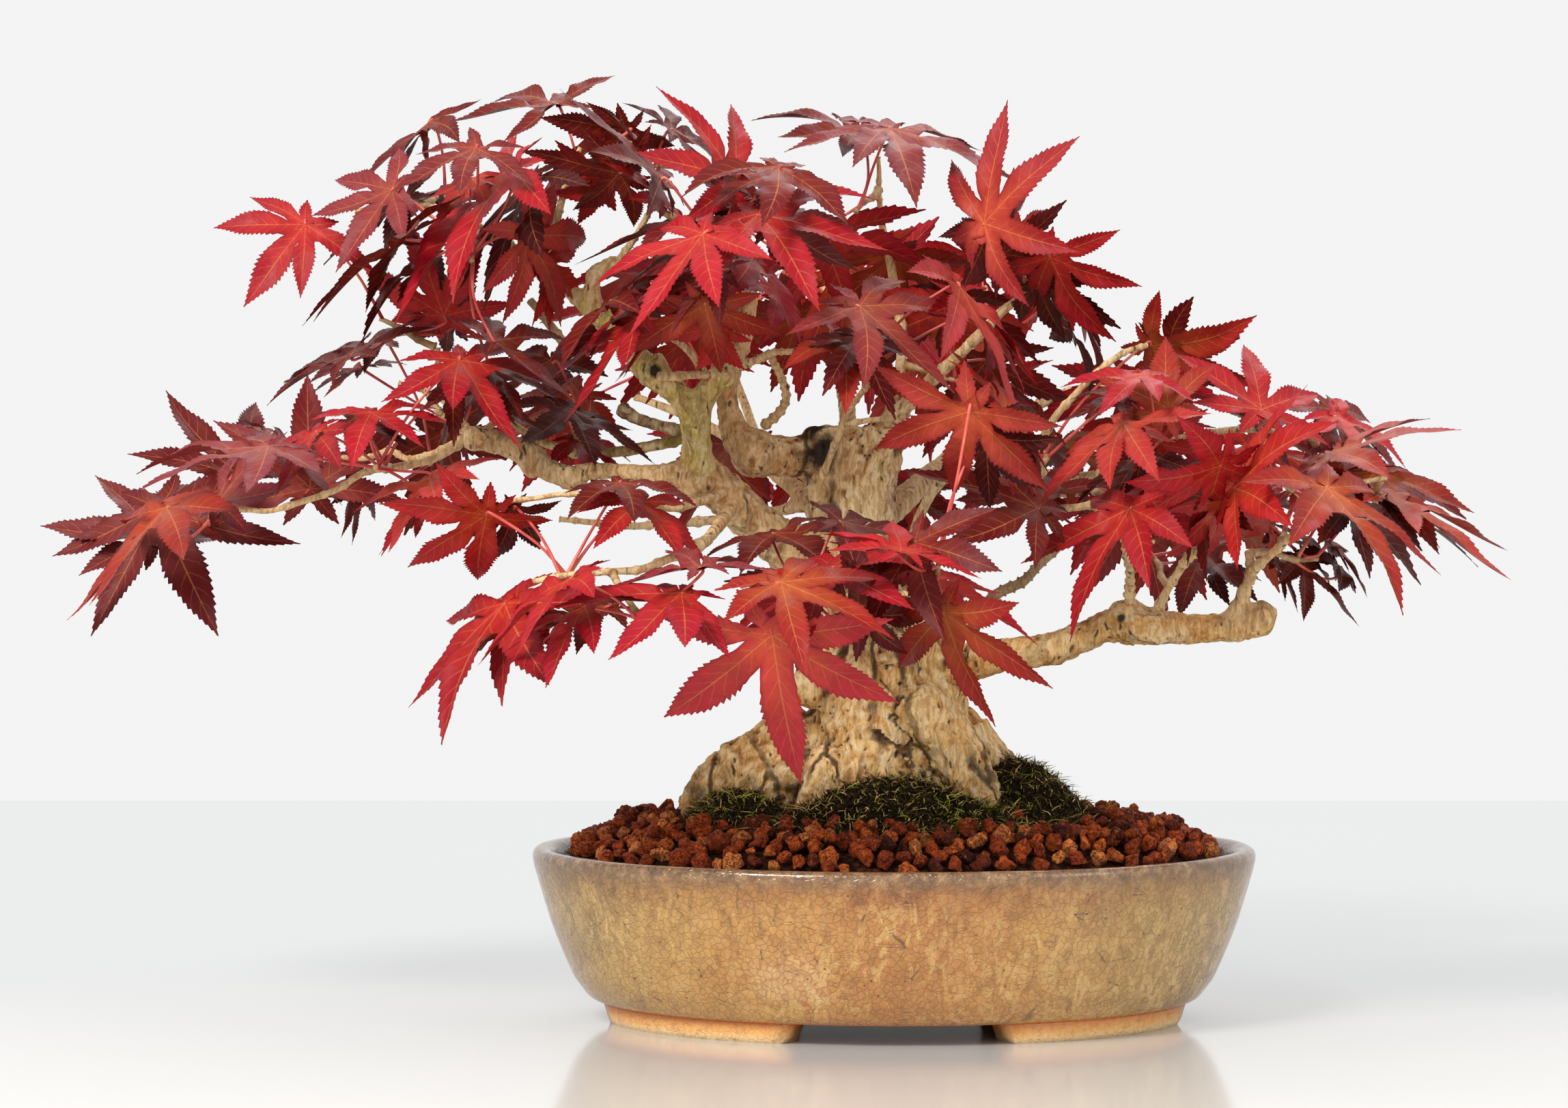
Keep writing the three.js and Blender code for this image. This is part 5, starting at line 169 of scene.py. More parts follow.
  (80.2,14,118.1,-0.06,-0.51,0.86,13,-14.3,-12,12.2,-0.7,-11.1,-7.6,-15.4,-15.5,12.4,9.7,3.6,-12.8,-5,-6.7,0.5,7.1,2.8,-7.1,2.8,-0.2,4),
  (95.7,-3,126,0.9,-0.28,0.33,-12.9,4,25.3,-15.3,-16.6,14.8,-3.1,22.4,14.8,-8.5,-18.7,-2.8,2.6,20.2,-3.5,-0.9,-6,-7.8,2.8,5.4,-7.7,7),
  (105,13,116.8,0.68,-0.34,0.65,15.5,1.9,-17.4,9.3,16.4,-7.2,-0.5,-13.4,-15.3,0.9,15.7,3.5,-7,-14,-5.8,-3.9,4.6,4.6,-6,-4.1,2.2,4),
  (112.8,19,121.9,0.72,-0.09,0.69,-14.5,25.8,11.1,-23.4,2.8,18.1,3,28.7,-6.7,-15.3,-14.2,9.1,11.5,11.6,-15.8,-2.2,-10.4,-1.4,5.5,-2.9,-9,6),
  (56.2,-59,131.8,-0.59,-0.43,0.68,-14.8,-6.2,-32.4,3.3,-24.1,-19.3,-25.8,18.1,-14.1,14.1,-18.8,-9.2,-7.9,23.2,1.9,10.3,-3.1,4.3,3.6,9.2,6.1,0),
  (36.1,-30,134,-0.16,-0.63,0.76,-7.5,21.5,11.1,-21.3,11,-1.2,12.5,16.7,11.5,-13.6,-2.2,-10.6,17.7,3.4,2.8,-6,-5,-5.5,7.3,-3.4,-3.1,4),
  (34.4,-47,131.5,0.39,-0.5,0.77,-32.6,-0.2,9.5,-23.7,-20.1,-7.4,-17.1,21.6,16.1,-1.7,-18.7,-14.3,3.7,22.9,7.8,6.7,-4.4,-9.2,8.4,7.7,-1.7,4),
  (-0.4,-97,122.9,0.2,-0.29,0.94,-1.6,24.5,6.6,-19.3,13.6,3.5,12.2,16.8,-1.8,-17.8,-2.2,0,19,1,-6.8,-5.1,-6.3,-2.4,5,-5.4,-4.2,0),
  (3.4,-78,124.1,-0.54,-0.71,0.46,6.8,-14,-23.4,20.3,-14.2,-6.4,-11.7,-0.6,-23.6,19.8,-3.4,8.5,-15,10.1,-8.9,2,3.7,8,-5.2,7.6,2.4,4),
  (-16.4,-74,118,-0.29,-0.36,0.88,-7.1,-27.4,-19.9,19.1,-24.6,-9.2,-26.4,-7.1,-17.6,26.4,-5.4,1.8,-20.9,12,-6.5,7.6,6,5.1,-5.6,11.1,1.8,0),
  (-28.8,-97,115.3,0.1,-0.43,0.9,26.6,-9.6,-13.1,24.8,13.1,0,6,-23.2,-21.4,8.2,20.3,4.8,-13.4,-15.8,-8.5,-4.4,9.1,3,-15.8,-1.4,-1.8,2),
  (-30.9,-92,102.7,-0.22,-0.91,-0.35,7,19.4,-37.2,30.3,7,-16.7,-26.2,20.4,-20.9,28.7,-3.3,4,-27.1,10,4,7.7,-3.6,10.8,-8.5,0.3,10.8,7),
  (10,-85,107.7,-0.68,-0.66,-0.33,12.9,10.3,-28.2,25.7,-8.7,-17.8,-10.3,23.4,-14.7,17.4,-14.1,3,-13.3,17.9,1.9,3.7,-5.4,8.4,-5.3,3.9,8.4,2),
  (-10.2,-78,106.9,0.29,-0.95,0.05,13.8,9.5,18.9,-5.3,3.5,22.9,20.1,10.5,0.8,-15.1,-1.1,10.1,11.9,5.9,-9.8,-9.3,-1.2,-1.6,-0.7,0.8,-11.5,4),
  (2.3,-67,117,0.38,-0.17,0.91,24,28.4,-6.6,-4.4,35.3,2.1,31.2,-0.3,-18.2,-20.5,16.7,6.7,12.9,-18.7,-10.6,-12.5,-1.8,2.6,-2.4,-12.2,-3.5,1),
  (-30.5,-38,125,-0.09,-0.15,0.98,14.2,-24.1,-7.1,26.6,-4.7,-2.5,-8.3,-23.9,-9.3,16.2,11.6,2.9,-17.9,-7.5,-6.4,1.6,9.7,0.1,-8.7,4.1,-1.8,4),
  (-14,-60,128.5,0.2,-0.29,0.94,28.8,9.3,-8.4,11.1,26.7,-1.7,21.6,-14.4,-14,-7.1,21,3.3,1.9,-19.9,-10.5,-10.5,4.4,-0.8,-7,-7.6,-2.7,5),
  (-52.5,-88,112.4,0.01,-0.28,0.96,-16.9,-18.2,-14.9,1.3,-26.6,-11.5,-32.2,5.6,-4.2,12,-13.8,-15.1,-9.4,18.2,0.7,10.5,1,-1.5,2,10.4,1.3,0),
  (-79,-88,115.8,-0.58,-0.11,0.81,-22.1,1.1,-20.8,-11.3,-21.1,-16.8,-14.8,22.8,-12.5,6.5,-21.5,-3.6,2.5,22.2,0.5,8,-6.3,2.8,9.3,6.4,4.2,0),
  (-96.8,-48,108.2,-0.59,-0.43,0.68,-14.2,-19,-33.7,12.4,-31.9,-18.2,-24.7,10.9,-26.5,23.5,-18,2.3,-16.1,24.7,-5.5,11.9,0.6,7.5,4.4,13,4.4,0),
  (-76.1,-74,108.5,-0.46,-0.28,0.84,-8.7,-16.5,-18.6,3,-21.5,-10.2,-19.6,2.3,-11.3,15.3,-9.9,1.6,-11.2,13.7,-10.2,7.9,1.6,3.2,0.2,8.6,1.3,0),
  (-48.3,-87,118.4,-0.09,-0.15,0.98,-8,23.7,2.8,-23.7,9,-5.8,10.7,20.1,-1.3,-14.5,-6.5,-2.9,17.4,4.5,-0.5,-2.6,-7.6,-2.8,7.1,-4.4,-1.4,6),
  (-72.3,-47,107.1,0.01,-0.28,0.96,-32.5,12.2,-2,-27.7,-14.6,-9.5,-11.7,30.3,3.6,-6,-21.9,-10.5,10,22.8,2.5,5.9,-8.8,-5,10.9,4.2,-1.7,4),
  (-116.7,-23,138.4,-0.46,-0.28,0.84,4.5,-23.3,-8.2,13.2,-14.7,0,-9.6,-12.8,-18.1,18.8,1.4,5,-19.9,3.3,-8.7,4.8,6.7,3.1,-4.7,7.2,-1.8,7),
  (-101,-50,130.1,0.21,-0.74,-0.64,-20.3,11.4,-13.4,-3.5,20.2,-16.8,-26.2,-4.2,2.7,15.6,14,-1.8,-11.9,-10.3,13.1,7,2.5,4.9,1.2,-4.6,8.2,1),
  (-63,-53,133.2,0.39,-0.5,0.77,11.5,-11.6,-15.4,16.2,3.4,-15,-11.2,-16.2,-10.9,10.7,11.9,-1.1,-15.5,-7.7,-2.5,0.3,7,2.8,-5.7,1.3,1.8,1),
  (-68.3,-54,138,0.01,-0.28,0.96,4.2,-19.6,-9.4,19.5,-8.6,-6,-12.3,-14.4,-8.7,15.1,4.9,-1.3,-14,-0.9,-2.8,3.4,6.7,0.7,-2.8,5,1.2,4),
  (-82.7,2,155.5,0.35,-0.34,0.87,7.2,-21.3,-14.5,21.8,-2.9,-14,-11.7,-21.8,-8.2,15.6,11.9,-5.3,-19.1,-6.9,1.3,1.9,9.4,1.1,-8.2,3.9,3.1,5),
  (-108.6,-35,168,0.24,-0.49,0.84,15.9,-14.8,-21.7,28,6.8,-9.3,-0.2,-23,-12.2,13.9,17.7,2.2,-18.6,-12,-10.3,-1.1,9.8,4.1,-14.9,1.1,-0.3,0),
  (-99.7,-38,172.7,0.35,-0.34,0.87,17.9,19.1,0,-2.1,22.8,5.4,19.3,1.2,-14.4,-13.2,10.6,6.1,12.8,-10.9,-9.3,-8.3,-1.2,1.3,-1.8,-7.5,-3.7,4),
  (-114.6,-2,179.5,-0.4,-0.73,-0.55,-9.9,-7.8,25.8,-22,7.8,13.4,11.3,-14.9,19.4,-14.8,14.4,-1.4,18.6,-8.2,3.3,-1.7,7.4,-6.6,8.7,0.8,-4.9,0),
  (-137.4,-10,169.6,-0.46,-0.28,0.84,0.3,31.1,4.2,-19.4,20.4,-7.4,20.3,18.1,11.4,-21.6,0.3,-13.1,21.5,-2,6.8,-4.2,-7.2,-7.6,7.2,-7.8,-0.6,4),
  (-132.2,22,173.1,-0.26,-0.2,0.94,-22.1,10.5,-8,-19,-9.9,-11.3,-7.1,23.1,-1.8,-3.4,-16.5,-8.5,8.2,16.4,2.6,4.8,-7.1,-1.7,7.1,2.5,1.8,4),
  (-63.7,-50,178.3,-0.61,-0.26,0.74,-22.1,17.2,-14.6,-18.3,-7.4,-25.6,-5,29.1,-0.1,-3.5,-18.2,-12.4,9.6,18.1,9.5,4.2,-9.1,-4,9,1.5,5.6,0),
  (-70.8,-39,182.8,-0.58,-0.11,0.81,8.8,-30,-4,24.1,-14.5,9.5,-11.5,-21.4,-17,19.4,5.7,10.3,-16,-1.1,-16.1,4.2,9.4,1.7,-5.9,7.4,-5.1,4),
  (-183.8,-15,130.9,-0.46,-0.28,0.84,-17.1,-19.7,-23.9,7.9,-31.9,-12.1,-26.7,9.1,-28.8,20.2,-17.9,0.1,-13.4,22.9,-4.8,12,0.3,4.2,2.2,12.2,2.8,2),
  (-189.2,12,130,-0.13,-0.79,0.6,17.4,-18.9,-32,37.2,-5.2,-8.9,-15.6,-14.2,-32.3,25.8,9.7,10.6,-27.6,0.7,-12.3,3.5,9.5,9.6,-10.7,6.9,3.9,4),
  (-155.9,-37,146.5,-0.09,-0.15,0.98,-32.1,-16.1,-11.5,-2.2,-32.2,-10.7,-34.4,13.3,-7.1,15,-21,-6.1,-7.3,24.4,2.5,12.3,-1.8,-1.1,5,11.5,0.3,6),
  (-145.6,-20,150,-0.45,-0.43,0.78,-9.1,-12.9,-15.8,7.9,-17.2,-9,-11.7,2.5,-9.8,14,-7.8,0.6,-13.4,11.8,-5.5,6.7,1.5,3.2,-0.4,7.2,2.2,0),
  (-131,-30,154.9,0.01,-0.28,0.96,14.5,-16.9,-8.5,23.5,1.5,-3.6,-3.1,-21.2,-13.9,16.5,13.3,0.8,-14.6,-9.4,-1.9,-0.5,8.5,1.1,-10.7,1.9,0.8,0),
  (-159.3,9,148.5,0.52,-0.1,0.85,19.3,14.6,-15.2,3.1,26.4,-3.6,18.6,-8.5,-17.4,-10.8,16.8,4.8,4.7,-17.9,-8.9,-9.1,1.5,3,-4.4,-8.7,0,6),
  (-140.4,18,137.8,0.94,-0.35,0.06,4.8,20.6,-11.7,2.5,18.4,10.2,-0.2,7.4,-17.8,-1.9,5.1,15.3,-1.9,-5.8,-15.4,-2.9,-3.2,6.3,-4.4,-6.4,-6.5,4),
  (-149.7,9,135.3,0.12,-0.92,0.37,-2.4,17.7,29.7,-26.1,9.1,17.3,22.8,15.7,17.3,-24.7,-0.5,-3.5,23.9,6.1,-3.5,-6.8,-2.6,-9.5,7.3,-0.7,-9.2,6),
  (-170,27,137.6,0.5,-0.7,0.51,-20.1,9.6,22.9,-28.1,-8.6,6.3,2.1,22.6,19.6,-15.7,-13.4,-10.1,14.3,17.7,3.2,0,-5,-9.8,8,4.1,-6.2,4),
  (-171,-12,132.3,-0.65,-0.55,0.52,17.2,3.6,17.7,2.9,17.7,15.2,19.7,-11.8,4.8,-7.5,16.2,2.4,9.3,-13.2,-7.9,-5.2,4.7,-4.3,-1,-3.9,-7.2,6),
  (-191.2,18,121.9,0.21,-0.64,0.74,-18,20.4,16.2,-29.6,1.4,3.4,7.1,25.4,13.8,-18,-10.8,-9.1,18.6,13.2,1.3,-1.2,-7,-7.8,9.5,0,-5.1,6),
  (-48.5,99.2,199.5,-0.14,0.39,0.91,-18.4,23.8,-21.1,-27.3,-1,-11.4,9.3,23.2,-16.2,-18,-16.7,-1.5,21,9,-6.6,-0.7,-12.5,2.4,11.8,-4,0.7,3),
  (-109.9,18,160.8,-0.86,-0.26,0.43,-7,7.1,-26.5,1.4,-11.7,-20.1,-5.1,24,-11.6,8.1,-17.5,-6.5,2.8,17.4,4,6.3,-5.8,3.3,4.5,4.1,5.7,4),
  (68.9,81.2,152.2,0.05,0.49,0.87,9.4,17.7,-21.2,-14.5,18.2,-19.4,24.8,2.7,-13,-20.6,2.3,-7.8,19.1,-12.1,-2,-8.6,-5.8,0.1,2.5,-9.4,1.5,1),
  (-17.6,64,101.9,0.52,0.71,0.47,-7,12.7,-24.8,-22,12.9,-7.6,12.5,-0.7,-25.6,-18.4,2.4,7.1,15.5,-11.6,-9.4,-4.6,-3.8,6.2,4,-7.4,2,0),
  (-14.6,88.8,107,-0.08,0.68,0.73,-12.1,10.9,-19.9,-21.1,-2.5,-8,8.4,13,-19,-14.7,-11.7,3.2,17.4,4,-7.7,-1,-7.9,4.4,7.3,-3.1,0.8,3),
  (-12.9,36.9,192,-0.36,0.92,0.17,13.3,6,-30.1,-11.7,-4,-28.1,26.2,7.2,-7.3,-18.7,-9.3,-8.5,19.8,2.4,11,-8.2,-5.7,4.4,3.5,-2.3,11,2),
  (-31.3,82,187.2,-0.66,-0.15,0.74,14.2,17.2,11.9,-1.2,23.2,-0.2,20.6,-2.8,13.9,-11.4,14.1,-10.1,12.1,-15.4,4.7,-5.6,-0.5,-6.4,0.5,-7.7,-2.5,1),
  (76,77.2,123.6,0.22,0.82,0.53,-9.7,12.6,-21.1,-22.9,6.3,-5.5,10.8,6.8,-20.4,-16.9,-3,7.7,16.8,-2.3,-7.4,-2.6,-4.6,6.4,7.2,-4.7,2.5,2),
  (3.5,77,103,-0.38,0.62,0.69,-3.9,13.2,-19.8,-18.5,0,-15.5,16.3,18.3,-13.1,-17.2,-11.9,-2.9,19.1,5.4,1.3,-2.6,-7.3,3.2,6.4,-2.9,4.1,4),
  (10.9,85.2,172.9,-0.54,0.72,0.43,1,8.5,-32.7,-18.4,-9.6,-25.8,24,18.4,-19,-15.3,-17.4,-4.6,25.6,8.6,3.7,-3.7,-10.6,6.2,8.8,-2.4,8.4,2),
  (28.4,85.2,161.3,-0.39,0.6,0.7,10,17.6,-17.1,-10.5,10.9,-22.3,21,8.3,-2.3,-15.6,-3.3,-11.1,16.5,-3.7,7.1,-5.9,-6.3,-0.3,3.1,-6.2,4.6,1),
  (-48.6,24.8,187.9,0.5,0.35,0.79,-9.5,29.6,-13.4,-25.9,16.1,3.5,12.3,16.1,-20.9,-20,-3.5,9.9,17.6,-2.6,-14.5,-4.6,-8.7,4.7,7.1,-9,-2.6,0),
  (13.9,17.1,184.2,0.13,0.57,0.81,6.7,21.5,-27.8,-20.2,17.6,-19.9,24.3,3.5,-17.2,-22,0.4,-4.9,21.1,-11.5,-3.4,-9.8,-7.2,2.9,4.4,-10.8,3.1,4),
  (6.3,81.9,132.8,-0.09,0.85,0.51,2.3,11.7,-25.1,-17.4,5,-17.1,17.9,5.6,-11.6,-17.6,-3.4,-1.7,16.6,-1.9,2,-6,-4.8,5,5.3,-4.4,6.4,1),
  (-39.5,64.9,206.8,-0.52,0.56,0.65,0.1,15.7,-21.8,-16.8,0.7,-21.9,17.3,16.8,-8.6,-14.6,-11.9,-7.5,18.4,4.7,4.5,-3.2,-8.9,2.1,6.4,-3.7,5.4,0),
  (-51.5,81.6,171.8,0.23,0.76,0.61,-8.1,13.6,-19.5,-22.8,7.4,-6,11,7.3,-18.4,-17.2,-3.3,6.4,15.4,-2.5,-6.7,-3.3,-5.5,6.1,5.8,-4.7,1.7,0),
  (-4,53.1,188.3,-0.56,0.83,-0.06,19.7,5.1,-23.7,-1.9,-9.8,-34.4,30.4,14.5,-0.5,-13.2,-14.2,-12.3,17.4,8.6,18.4,-7.7,-7.1,2.6,0.5,-0.9,11.4,0),
  (-70.3,94.9,183.3,0.18,0.45,0.88,-14.8,16.6,-15.1,-24.8,1.4,-4.7,6,16.4,-18.8,-17.5,-12.5,3,17.3,4.1,-12.7,-1.5,-9.5,1.8,7.2,-4.5,-2.5,1),
  (73.3,103.9,143,0.23,0.63,0.74,-1.8,20.4,-25.4,-22.6,13.2,-12.2,24.2,9.3,-23.7,-22.6,-1.1,2,23.8,-8.3,-6.6,-7.2,-7.1,5.4,6.1,-8.9,2.8,0),
  (-14.7,56.7,145.3,-0.27,0.77,0.57,3.4,15.8,-25.5,-17.8,4.9,-20.4,25,13.6,-11.9,-22.3,-7.1,-5.2,22.7,0.7,5.5,-6.8,-7.2,4.5,5.9,-4.9,7.3,1),
  (15.3,8.2,181.2,0.32,0.57,0.76,1,20.7,-22,-21.1,18.4,-10.4,21.8,6.5,-19.9,-22.8,2.6,3.5,20.2,-9.4,-5.9,-7.2,-5.6,5.3,5.2,-9.5,2.9,1),
  (-119.7,11.5,211.1,-0.31,-0.22,0.93,-21.6,19.6,-12,-26.3,-5.3,-18.8,-0.7,27.7,-2.6,-7.4,-16.1,-13,15.2,18,2.5,4,-8.7,-3.9,11.6,0.9,0.8,5),
  (67.9,75.5,134.1,0.1,0.7,0.71,15.6,10.3,-17.9,-5.1,15.3,-19.5,28.4,-4.3,-5.1,-17.3,7.5,-8.8,15.4,-13.9,7.5,-8.6,-1.7,1.1,-0.3,-7.8,5.9,6),
  (65.7,66.8,161.7,0.19,0.82,0.54,-5.5,17.1,-30.1,-28.2,11.5,-13.3,21.2,7.7,-24.7,-22.2,-1.3,5.3,24.5,-5.2,-5.1,-5.4,-5.2,7.6,8.1,-6.7,5.3,0),
  (-52.3,64.2,180.2,-0.18,0.7,0.69,-13.5,14.2,-23.6,-27.8,-2.1,-10.4,11.6,18.5,-21.1,-19.2,-13.7,5,21.1,7.1,-5.6,-1.5,-8.3,6.3,9.9,-2.6,3.5,1),
  (45.9,58.1,146.3,0.11,0.51,0.85,23.3,6.9,-15.2,3.5,15.9,-17.6,23.7,-12.5,-3.1,-11.1,11.3,-11.3,6.8,-16.8,3.3,-8.6,0.3,-1.9,-3.5,-7.9,2.4,3),
  (26.7,111,181,0.45,0.89,-0.07,-19.2,3.4,-21.2,-25.3,8.4,0.7,1.1,-7,-25.6,-14.3,5,15.6,12.4,-10.6,-11.2,0.1,-0.9,10.1,8.3,-5.7,2.1,2),
  (-24.1,48.6,179.3,-0.26,0.66,0.71,-28.9,0.7,-15.3,-20.2,-14.9,2.6,-7.6,13.6,-19.5,-4.7,-17.5,11.7,9,14,-12.9,6,-6.5,6.8,9.1,3.1,-1.1,2),
  (24.2,90.4,197.4,0.01,0.73,0.68,-1.2,12.1,-27.1,-22.1,5.1,-18.4,19.9,5.6,-19.6,-22.7,-6.8,-2.4,20,-5.8,-4.1,-6.5,-8.5,4.5,7.2,-8.3,4,0),
  (-17.7,64.7,181.6,0.08,0.89,0.45,-6.4,8.5,-24.4,-23.9,3.8,-11.5,14.6,4.7,-20.2,-16.7,-3.9,4.2,17.1,-2.7,-4.2,-4,-4.8,7.2,7.1,-4.4,4.3,1),
  (28,8.1,139,0.35,0.32,0.88,10,15.7,-17.3,-9.3,21.4,-11.2,18.9,-1.9,-14,-18.8,9.6,-1.4,12.6,-14.3,-5.2,-9.2,-2.6,2.1,0.1,-10.1,1.1,1),
  (-21.1,111.6,114.3,-0.5,0.65,0.57,6.5,13.2,-19.3,-10.8,3.1,-22.4,22.6,13.9,-5.2,-13.4,-8.3,-9.6,15.8,0.4,6.2,-4.6,-7.5,1,4.3,-4.7,5.7,6),
  (-68.1,72.1,192.8,-0.13,0.64,0.76,5.9,19,-19.4,-15.6,12.2,-17.1,22.2,8.9,-7.9,-18.6,-1.5,-5.2,18.2,-4.2,3.3,-7.4,-6.3,2.5,3.9,-6.2,4.4,1),
  (-54.7,106.5,186.1,0.09,0.74,0.67,16.9,11.1,-20.2,-6,15.2,-21.2,22.9,-3.5,-4.4,-16.8,6.3,-8.6,12.4,-10.6,6.2,-9.5,-1.9,1.5,-0.1,-6.5,5.4,0),
  (61.7,8.9,136.6,0.6,0.8,0.06,15.7,-18.2,-15.4,-0.2,-5.1,-23.1,13.2,-17.4,6.2,-10.3,3.4,-13.5,3.4,-9,15.2,-8.1,3.7,-0.9,-4,-0.1,8.8,0),
  (61.4,110.3,130.9,-0.16,0.9,0.41,-10.1,2.8,-22,-22.2,-5.4,-8.1,9.6,6.2,-21,-14.4,-9.4,6.3,16.8,2.1,-6.5,-1.4,-5.6,7.6,8.2,-1.8,3.2,0),
  (-88.5,101,154.5,-0.37,0.74,0.56,-12.1,5.5,-22.3,-21.7,-8.6,-9.4,7.3,13.2,-19.3,-11.4,-12.7,4.3,15.2,7.5,-5.1,0.1,-5.8,5.4,7.8,-0.2,2.9,1),
  (-86.4,53.4,156,-0.24,0.46,0.85,-23.4,-6,-9,-12.3,-19.4,1.7,-14.3,11.4,-15.4,3.2,-18.2,6.7,1.7,15.8,-12,7,-4.3,2.4,6.3,4.5,-2.5,2),
  (-19,48.9,108.7,0.46,0.72,0.52,-15.2,11.6,-16.6,-25.2,6,0.8,2.7,5.5,-23.3,-16.2,-5.2,11.3,10.9,-4.7,-13.4,-1.9,-7.1,6.6,6.8,-6.9,-1.3,4),
  (68,86.3,164.8,-0.18,0.57,0.8,6.1,17.6,-14.5,-14.3,13.8,-16.1,19.9,8.5,-4.7,-16.4,-0.7,-5.6,18.1,-4.3,4.8,-7,-5.9,1.5,3.6,-6.5,4.3,2),
  (65.9,65.2,126.8,0.29,0.86,0.42,8.6,1.1,-28.3,-12.1,5,-21,22.6,-10.4,-13.5,-21.1,3,-6.3,14.9,-14.2,3.8,-9.3,-2.3,4.1,1.2,-6.9,6.2,6),
  (41.5,8.1,148.4,0.83,0.18,0.53,-2.6,22.1,-8.2,-13.5,20.1,9.7,8.8,11,-22,-11.2,2.2,13.2,9.7,-6.6,-16.4,-3.6,-5.6,5.9,2.4,-7.9,-2.7,4),
  (-36.4,84.4,144.6,0.18,0.85,0.5,-0.7,11.9,-26.7,-21.6,9.7,-15,19.4,2.9,-18.1,-19.5,0.1,2.1,20.9,-6.3,-1.6,-5.8,-3.8,6.2,5,-5.2,4.8,6),
  (25.2,42.9,168,-0.04,0.81,0.58,9,10,-25.2,-12.8,6.5,-21.4,23.8,1,-10.9,-20.1,-2,-7.4,17.4,-7.8,3.5,-6.9,-4.9,2.2,3.2,-6.9,5.8,4),
  (2.7,108.6,135.4,-0.24,0.58,0.78,-4.6,17.3,-21.8,-21.1,3,-15.7,16.9,16.2,-14,-16.2,-9.6,-3.2,19.4,2.4,-1.3,-3.7,-9.2,3.2,7.3,-4.8,3.2,2),
  (-3.1,100.3,112.4,-0.16,0.9,0.4,-12.9,0.2,-28.2,-30.6,-9.9,-11,13.5,7.3,-32.2,-20.6,-15,9.7,20.4,0.7,-9.3,-1.1,-7.2,8.5,10,-2.9,3.1,4),
  (-18.1,3.6,198.9,-0.38,0.56,0.74,7.9,20.4,-22.7,-17.2,11.1,-28,27.9,14.4,-7.1,-21.1,-7.5,-13.4,26.3,-2.8,7.6,-7.4,-10.4,0.2,5.9,-8,5.3,0),
  (-80.5,23.2,158.7,-0.41,0.5,0.76,-18.7,-2.1,-19.4,-15.5,-18.3,-6.4,-5,14.6,-22.2,-2.5,-21.1,4.7,9.8,13.5,-11.2,5.5,-6.7,3.7,8.9,2.9,-0.7,2),
  (-61.9,16.1,184.8,-0.23,0.55,0.8,-4.2,17,-21.1,-22.7,4,-16.9,15.5,14.1,-13,-15.6,-9.3,-4,20.2,2.1,-1.6,-3.9,-9.7,2.7,7,-4.9,2.5,4),
  (-85.7,13.1,217.1,-0.84,0.11,0.54,-2.8,23.2,-25.4,-10.7,-2.7,-31.4,11.8,30.8,-3.2,-6.1,-20.5,-17.2,18.2,15.8,13.3,2.1,-11.2,-0.1,8.8,-2.1,8.6,1),
  (-44.1,46,204.7,-0.77,0.51,0.38,-1.9,5.8,-24.7,-10.3,-11.4,-17.8,11.6,18.8,-14.2,-8.3,-17.6,-2.5,14,12.1,2.7,-0.4,-7.6,5.1,6.2,1.1,6.6,4),
  (94.1,95.5,127.5,0.28,0.58,0.76,-8.9,22.4,-24.2,-27.6,11.4,-8.3,14.6,10.5,-23.3,-23.2,-5,4.8,17.9,-4.9,-10.6,-4.9,-7.9,4.2,7.2,-8.5,0.2,3),
  (-118.9,54.4,148.7,-0.6,0.78,0.18,9.9,9.6,-27,-9.9,-5.5,-26.8,24,16.1,-7,-18.1,-14.7,-9.7,18.5,8.6,11.9,-7.2,-8,4.6,3.3,-1.1,9.9,4),
  (-49.3,17,176.3,-0.26,0.69,0.68,-22.3,9,-21.8,-24.3,-9,-4.2,1.8,16.6,-20.1,-13.3,-17.3,9.2,17.7,13.2,-9.8,2,-7.9,7.2,9.8,0.5,1.6,1),
  (0.6,23.9,195.3,0.03,0.72,0.69,1.9,15.6,-29.2,-19.4,7.2,-18.6,22.3,4.9,-18.2,-22.7,-4.4,-3.6,20.4,-7.3,-2.6,-6.3,-6.9,3.1,5.5,-8,3.8,2),
  (102,83.7,146.2,0.2,0.79,0.58,2.2,13.9,-24.8,-16.6,10.5,-13.2,22.9,3.6,-17.4,-18.8,1.6,0.8,19.5,-7.1,-0.4,-6.9,-3.9,6,4.5,-6,5,1),
  (43.8,72.1,189.4,-0.12,0.52,0.84,-22.1,-0.1,-11.3,-17.4,-15.8,-0.5,-9.6,14.3,-18,-2.2,-17.9,4.7,6.8,13.1,-13.1,5.6,-6.8,2.1,7.5,1.9,-3,0),
  (-41.2,17.8,145.7,-0.39,0.31,0.87,-15.2,20.8,-24,-21.3,-4.2,-17.2,10.1,27.4,-14.4,-11.5,-16.2,-6.4,21.4,12.5,-1.9,0.8,-9.9,0.6,10.6,-2.3,2.3,2),
  (-45.6,110,146.9,0.45,0.67,0.59,1.6,9.5,-23.7,-15.3,12.1,-13.2,17.3,-4.1,-19.5,-20.7,5.3,1.1,15.2,-13.9,-4.2,-6.8,-3,4.4,2.7,-8.9,3.9,0),
  (-3.3,55.2,135.2,-0.02,0.48,0.88,9.4,21.9,-21.5,-14.8,16.5,-18.5,26.9,6.2,-11.9,-19.2,0.6,-7.8,20.7,-10.1,-0.9,-7.7,-6.2,-0.1,3.8,-9.9,2.3,4),
  (14.9,9.9,154.7,0.06,0.49,0.87,24.4,2.6,-9.3,10.1,17.2,-16.1,20.7,-15.7,1.6,-7.1,14.3,-11.9,3.2,-18.3,5.7,-8.8,2.6,-2.8,-5.8,-7.4,2.5,0),
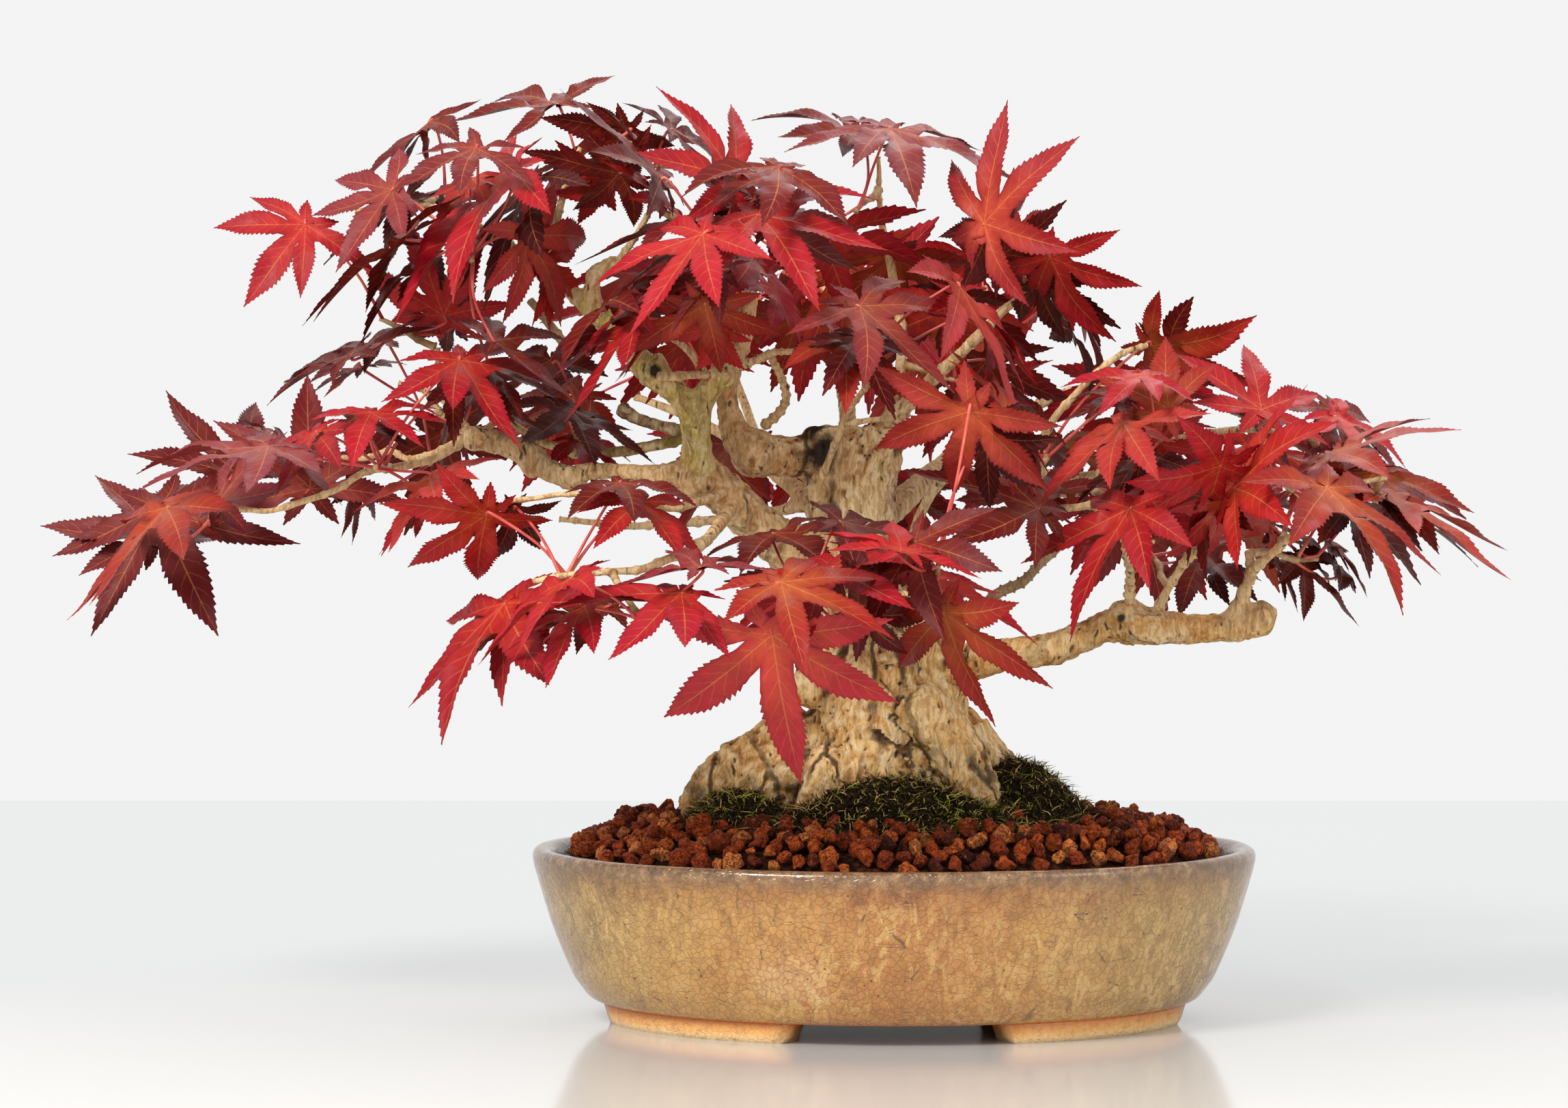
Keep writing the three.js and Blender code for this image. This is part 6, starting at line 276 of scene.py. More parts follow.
  (-87.7,12.4,167.6,-0.4,0.38,0.83,-24.3,11.9,-21.1,-22.6,-11.8,-9.1,-0.9,23.5,-14.9,-8.8,-19.3,1.9,13.8,16.7,-3.7,3.1,-8.7,4.2,10.2,1.9,2.8,4)
]
SHOOTS = [
  ((-42.7,5,166.9), (-49.3,14.3,164), [100,137,142,146], (-41,2.5,167.7,2.73)),
  ((-82.3,-0.8,216.9), (-81.2,12.4,216), [7,138], (-82.4,-1.9,217,0.73)),
  ((-68.4,94.1,160.1), (-65,94.9,171.7), [89,106,122,125], (-68.8,94,158.7,0.93)),
  ((-15.7,46.5,178.9), (-13.1,34.4,186.2), [94,105,116,139,143], (-16,48.1,177.9,1.49)),
  ((62.2,90.7,132.7), (62.8,102.2,125.3), [124], (62.2,89.5,133.4,0.94)),
  ((7.9,-70.4,111.8), (9.1,-73,119.2), [23,50,51,55,57], (7.7,-70,110.6,0.74)),
  ((-117.2,-4.9,171.7), (-130,-3,178.3), [0,73,74], (-116.2,-5,171.2,0.69)),
  ((105.3,-11,148.6), (109.8,19.6,145.3), [35,36], (105.1,-12,148.7,0.6)),
  ((-5.5,62.2,112.5), (-13.2,63,97.2), [92,93,97,127], (-4.5,62,114.7,1.99)),
  ((-44.6,0.6,215.7), (-61.2,8.8,217.8), [11], (-43.4,0,215.5,0.87)),
  ((-4.1,8.5,211.7), (-9.5,-2.7,206.2), [14,15,135], (-3.6,9.5,212.2,0.68)),
  ((34.4,-9.1,186.5), (31.3,-7.1,192.9), [25,26,27,28], (35,-9.5,185.3,0.88)),
  ((-59.7,-29,176.3), (-52.3,-46.9,178), [18,20,76,77], (-60.1,-28,176.2,0.68)),
  ((-80.3,13.3,145.9), (-82,10.6,149.9), [70,136,150], (-79.6,14.3,144.4,1.47)),
  ((37.3,-9.5,140.1), (39,7.2,144.5), [29,119,130], (37.1,-11.4,139.6,1.5)),
  ((3.9,13.1,166.6), (16.2,13.9,163.1), [101,109,132,149], (1.9,13,167.2,1.64)),
  ((-105.8,-10.4,201.4), (-106,-27.1,193.2), [1,2,4,5,6,72], (-105.8,-9,202.1,1.06)),
  ((97.3,-13.9,121.5), (99,-7.3,125.3), [37,44], (97,-15.1,120.8,0.98)),
  ((120.8,-24.4,137.3), (120.2,-16,123.7), [40], (120.9,-24.9,138.3,0.61)),
  ((-69.5,-61.8,115.8), (-61.3,-82.3,103.4), [60,61,63,64], (-69.9,-60.8,116.4,0.82)),
  ((53.8,85.4,132.5), (63.5,64.2,132.7), [91,96,111,112,114,129], (53.1,86.8,132.5,1.06)),
  ((-171.8,-7,130.7), (-177.4,11.9,124.3), [78,79,83,86,87,88], (-171.5,-8,131,0.61)),
  ((-43.1,86,171.6), (-41.4,65.8,178.1), [95,103,104,113,118,121], (-43.2,87.4,171.1,0.99)),
  ((91.3,-4.8,119), (108.9,14.1,117), [39,45,46], (90.2,-6,119.2,1.21)),
  ((79.4,89.3,136.5), (83.1,86.4,136.7), [128,140,144], (78.4,90,136.4,0.75)),
  ((-1,93.1,118.3), (-20.2,95.9,123.2), [120,131,133,134,147], (0.5,92.9,117.9,1.15)),
  ((-128.3,-8.8,140.9), (-130.1,-25.9,141.2), [66,71,80,81,82], (-128.2,-7.5,140.8,0.87)),
  ((-62.7,-13.3,218.8), (-69.5,-4.3,224.7), [8,9], (-62.1,-14,218.4,0.55)),
  ((82.9,-32.8,132.7), (84,-39.1,138.2), [41,42], (82.7,-32,132,0.68)),
  ((-103,35.7,152.9), (-120.2,30.6,141.5), [75,84,85,90,126,141], (-102,36,153.6,0.81)),
  ((69.3,-8.6,111.2), (66.5,9.1,117.9), [43,123], (69.5,-10,110.7,1.04)),
  ((-60.6,-14.2,207.2), (-44.1,-34.8,197.5), [10,12,13,16,17,19], (-61.2,-13.4,207.6,0.66)),
  ((-119.7,-7.5,207.5), (-115.2,11.9,210.5), [3,110], (-119.9,-8.6,207.3,0.73)),
  ((-7.4,-35,162.3), (-7.1,-49.4,171.1), [21,22,30], (-7.4,-34,161.7,0.68)),
  ((105.8,-26.2,131.9), (93.6,-37.1,137.8), [34,38], (106.7,-25.5,131.5,0.74)),
  ((54.3,-34.1,126.9), (61.6,-55.2,123.7), [47], (54,-33,127,0.73)),
  ((47.5,-34.3,132), (28.9,-39.6,131.2), [24,48,49], (48.6,-34,132,0.68)),
  ((28.1,81.6,173.1), (28,81.6,173.1), [98,99,115,117,145], (29.4,81.3,172.4,1.07)),
  ((-83.1,-60.1,115.1), (-80.3,-44.7,114.3), [62,65,67,68,69], (-83.3,-61.2,115.2,0.69)),
  ((-18.8,-69.8,112.3), (-21.8,-67.1,107.4), [52,53,54,56,58,59], (-18.1,-70.4,113.5,1.04)),
  ((-5,54.7,116.6), (-2.7,58.1,129.7), [102,108,148], (-5.5,54.1,114,2.23)),
  ((67.8,-17.9,148.1), (63.1,-39.1,148.4), [31,32,33], (68.1,-16.6,148.1,0.99))
]
FRONT = 89

# ---------------------------------------------------------------- helpers
def srgb(r, g, b):
    f = lambda c: c / 12.92 if c <= 0.04045 else ((c + 0.055) / 1.055) ** 2.4
    return tuple(f(v / 255.0) for v in (r, g, b))


def to_m(v):
    a = np.asarray(v, float) * 0.001
    a[..., 0] += SX
    a[..., 1] += SY
    return a


def new_mesh(name, verts, faces, smooth=True, mats=None, mat_index=None):
    me = bpy.data.meshes.new(name)
    me.from_pydata([tuple(v) for v in to_m(verts)], [], [tuple(int(i) for i in f) for f in faces])
    me.update()
    if smooth:
        me.polygons.foreach_set("use_smooth", [True] * len(me.polygons))
    ob = bpy.data.objects.new(name, me)
    bpy.context.scene.collection.objects.link(ob)
    for m in mats or []:
        me.materials.append(m)
    if mat_index is not None:
        me.polygons.foreach_set("material_index", [int(i) for i in mat_index])
    return ob


def catmull(pts, n):
    pts = np.asarray(pts, float)
    out = []
    m = len(pts)
    for i in range(m - 1):
        p0, p1, p2, p3 = pts[max(i - 1, 0)], pts[i], pts[i + 1], pts[min(i + 2, m - 1)]
        for k in range(n):
            t = k / n
            out.append(0.5 * (2 * p1 + (p2 - p0) * t + (2 * p0 - 5 * p1 + 4 * p2 - p3) * t * t + (3 * p1 - p0 - 3 * p2 + p3) * t ** 3))
    out.append(pts[-1])
    return np.array(out)


def tube(pts, sides, caps=True):
    """verts, faces of a tube through [x, y, z, r] points"""
    P = np.asarray(pts, float)
    n = len(P)
    verts, faces = [], []
    ref = None
    for i in range(n):
        t = P[min(i + 1, n - 1), :3] - P[max(i - 1, 0), :3]
        t = t / max(np.linalg.norm(t), 1e-9)
        if ref is None:
            ref = np.array([0, 0, 1.0]) if abs(t[2]) < 0.8 else np.array([1.0, 0, 0])
        u = ref - t * (ref @ t)
        u /= max(np.linalg.norm(u), 1e-9)
        ref = u
        w = np.cross(t, u)
        for k in range(sides):
            a = 2 * math.pi * k / sides
            verts.append(P[i, :3] + P[i, 3] * (math.cos(a) * u + math.sin(a) * w))
    for i in range(n - 1):
        for k in range(sides):
            a, b = i * sides + k, i * sides + (k + 1) % sides
            faces.append((a, b, b + sides, a + sides))
    if caps:
        faces.append(tuple(range(sides - 1, -1, -1)))
        faces.append(tuple(range((n - 1) * sides, n * sides)))
    return verts, faces


def join(parts):
    V, F, M = [], [], []
    for p in parts:
        o = len(V)
        V.extend(p[0])
        F.extend([tuple(i + o for i in f) for f in p[1]])
        M.extend([p[2] if len(p) > 2 else 0] * len(p[1]))
    return V, F, M


# ---------------------------------------------------------------- node helpers
class Nodes:
    def __init__(self, name):
        self.mat = bpy.data.materials.new(name)
        self.mat.use_nodes = True
        self.t = self.mat.node_tree
        self.b = self.t.nodes["Principled BSDF"]
        self.co = None

    def n(self, kind, **kw):
        nd = self.t.nodes.new(kind)
        for k, v in kw.items():
            setattr(nd, k, v)
        return nd

    def link(self, a, b):
        self.t.links.new(a, b)

    def coord(self):
        if self.co is None:
            self.co = self.n("ShaderNodeTexCoord").outputs["Object"]
        return self.co

    def mapping(self, scale, src=None, rot=(0, 0, 0)):
        m = self.n("ShaderNodeMapping")
        m.inputs["Scale"].default_value = scale if hasattr(scale, "__len__") else (scale,) * 3
        m.inputs["Rotation"].default_value = rot
        self.link(src or self.coord(), m.inputs["Vector"])
        return m.outputs[0]

    def noise(self, scale, detail=4, rough=0.55, dist=0.0, src=None, out="Fac"):
        nd = self.n("ShaderNodeTexNoise")
        nd.inputs["Scale"].default_value = scale
        nd.inputs["Detail"].default_value = detail
        nd.inputs["Roughness"].default_value = rough
        nd.inputs["Distortion"].default_value = dist
        self.link(src or self.coord(), nd.inputs["Vector"])
        return nd.outputs[out]

    def voronoi(self, scale, feature="F1", src=None, out="Distance", rand=1.0):
        nd = self.n("ShaderNodeTexVoronoi", feature=feature)
        nd.inputs["Scale"].default_value = scale
        nd.inputs["Randomness"].default_value = rand
        self.link(src or self.coord(), nd.inputs["Vector"])
        return nd.outputs[out]

    def ramp(self, fac, stops, mode="LINEAR"):
        r = self.n("ShaderNodeValToRGB")
        r.color_ramp.interpolation = mode
        e = r.color_ramp.elements
        while len(e) < len(stops):
            e.new(0.5)
        for el, (p, c) in zip(e, stops):
            el.position = p
            el.color = (*c, 1) if len(c) == 3 else c
        self.link(fac, r.inputs["Fac"])
        return r.outputs["Color"]

    def vramp(self, fac, stops):
        return self.ramp(fac, [(p, (v, v, v)) for p, v in stops])

    def mix(self, fac, a, b, mode="MIX"):
        m = self.n("ShaderNodeMix", data_type="RGBA", blend_type=mode)
        for sock, v in ((m.inputs[0], fac), (m.inputs[6], a), (m.inputs[7], b)):
            if isinstance(v, (int, float)):
                sock.default_value = v
            elif isinstance(v, tuple):
                sock.default_value = (*v, 1)
            else:
                self.link(v, sock)
        return m.outputs[2]

    def math(self, op, a, b=0.0, c=0.0, clamp=False):
        m = self.n("ShaderNodeMath", operation=op, use_clamp=clamp)
        for i, v in enumerate((a, b, c)):
            if isinstance(v, (int, float)):
                m.inputs[i].default_value = v
            else:
                self.link(v, m.inputs[i])
        return m.outputs[0]

    def attr(self, name, out="Color"):
        a = self.n("ShaderNodeAttribute", attribute_name=name)
        return a.outputs[out]

    def sep(self, v):
        s = self.n("ShaderNodeSeparateXYZ")
        self.link(v, s.inputs[0])
        return s.outputs

    def bump(self, height, strength, dist, normal=None):
        b = self.n("ShaderNodeBump")
        b.inputs["Strength"].default_value = strength
        b.inputs["Distance"].default_value = dist
        self.link(height, b.inputs["Height"])
        if normal is not None:
            self.link(normal, b.inputs["Normal"])
        return b.outputs[0]

    def out(self, color=None, rough=None, normal=None, **kw):
        if color is not None:
            if isinstance(color, tuple):
                self.b.inputs["Base Color"].default_value = (*color, 1)
            else:
                self.link(color, self.b.inputs["Base Color"])
        if rough is not None:
            if isinstance(rough, (int, float)):
                self.b.inputs["Roughness"].default_value = rough
            else:
                self.link(rough, self.b.inputs["Roughness"])
        if normal is not None:
            self.link(normal, self.b.inputs["Normal"])
        for k, v in kw.items():
            self.b.inputs[k.replace("_", " ")].default_value = v
        return self.mat


# ---------------------------------------------------------------- materials
def leaf_material():
    m = Nodes("leaf_red")
    uv = m.n("ShaderNodeUVMap", uv_map="lobe").outputs[0]
    s = m.sep(uv)
    u, v = s[0], s[1]
    tint, core = m.attr("tint"), m.attr("core")
    nz = m.noise(90, 3, 0.6)
    # centre of the blade to lobe ends
    cf = m.math("ADD", m.math("MULTIPLY", u, -1.55), 1.0)
    cf = m.math("ADD", cf, m.math("MULTIPLY", m.math("SUBTRACT", nz, 0.5), 0.9), clamp=True)
    cf = m.math("MULTIPLY", cf, m.math("SUBTRACT", 1.0, m.math("MULTIPLY", v, 0.62)), clamp=True)
    col = m.mix(cf, tint, core)
    # blotches and fine grain
    col = m.mix(m.vramp(m.noise(260, 4, 0.65, 0.5), [(0.45, 0.0), (0.75, 0.38)]), col, m.mix(1.0, col, (0.45, 0.30, 0.32), "MULTIPLY"))
    col = m.mix(m.vramp(m.noise(700, 3, 0.6), [(0.5, 0.0), (0.72, 0.30)]), col, m.mix(1.0, col, (1.35, 1.25, 1.15), "MULTIPLY"))
    # dark rim of the serrated edge
    col = m.mix(m.vramp(v, [(0.78, 0.0), (0.99, 0.55)]), col, m.mix(1.0, col, (0.50, 0.28, 0.32), "MULTIPLY"))
    # side veins and midrib
    side = m.math("FRACT", m.math("SUBTRACT", m.math("MULTIPLY", u, 9.0), m.math("MULTIPLY", v, 1.5)))
    tri = m.math("ABSOLUTE", m.math("SUBTRACT", side, 0.5))
    veins = m.vramp(tri, [(0.0, 1.0), (0.045, 0.55), (0.09, 0.0)])
    veins = m.math("MULTIPLY", veins, m.vramp(v, [(0.0, 1.0), (0.85, 0.25), (1.0, 0.0)]))
    mid = m.vramp(v, [(0.0, 1.0), (0.03, 0.8), (0.065, 0.0)])
    light = m.mix(0.55, col, srgb(244, 160, 96))
    col = m.mix(m.math("MULTIPLY", veins, 0.30), col, light)
    col = m.mix(m.math("MULTIPLY", mid, 0.70), col, m.mix(0.45, col, srgb(240, 150, 96)))
    h = m.math("ADD", m.math("MULTIPLY", veins, -0.5), m.math("MULTIPLY", mid, -1.0))
    h = m.math("ADD", h, m.math("MULTIPLY", m.noise(900, 3, 0.6), 0.45))
    nrm = m.bump(h, 0.55, 0.00022)
    rough = m.vramp(m.noise(220, 3, 0.6), [(0.3, 0.42), (0.7, 0.62)])
    return m.out(col, rough, nrm, Specular_IOR_Level=0.24)


def petiole_material():
    m = Nodes("petiole_pink")
    col = m.ramp(m.noise(120, 3), [(0.3, srgb(176, 40, 48)), (0.55, srgb(222, 96, 84)), (0.8, srgb(236, 150, 118))])
    return m.out(col, 0.4, m.bump(m.noise(1200, 2), 0.3, 0.0001))


def twig_material():
    m = Nodes("twig_bark")
    st = m.mapping((1, 1, 1))
    col = m.ramp(m.noise(160, 5, 0.6, 0.4, st), [(0.25, srgb(120, 84, 50)), (0.45, srgb(186, 146, 96)), (0.62, srgb(222, 190, 140)), (0.8, srgb(240, 222, 182))])
    col = m.mix(m.vramp(m.noise(420, 4), [(0.52, 0.0), (0.7, 0.7)]), col, srgb(92, 58, 36))
    return m.out(col, 0.65, m.bump(m.noise(700, 4), 0.6, 0.0003))


def bark_material():
    m = Nodes("bark")
    tone = m.attr("tone")
    dark = m.attr("dark", "Fac")
    crack = m.attr("crack", "Fac")
    z = m.sep(m.coord())[2]
    warp = m.n("ShaderNodeVectorMath", operation="ADD")
    m.link(m.coord(), warp.inputs[0])
    wn = m.n("ShaderNodeVectorMath", operation="SCALE")
    m.link(m.noise(110, 3, out="Color"), wn.inputs[0])
    wn.inputs["Scale"].default_value = 0.006
    m.link(wn.outputs[0], warp.inputs[1])
    tall = m.mapping((1, 1, 0.28), warp.outputs[0])
    fine = m.noise(520, 6, 0.7, 0.6, tall)
    broad = m.noise(70, 4, 0.6, 0.3)
    col = m.mix(m.vramp(broad, [(0.42, 0.0), (0.76, 0.45)]), tone, m.mix(1.0, tone, srgb(226, 168, 112), "MULTIPLY"))
    col = m.mix(m.vramp(m.noise(150, 5, 0.7, 0.5), [(0.50, 0.0), (0.66, 0.75)]), col, m.mix(0.55, tone, srgb(252, 238, 206)))
    col = m.mix(m.vramp(fine, [(0.48, 0.0), (0.62, 0.62)]), col, m.mix(1.0, col, (0.50, 0.34, 0.22), "MULTIPLY"))
    # painted light from the bark relief: painted shade where the relief is low, painted highlight where it is high
    relief_light = m.attr("relief_light", "Fac")
    col = m.mix(m.vramp(relief_light, [(0.12, 0.85), (0.50, 0.0)]), col, m.mix(1.0, tone, srgb(150, 96, 48), "MULTIPLY"))
    col = m.mix(m.vramp(relief_light, [(0.52, 0.0), (0.84, 0.72)]), col, srgb(255, 242, 208))
    grain = m.noise(900, 4, 0.65, 0.4, m.mapping((1, 1, 0.10), warp.outputs[0]))
    col = m.mix(m.vramp(grain, [(0.47, 0.0), (0.58, 0.66)]), col, m.mix(1.0, col, (0.58, 0.40, 0.24), "MULTIPLY"))
    # small dark pits and short vertical cracks
    pits = m.voronoi(420, src=tall)
    col = m.mix(m.vramp(pits, [(0.10, 0.85), (0.22, 0.0)]), col, srgb(66, 38, 22))
    edge = m.voronoi(95, "DISTANCE_TO_EDGE", src=tall)
    sel = m.vramp(m.noise(60, 3), [(0.42, 0.0), (0.52, 1.0)])
    lines = m.math("MULTIPLY", m.vramp(edge, [(0.0, 1.0), (0.035, 0.8), (0.07, 0.0)]), sel)
    col = m.mix(m.math("MULTIPLY", m.math("MULTIPLY", lines, 0.9), m.math("ADD", m.math("MULTIPLY", m.attr("old", "Fac"), 0.9), 0.1)), col, srgb(44, 26, 16))
    col = m.mix(1.0, col, (1.0, 0.91, 0.76), "MULTIPLY")
    # cut in fissures, and painted shade in the marked hollows
    col = m.mix(m.vramp(crack, [(0.25, 0.0), (0.8, 0.92)]), col, srgb(52, 30, 18))
    hollow_shade_mix = m.math("ADD", dark, m.math("MULTIPLY", m.math("SUBTRACT", m.noise(300, 5, 0.7), 0.5), 0.7), clamp=True)
    col = m.mix(m.vramp(hollow_shade_mix, [(0.35, 0.0), (0.72, 0.96)]), col, srgb(30, 22, 18))
    # moss stain near the soil
    low = m.math("MULTIPLY", m.math("SUBTRACT", 0.068, z), 90.0, clamp=True)
    low = m.math("MULTIPLY", low, m.vramp(m.noise(190, 5, 0.7), [(0.42, 0.0), (0.62, 1.0)]))
    col = m.mix(m.math("MULTIPLY", low, 0.9), col, srgb(58, 46, 20))
    h = m.math("ADD", m.math("MULTIPLY", fine, -0.8), m.math("MULTIPLY", lines, -1.2))
    h = m.math("ADD", h, m.math("MULTIPLY", m.vramp(pits, [(0.05, 0.0), (0.25, 1.0)]), 0.6))
    h = m.math("ADD", h, m.math("MULTIPLY", m.noise(1100, 4, 0.7), 0.5))
    return m.out(col, m.vramp(fine, [(0.3, 0.62), (0.7, 0.85)]), m.bump(h, 0.9, 0.0006), Specular_IOR_Level=0.28)


def glaze_material():
    m = Nodes("ochre_glaze")
    x, y, z = m.sep(m.coord())[:3]
    ax = m.math("MULTIPLY", m.math("ABSOLUTE", m.math("SUBTRACT", x, SX)), 1 / 0.0923)
    cloud = m.noise(32, 5, 0.6, 0.4)
    a = m.math("ADD", ax, m.math("MULTIPLY", m.math("SUBTRACT", cloud, 0.5), 0.7))
    col = m.ramp(a, [(0.12, srgb(200, 144, 82)), (0.34, srgb(208, 160, 92)), (0.58, srgb(204, 168, 102)), (0.82, srgb(190, 162, 98)), (1.0, srgb(156, 136, 82))])
    # run marks down the wall and olive and brown mottling
    runs = m.noise(90, 5, 0.65, 0.3, m.mapping((1, 1, 0.35)))
    col = m.mix(m.vramp(runs, [(0.50, 0.0), (0.66, 0.32)]), col, srgb(156, 102, 50))
    mott = m.noise(150, 6, 0.7, 0.6)
    ol = m.math("MULTIPLY", m.vramp(mott, [(0.50, 0.0), (0.64, 0.36)]), m.vramp(ax, [(0.35, 0.12), (0.85, 1.0)]))
    col = m.mix(ol, col, srgb(104, 92, 44))
    col = m.mix(m.vramp(m.noise(330, 5, 0.7), [(0.52, 0.0), (0.68, 0.38)]), col, srgb(218, 190, 130))
    # fine crackle
    wv = m.n("ShaderNodeVectorMath", operation="ADD")
    m.link(m.coord(), wv.inputs[0])
    sc = m.n("ShaderNodeVectorMath", operation="SCALE")
    m.link(m.noise(260, 3, out="Color"), sc.inputs[0])
    sc.inputs["Scale"].default_value = 0.0016
    m.link(sc.outputs[0], wv.inputs[1])
    net = m.voronoi(560, "DISTANCE_TO_EDGE", src=wv.outputs[0])
    craze = m.vramp(net, [(0.0, 1.0), (0.05, 0.5), (0.11, 0.0)])
    col = m.mix(m.math("MULTIPLY", craze, 0.40), col, srgb(120, 74, 34))
    cell = m.voronoi(560, "F1", src=wv.outputs[0], out="Color")
    cellv = m.n("ShaderNodeSeparateColor")
    m.link(cell, cellv.inputs[0])
    col = m.mix(m.math("MULTIPLY", cellv.outputs[0], 0.22), col, srgb(146, 104, 52))
    streak = m.noise(240, 6, 0.72, 1.2, m.mapping((1, 1, 0.45)))
    col = m.mix(m.math("MULTIPLY", m.vramp(streak, [(0.50, 0.0), (0.60, 0.70)]), m.vramp(m.noise(26, 3), [(0.40, 0.15), (0.62, 1.0)])), col, srgb(232, 204, 140))
    col = m.mix(m.math("MULTIPLY", m.vramp(streak, [(0.36, 0.75), (0.46, 0.0)]), m.vramp(m.noise(30, 3, src=m.mapping((1, 1, 1), None, (0.4, 0, 1))), [(0.40, 0.15), (0.62, 1.0)])), col, srgb(118, 88, 40))
    # pits, specks and short scratches
    pit = m.voronoi(300)
    pits = m.math("MULTIPLY", m.vramp(pit, [(0.05, 1.0), (0.12, 0.0)]), m.vramp(m.noise(110, 3), [(0.48, 0.0), (0.55, 1.0)]))
    col = m.mix(m.math("MULTIPLY", pits, 0.8), col, srgb(70, 42, 22))
    spk = m.math("MULTIPLY", m.vramp(m.voronoi(170), [(0.025, 1.0), (0.05, 0.0)]), m.vramp(m.noise(50, 2), [(0.5, 0.0), (0.56, 1.0)]))
    col = m.mix(spk, col, srgb(238, 232, 214))
    scr = m.voronoi(120, "DISTANCE_TO_EDGE", src=m.mapping((0.35, 0.35, 1.4), wv.outputs[0], (0.2, 0.5, 0.4)))
    scs = m.math("MULTIPLY", m.vramp(scr, [(0.0, 1.0), (0.014, 0.0)]), m.vramp(m.noise(140, 2), [(0.58, 0.0), (0.62, 1.0)]))
    col = m.mix(m.math("MULTIPLY", scs, 0.8), col, srgb(60, 44, 34))
    # a darker band below the rim, the grey-brown rim, and the inside
    zb = m.math("ADD", z, m.math("MULTIPLY", m.math("SUBTRACT", m.noise(120, 4, 0.6), 0.5), 0.006))
    band = m.vramp(m.math("MULTIPLY", m.math("SUBTRACT", m.math("ADD", zb, m.math("MULTIPLY", m.math("SUBTRACT", m.noise(60, 4), 0.5), 0.008)), 0.0310), 130.0, clamp=True), [(0.0, 0.0), (1.0, 0.55)])
    col = m.mix(band, col, m.mix(1.0, col, srgb(196, 160, 140), "MULTIPLY"))
    rim = m.vramp(m.math("MULTIPLY", m.math("SUBTRACT", zb, 0.0380), 240.0, clamp=True), [(0.0, 0.0), (1.0, 0.9)])
    rimc = m.ramp(m.noise(300, 5, 0.7), [(0.3, srgb(78, 58, 44)), (0.5, srgb(124, 98, 72)), (0.72, srgb(188, 160, 122))])
    col = m.mix(rim, col, rimc)
    r2 = m.n("ShaderNodeVectorMath", operation="LENGTH")
    v2 = m.n("ShaderNodeCombineXYZ")
    m.link(m.math("SUBTRACT", x, SX), v2.inputs[0])
    m.link(m.math("DIVIDE", m.math("SUBTRACT", y, SY), RATIO), v2.inputs[1])
    m.link(v2.outputs[0], r2.inputs[0])
    inside = m.attr("inside", "Fac")
    col = m.mix(m.math("MULTIPLY", inside, 0.92), col, m.ramp(m.noise(140, 5), [(0.3, srgb(84, 74, 64)), (0.7, srgb(150, 136, 114))]))
    col = m.mix(1.0, col, (0.90, 0.79, 0.64), "MULTIPLY")
    foot = m.attr("foot", "Fac")
    # unglazed clay of the feet, partly painted highlight: cream at the bottom, orange-brown higher up
    clay_and_highlight = m.ramp(m.math("ADD", m.math("MULTIPLY", z, 170.0), m.math("MULTIPLY", m.noise(240, 5, 0.7), 0.35)), [(0.12, srgb(252, 226, 176)), (0.62, srgb(236, 176, 100)), (1.0, srgb(206, 124, 58))])
    clay_and_highlight = m.mix(m.vramp(m.noise(700, 4, 0.7), [(0.5, 0.0), (0.7, 0.5)]), clay_and_highlight, srgb(150, 88, 42))
    col = m.mix(foot, col, clay_and_highlight)
    h = m.math("ADD", m.math("MULTIPLY", craze, -0.6), m.math("MULTIPLY", pits, -1.4))
    h = m.math("ADD", h, m.math("MULTIPLY", m.noise(210, 4, 0.55), 2.2))
    h = m.math("ADD", h, m.math("MULTIPLY", m.noise(850, 4, 0.6), 0.5))
    h = m.math("ADD", h, m.math("MULTIPLY", scs, -0.8))
    rough = m.math("ADD", m.vramp(m.noise(260, 4, 0.65), [(0.35, 0.14), (0.7, 0.36)]), m.math("MULTIPLY", foot, 0.5), clamp=True)
    return m.out(col, rough, m.bump(h, 0.6, 0.00030), Specular_IOR_Level=0.6, Coat_Weight=0.5, Coat_Roughness=0.08)


def grain_material(name, warm=1.0):
    m = Nodes(name)
    tint = m.attr("tint")
    co = m.coord()
    ridg = m.noise(900, 5, 0.75, 1.2)
    col = m.mix(m.vramp(m.noise(330, 5, 0.7, 0.6), [(0.35, 0.0), (0.62, 0.9)]), tint, m.mix(1.0, tint, (1.75, 1.5, 1.25), "MULTIPLY"))
    # painted shade where the bump relief is low, and painted highlight on its raised parts in the next mix
    col = m.mix(m.vramp(ridg, [(0.44, 0.95), (0.53, 0.0)]), col, m.mix(1.0, tint, (0.22, 0.16, 0.14), "MULTIPLY"))
    col = m.mix(m.vramp(ridg, [(0.60, 0.0), (0.74, 0.85)]), col, srgb(240, 172, 118))
    h = m.math("ADD", m.math("MULTIPLY", ridg, 1.0), m.math("MULTIPLY", m.noise(2200, 3, 0.7), 0.4))
    return m.out(col, 0.62, m.bump(h, 1.0, 0.0012), Specular_IOR_Level=0.22)


def earth_material(name, a, b, c, scale=420):
    m = Nodes(name)
    cells = m.voronoi(scale, "DISTANCE_TO_EDGE")
    col = m.ramp(m.noise(scale * 0.8, 5, 0.7), [(0.3, a), (0.5, b), (0.72, c)])
    # painted shade: the gaps between the grains are darkened
    col = m.mix(m.vramp(cells, [(0.0, 0.95), (0.12, 0.0)]), col, srgb(18, 10, 7))
    return m.out(col, 0.92, m.bump(m.math("ADD", m.vramp(cells, [(0.0, 0.0), (0.3, 1.0)]), m.math("MULTIPLY", m.noise(1500, 4), 0.4)), 1.0, 0.0012), Specular_IOR_Level=0.12)


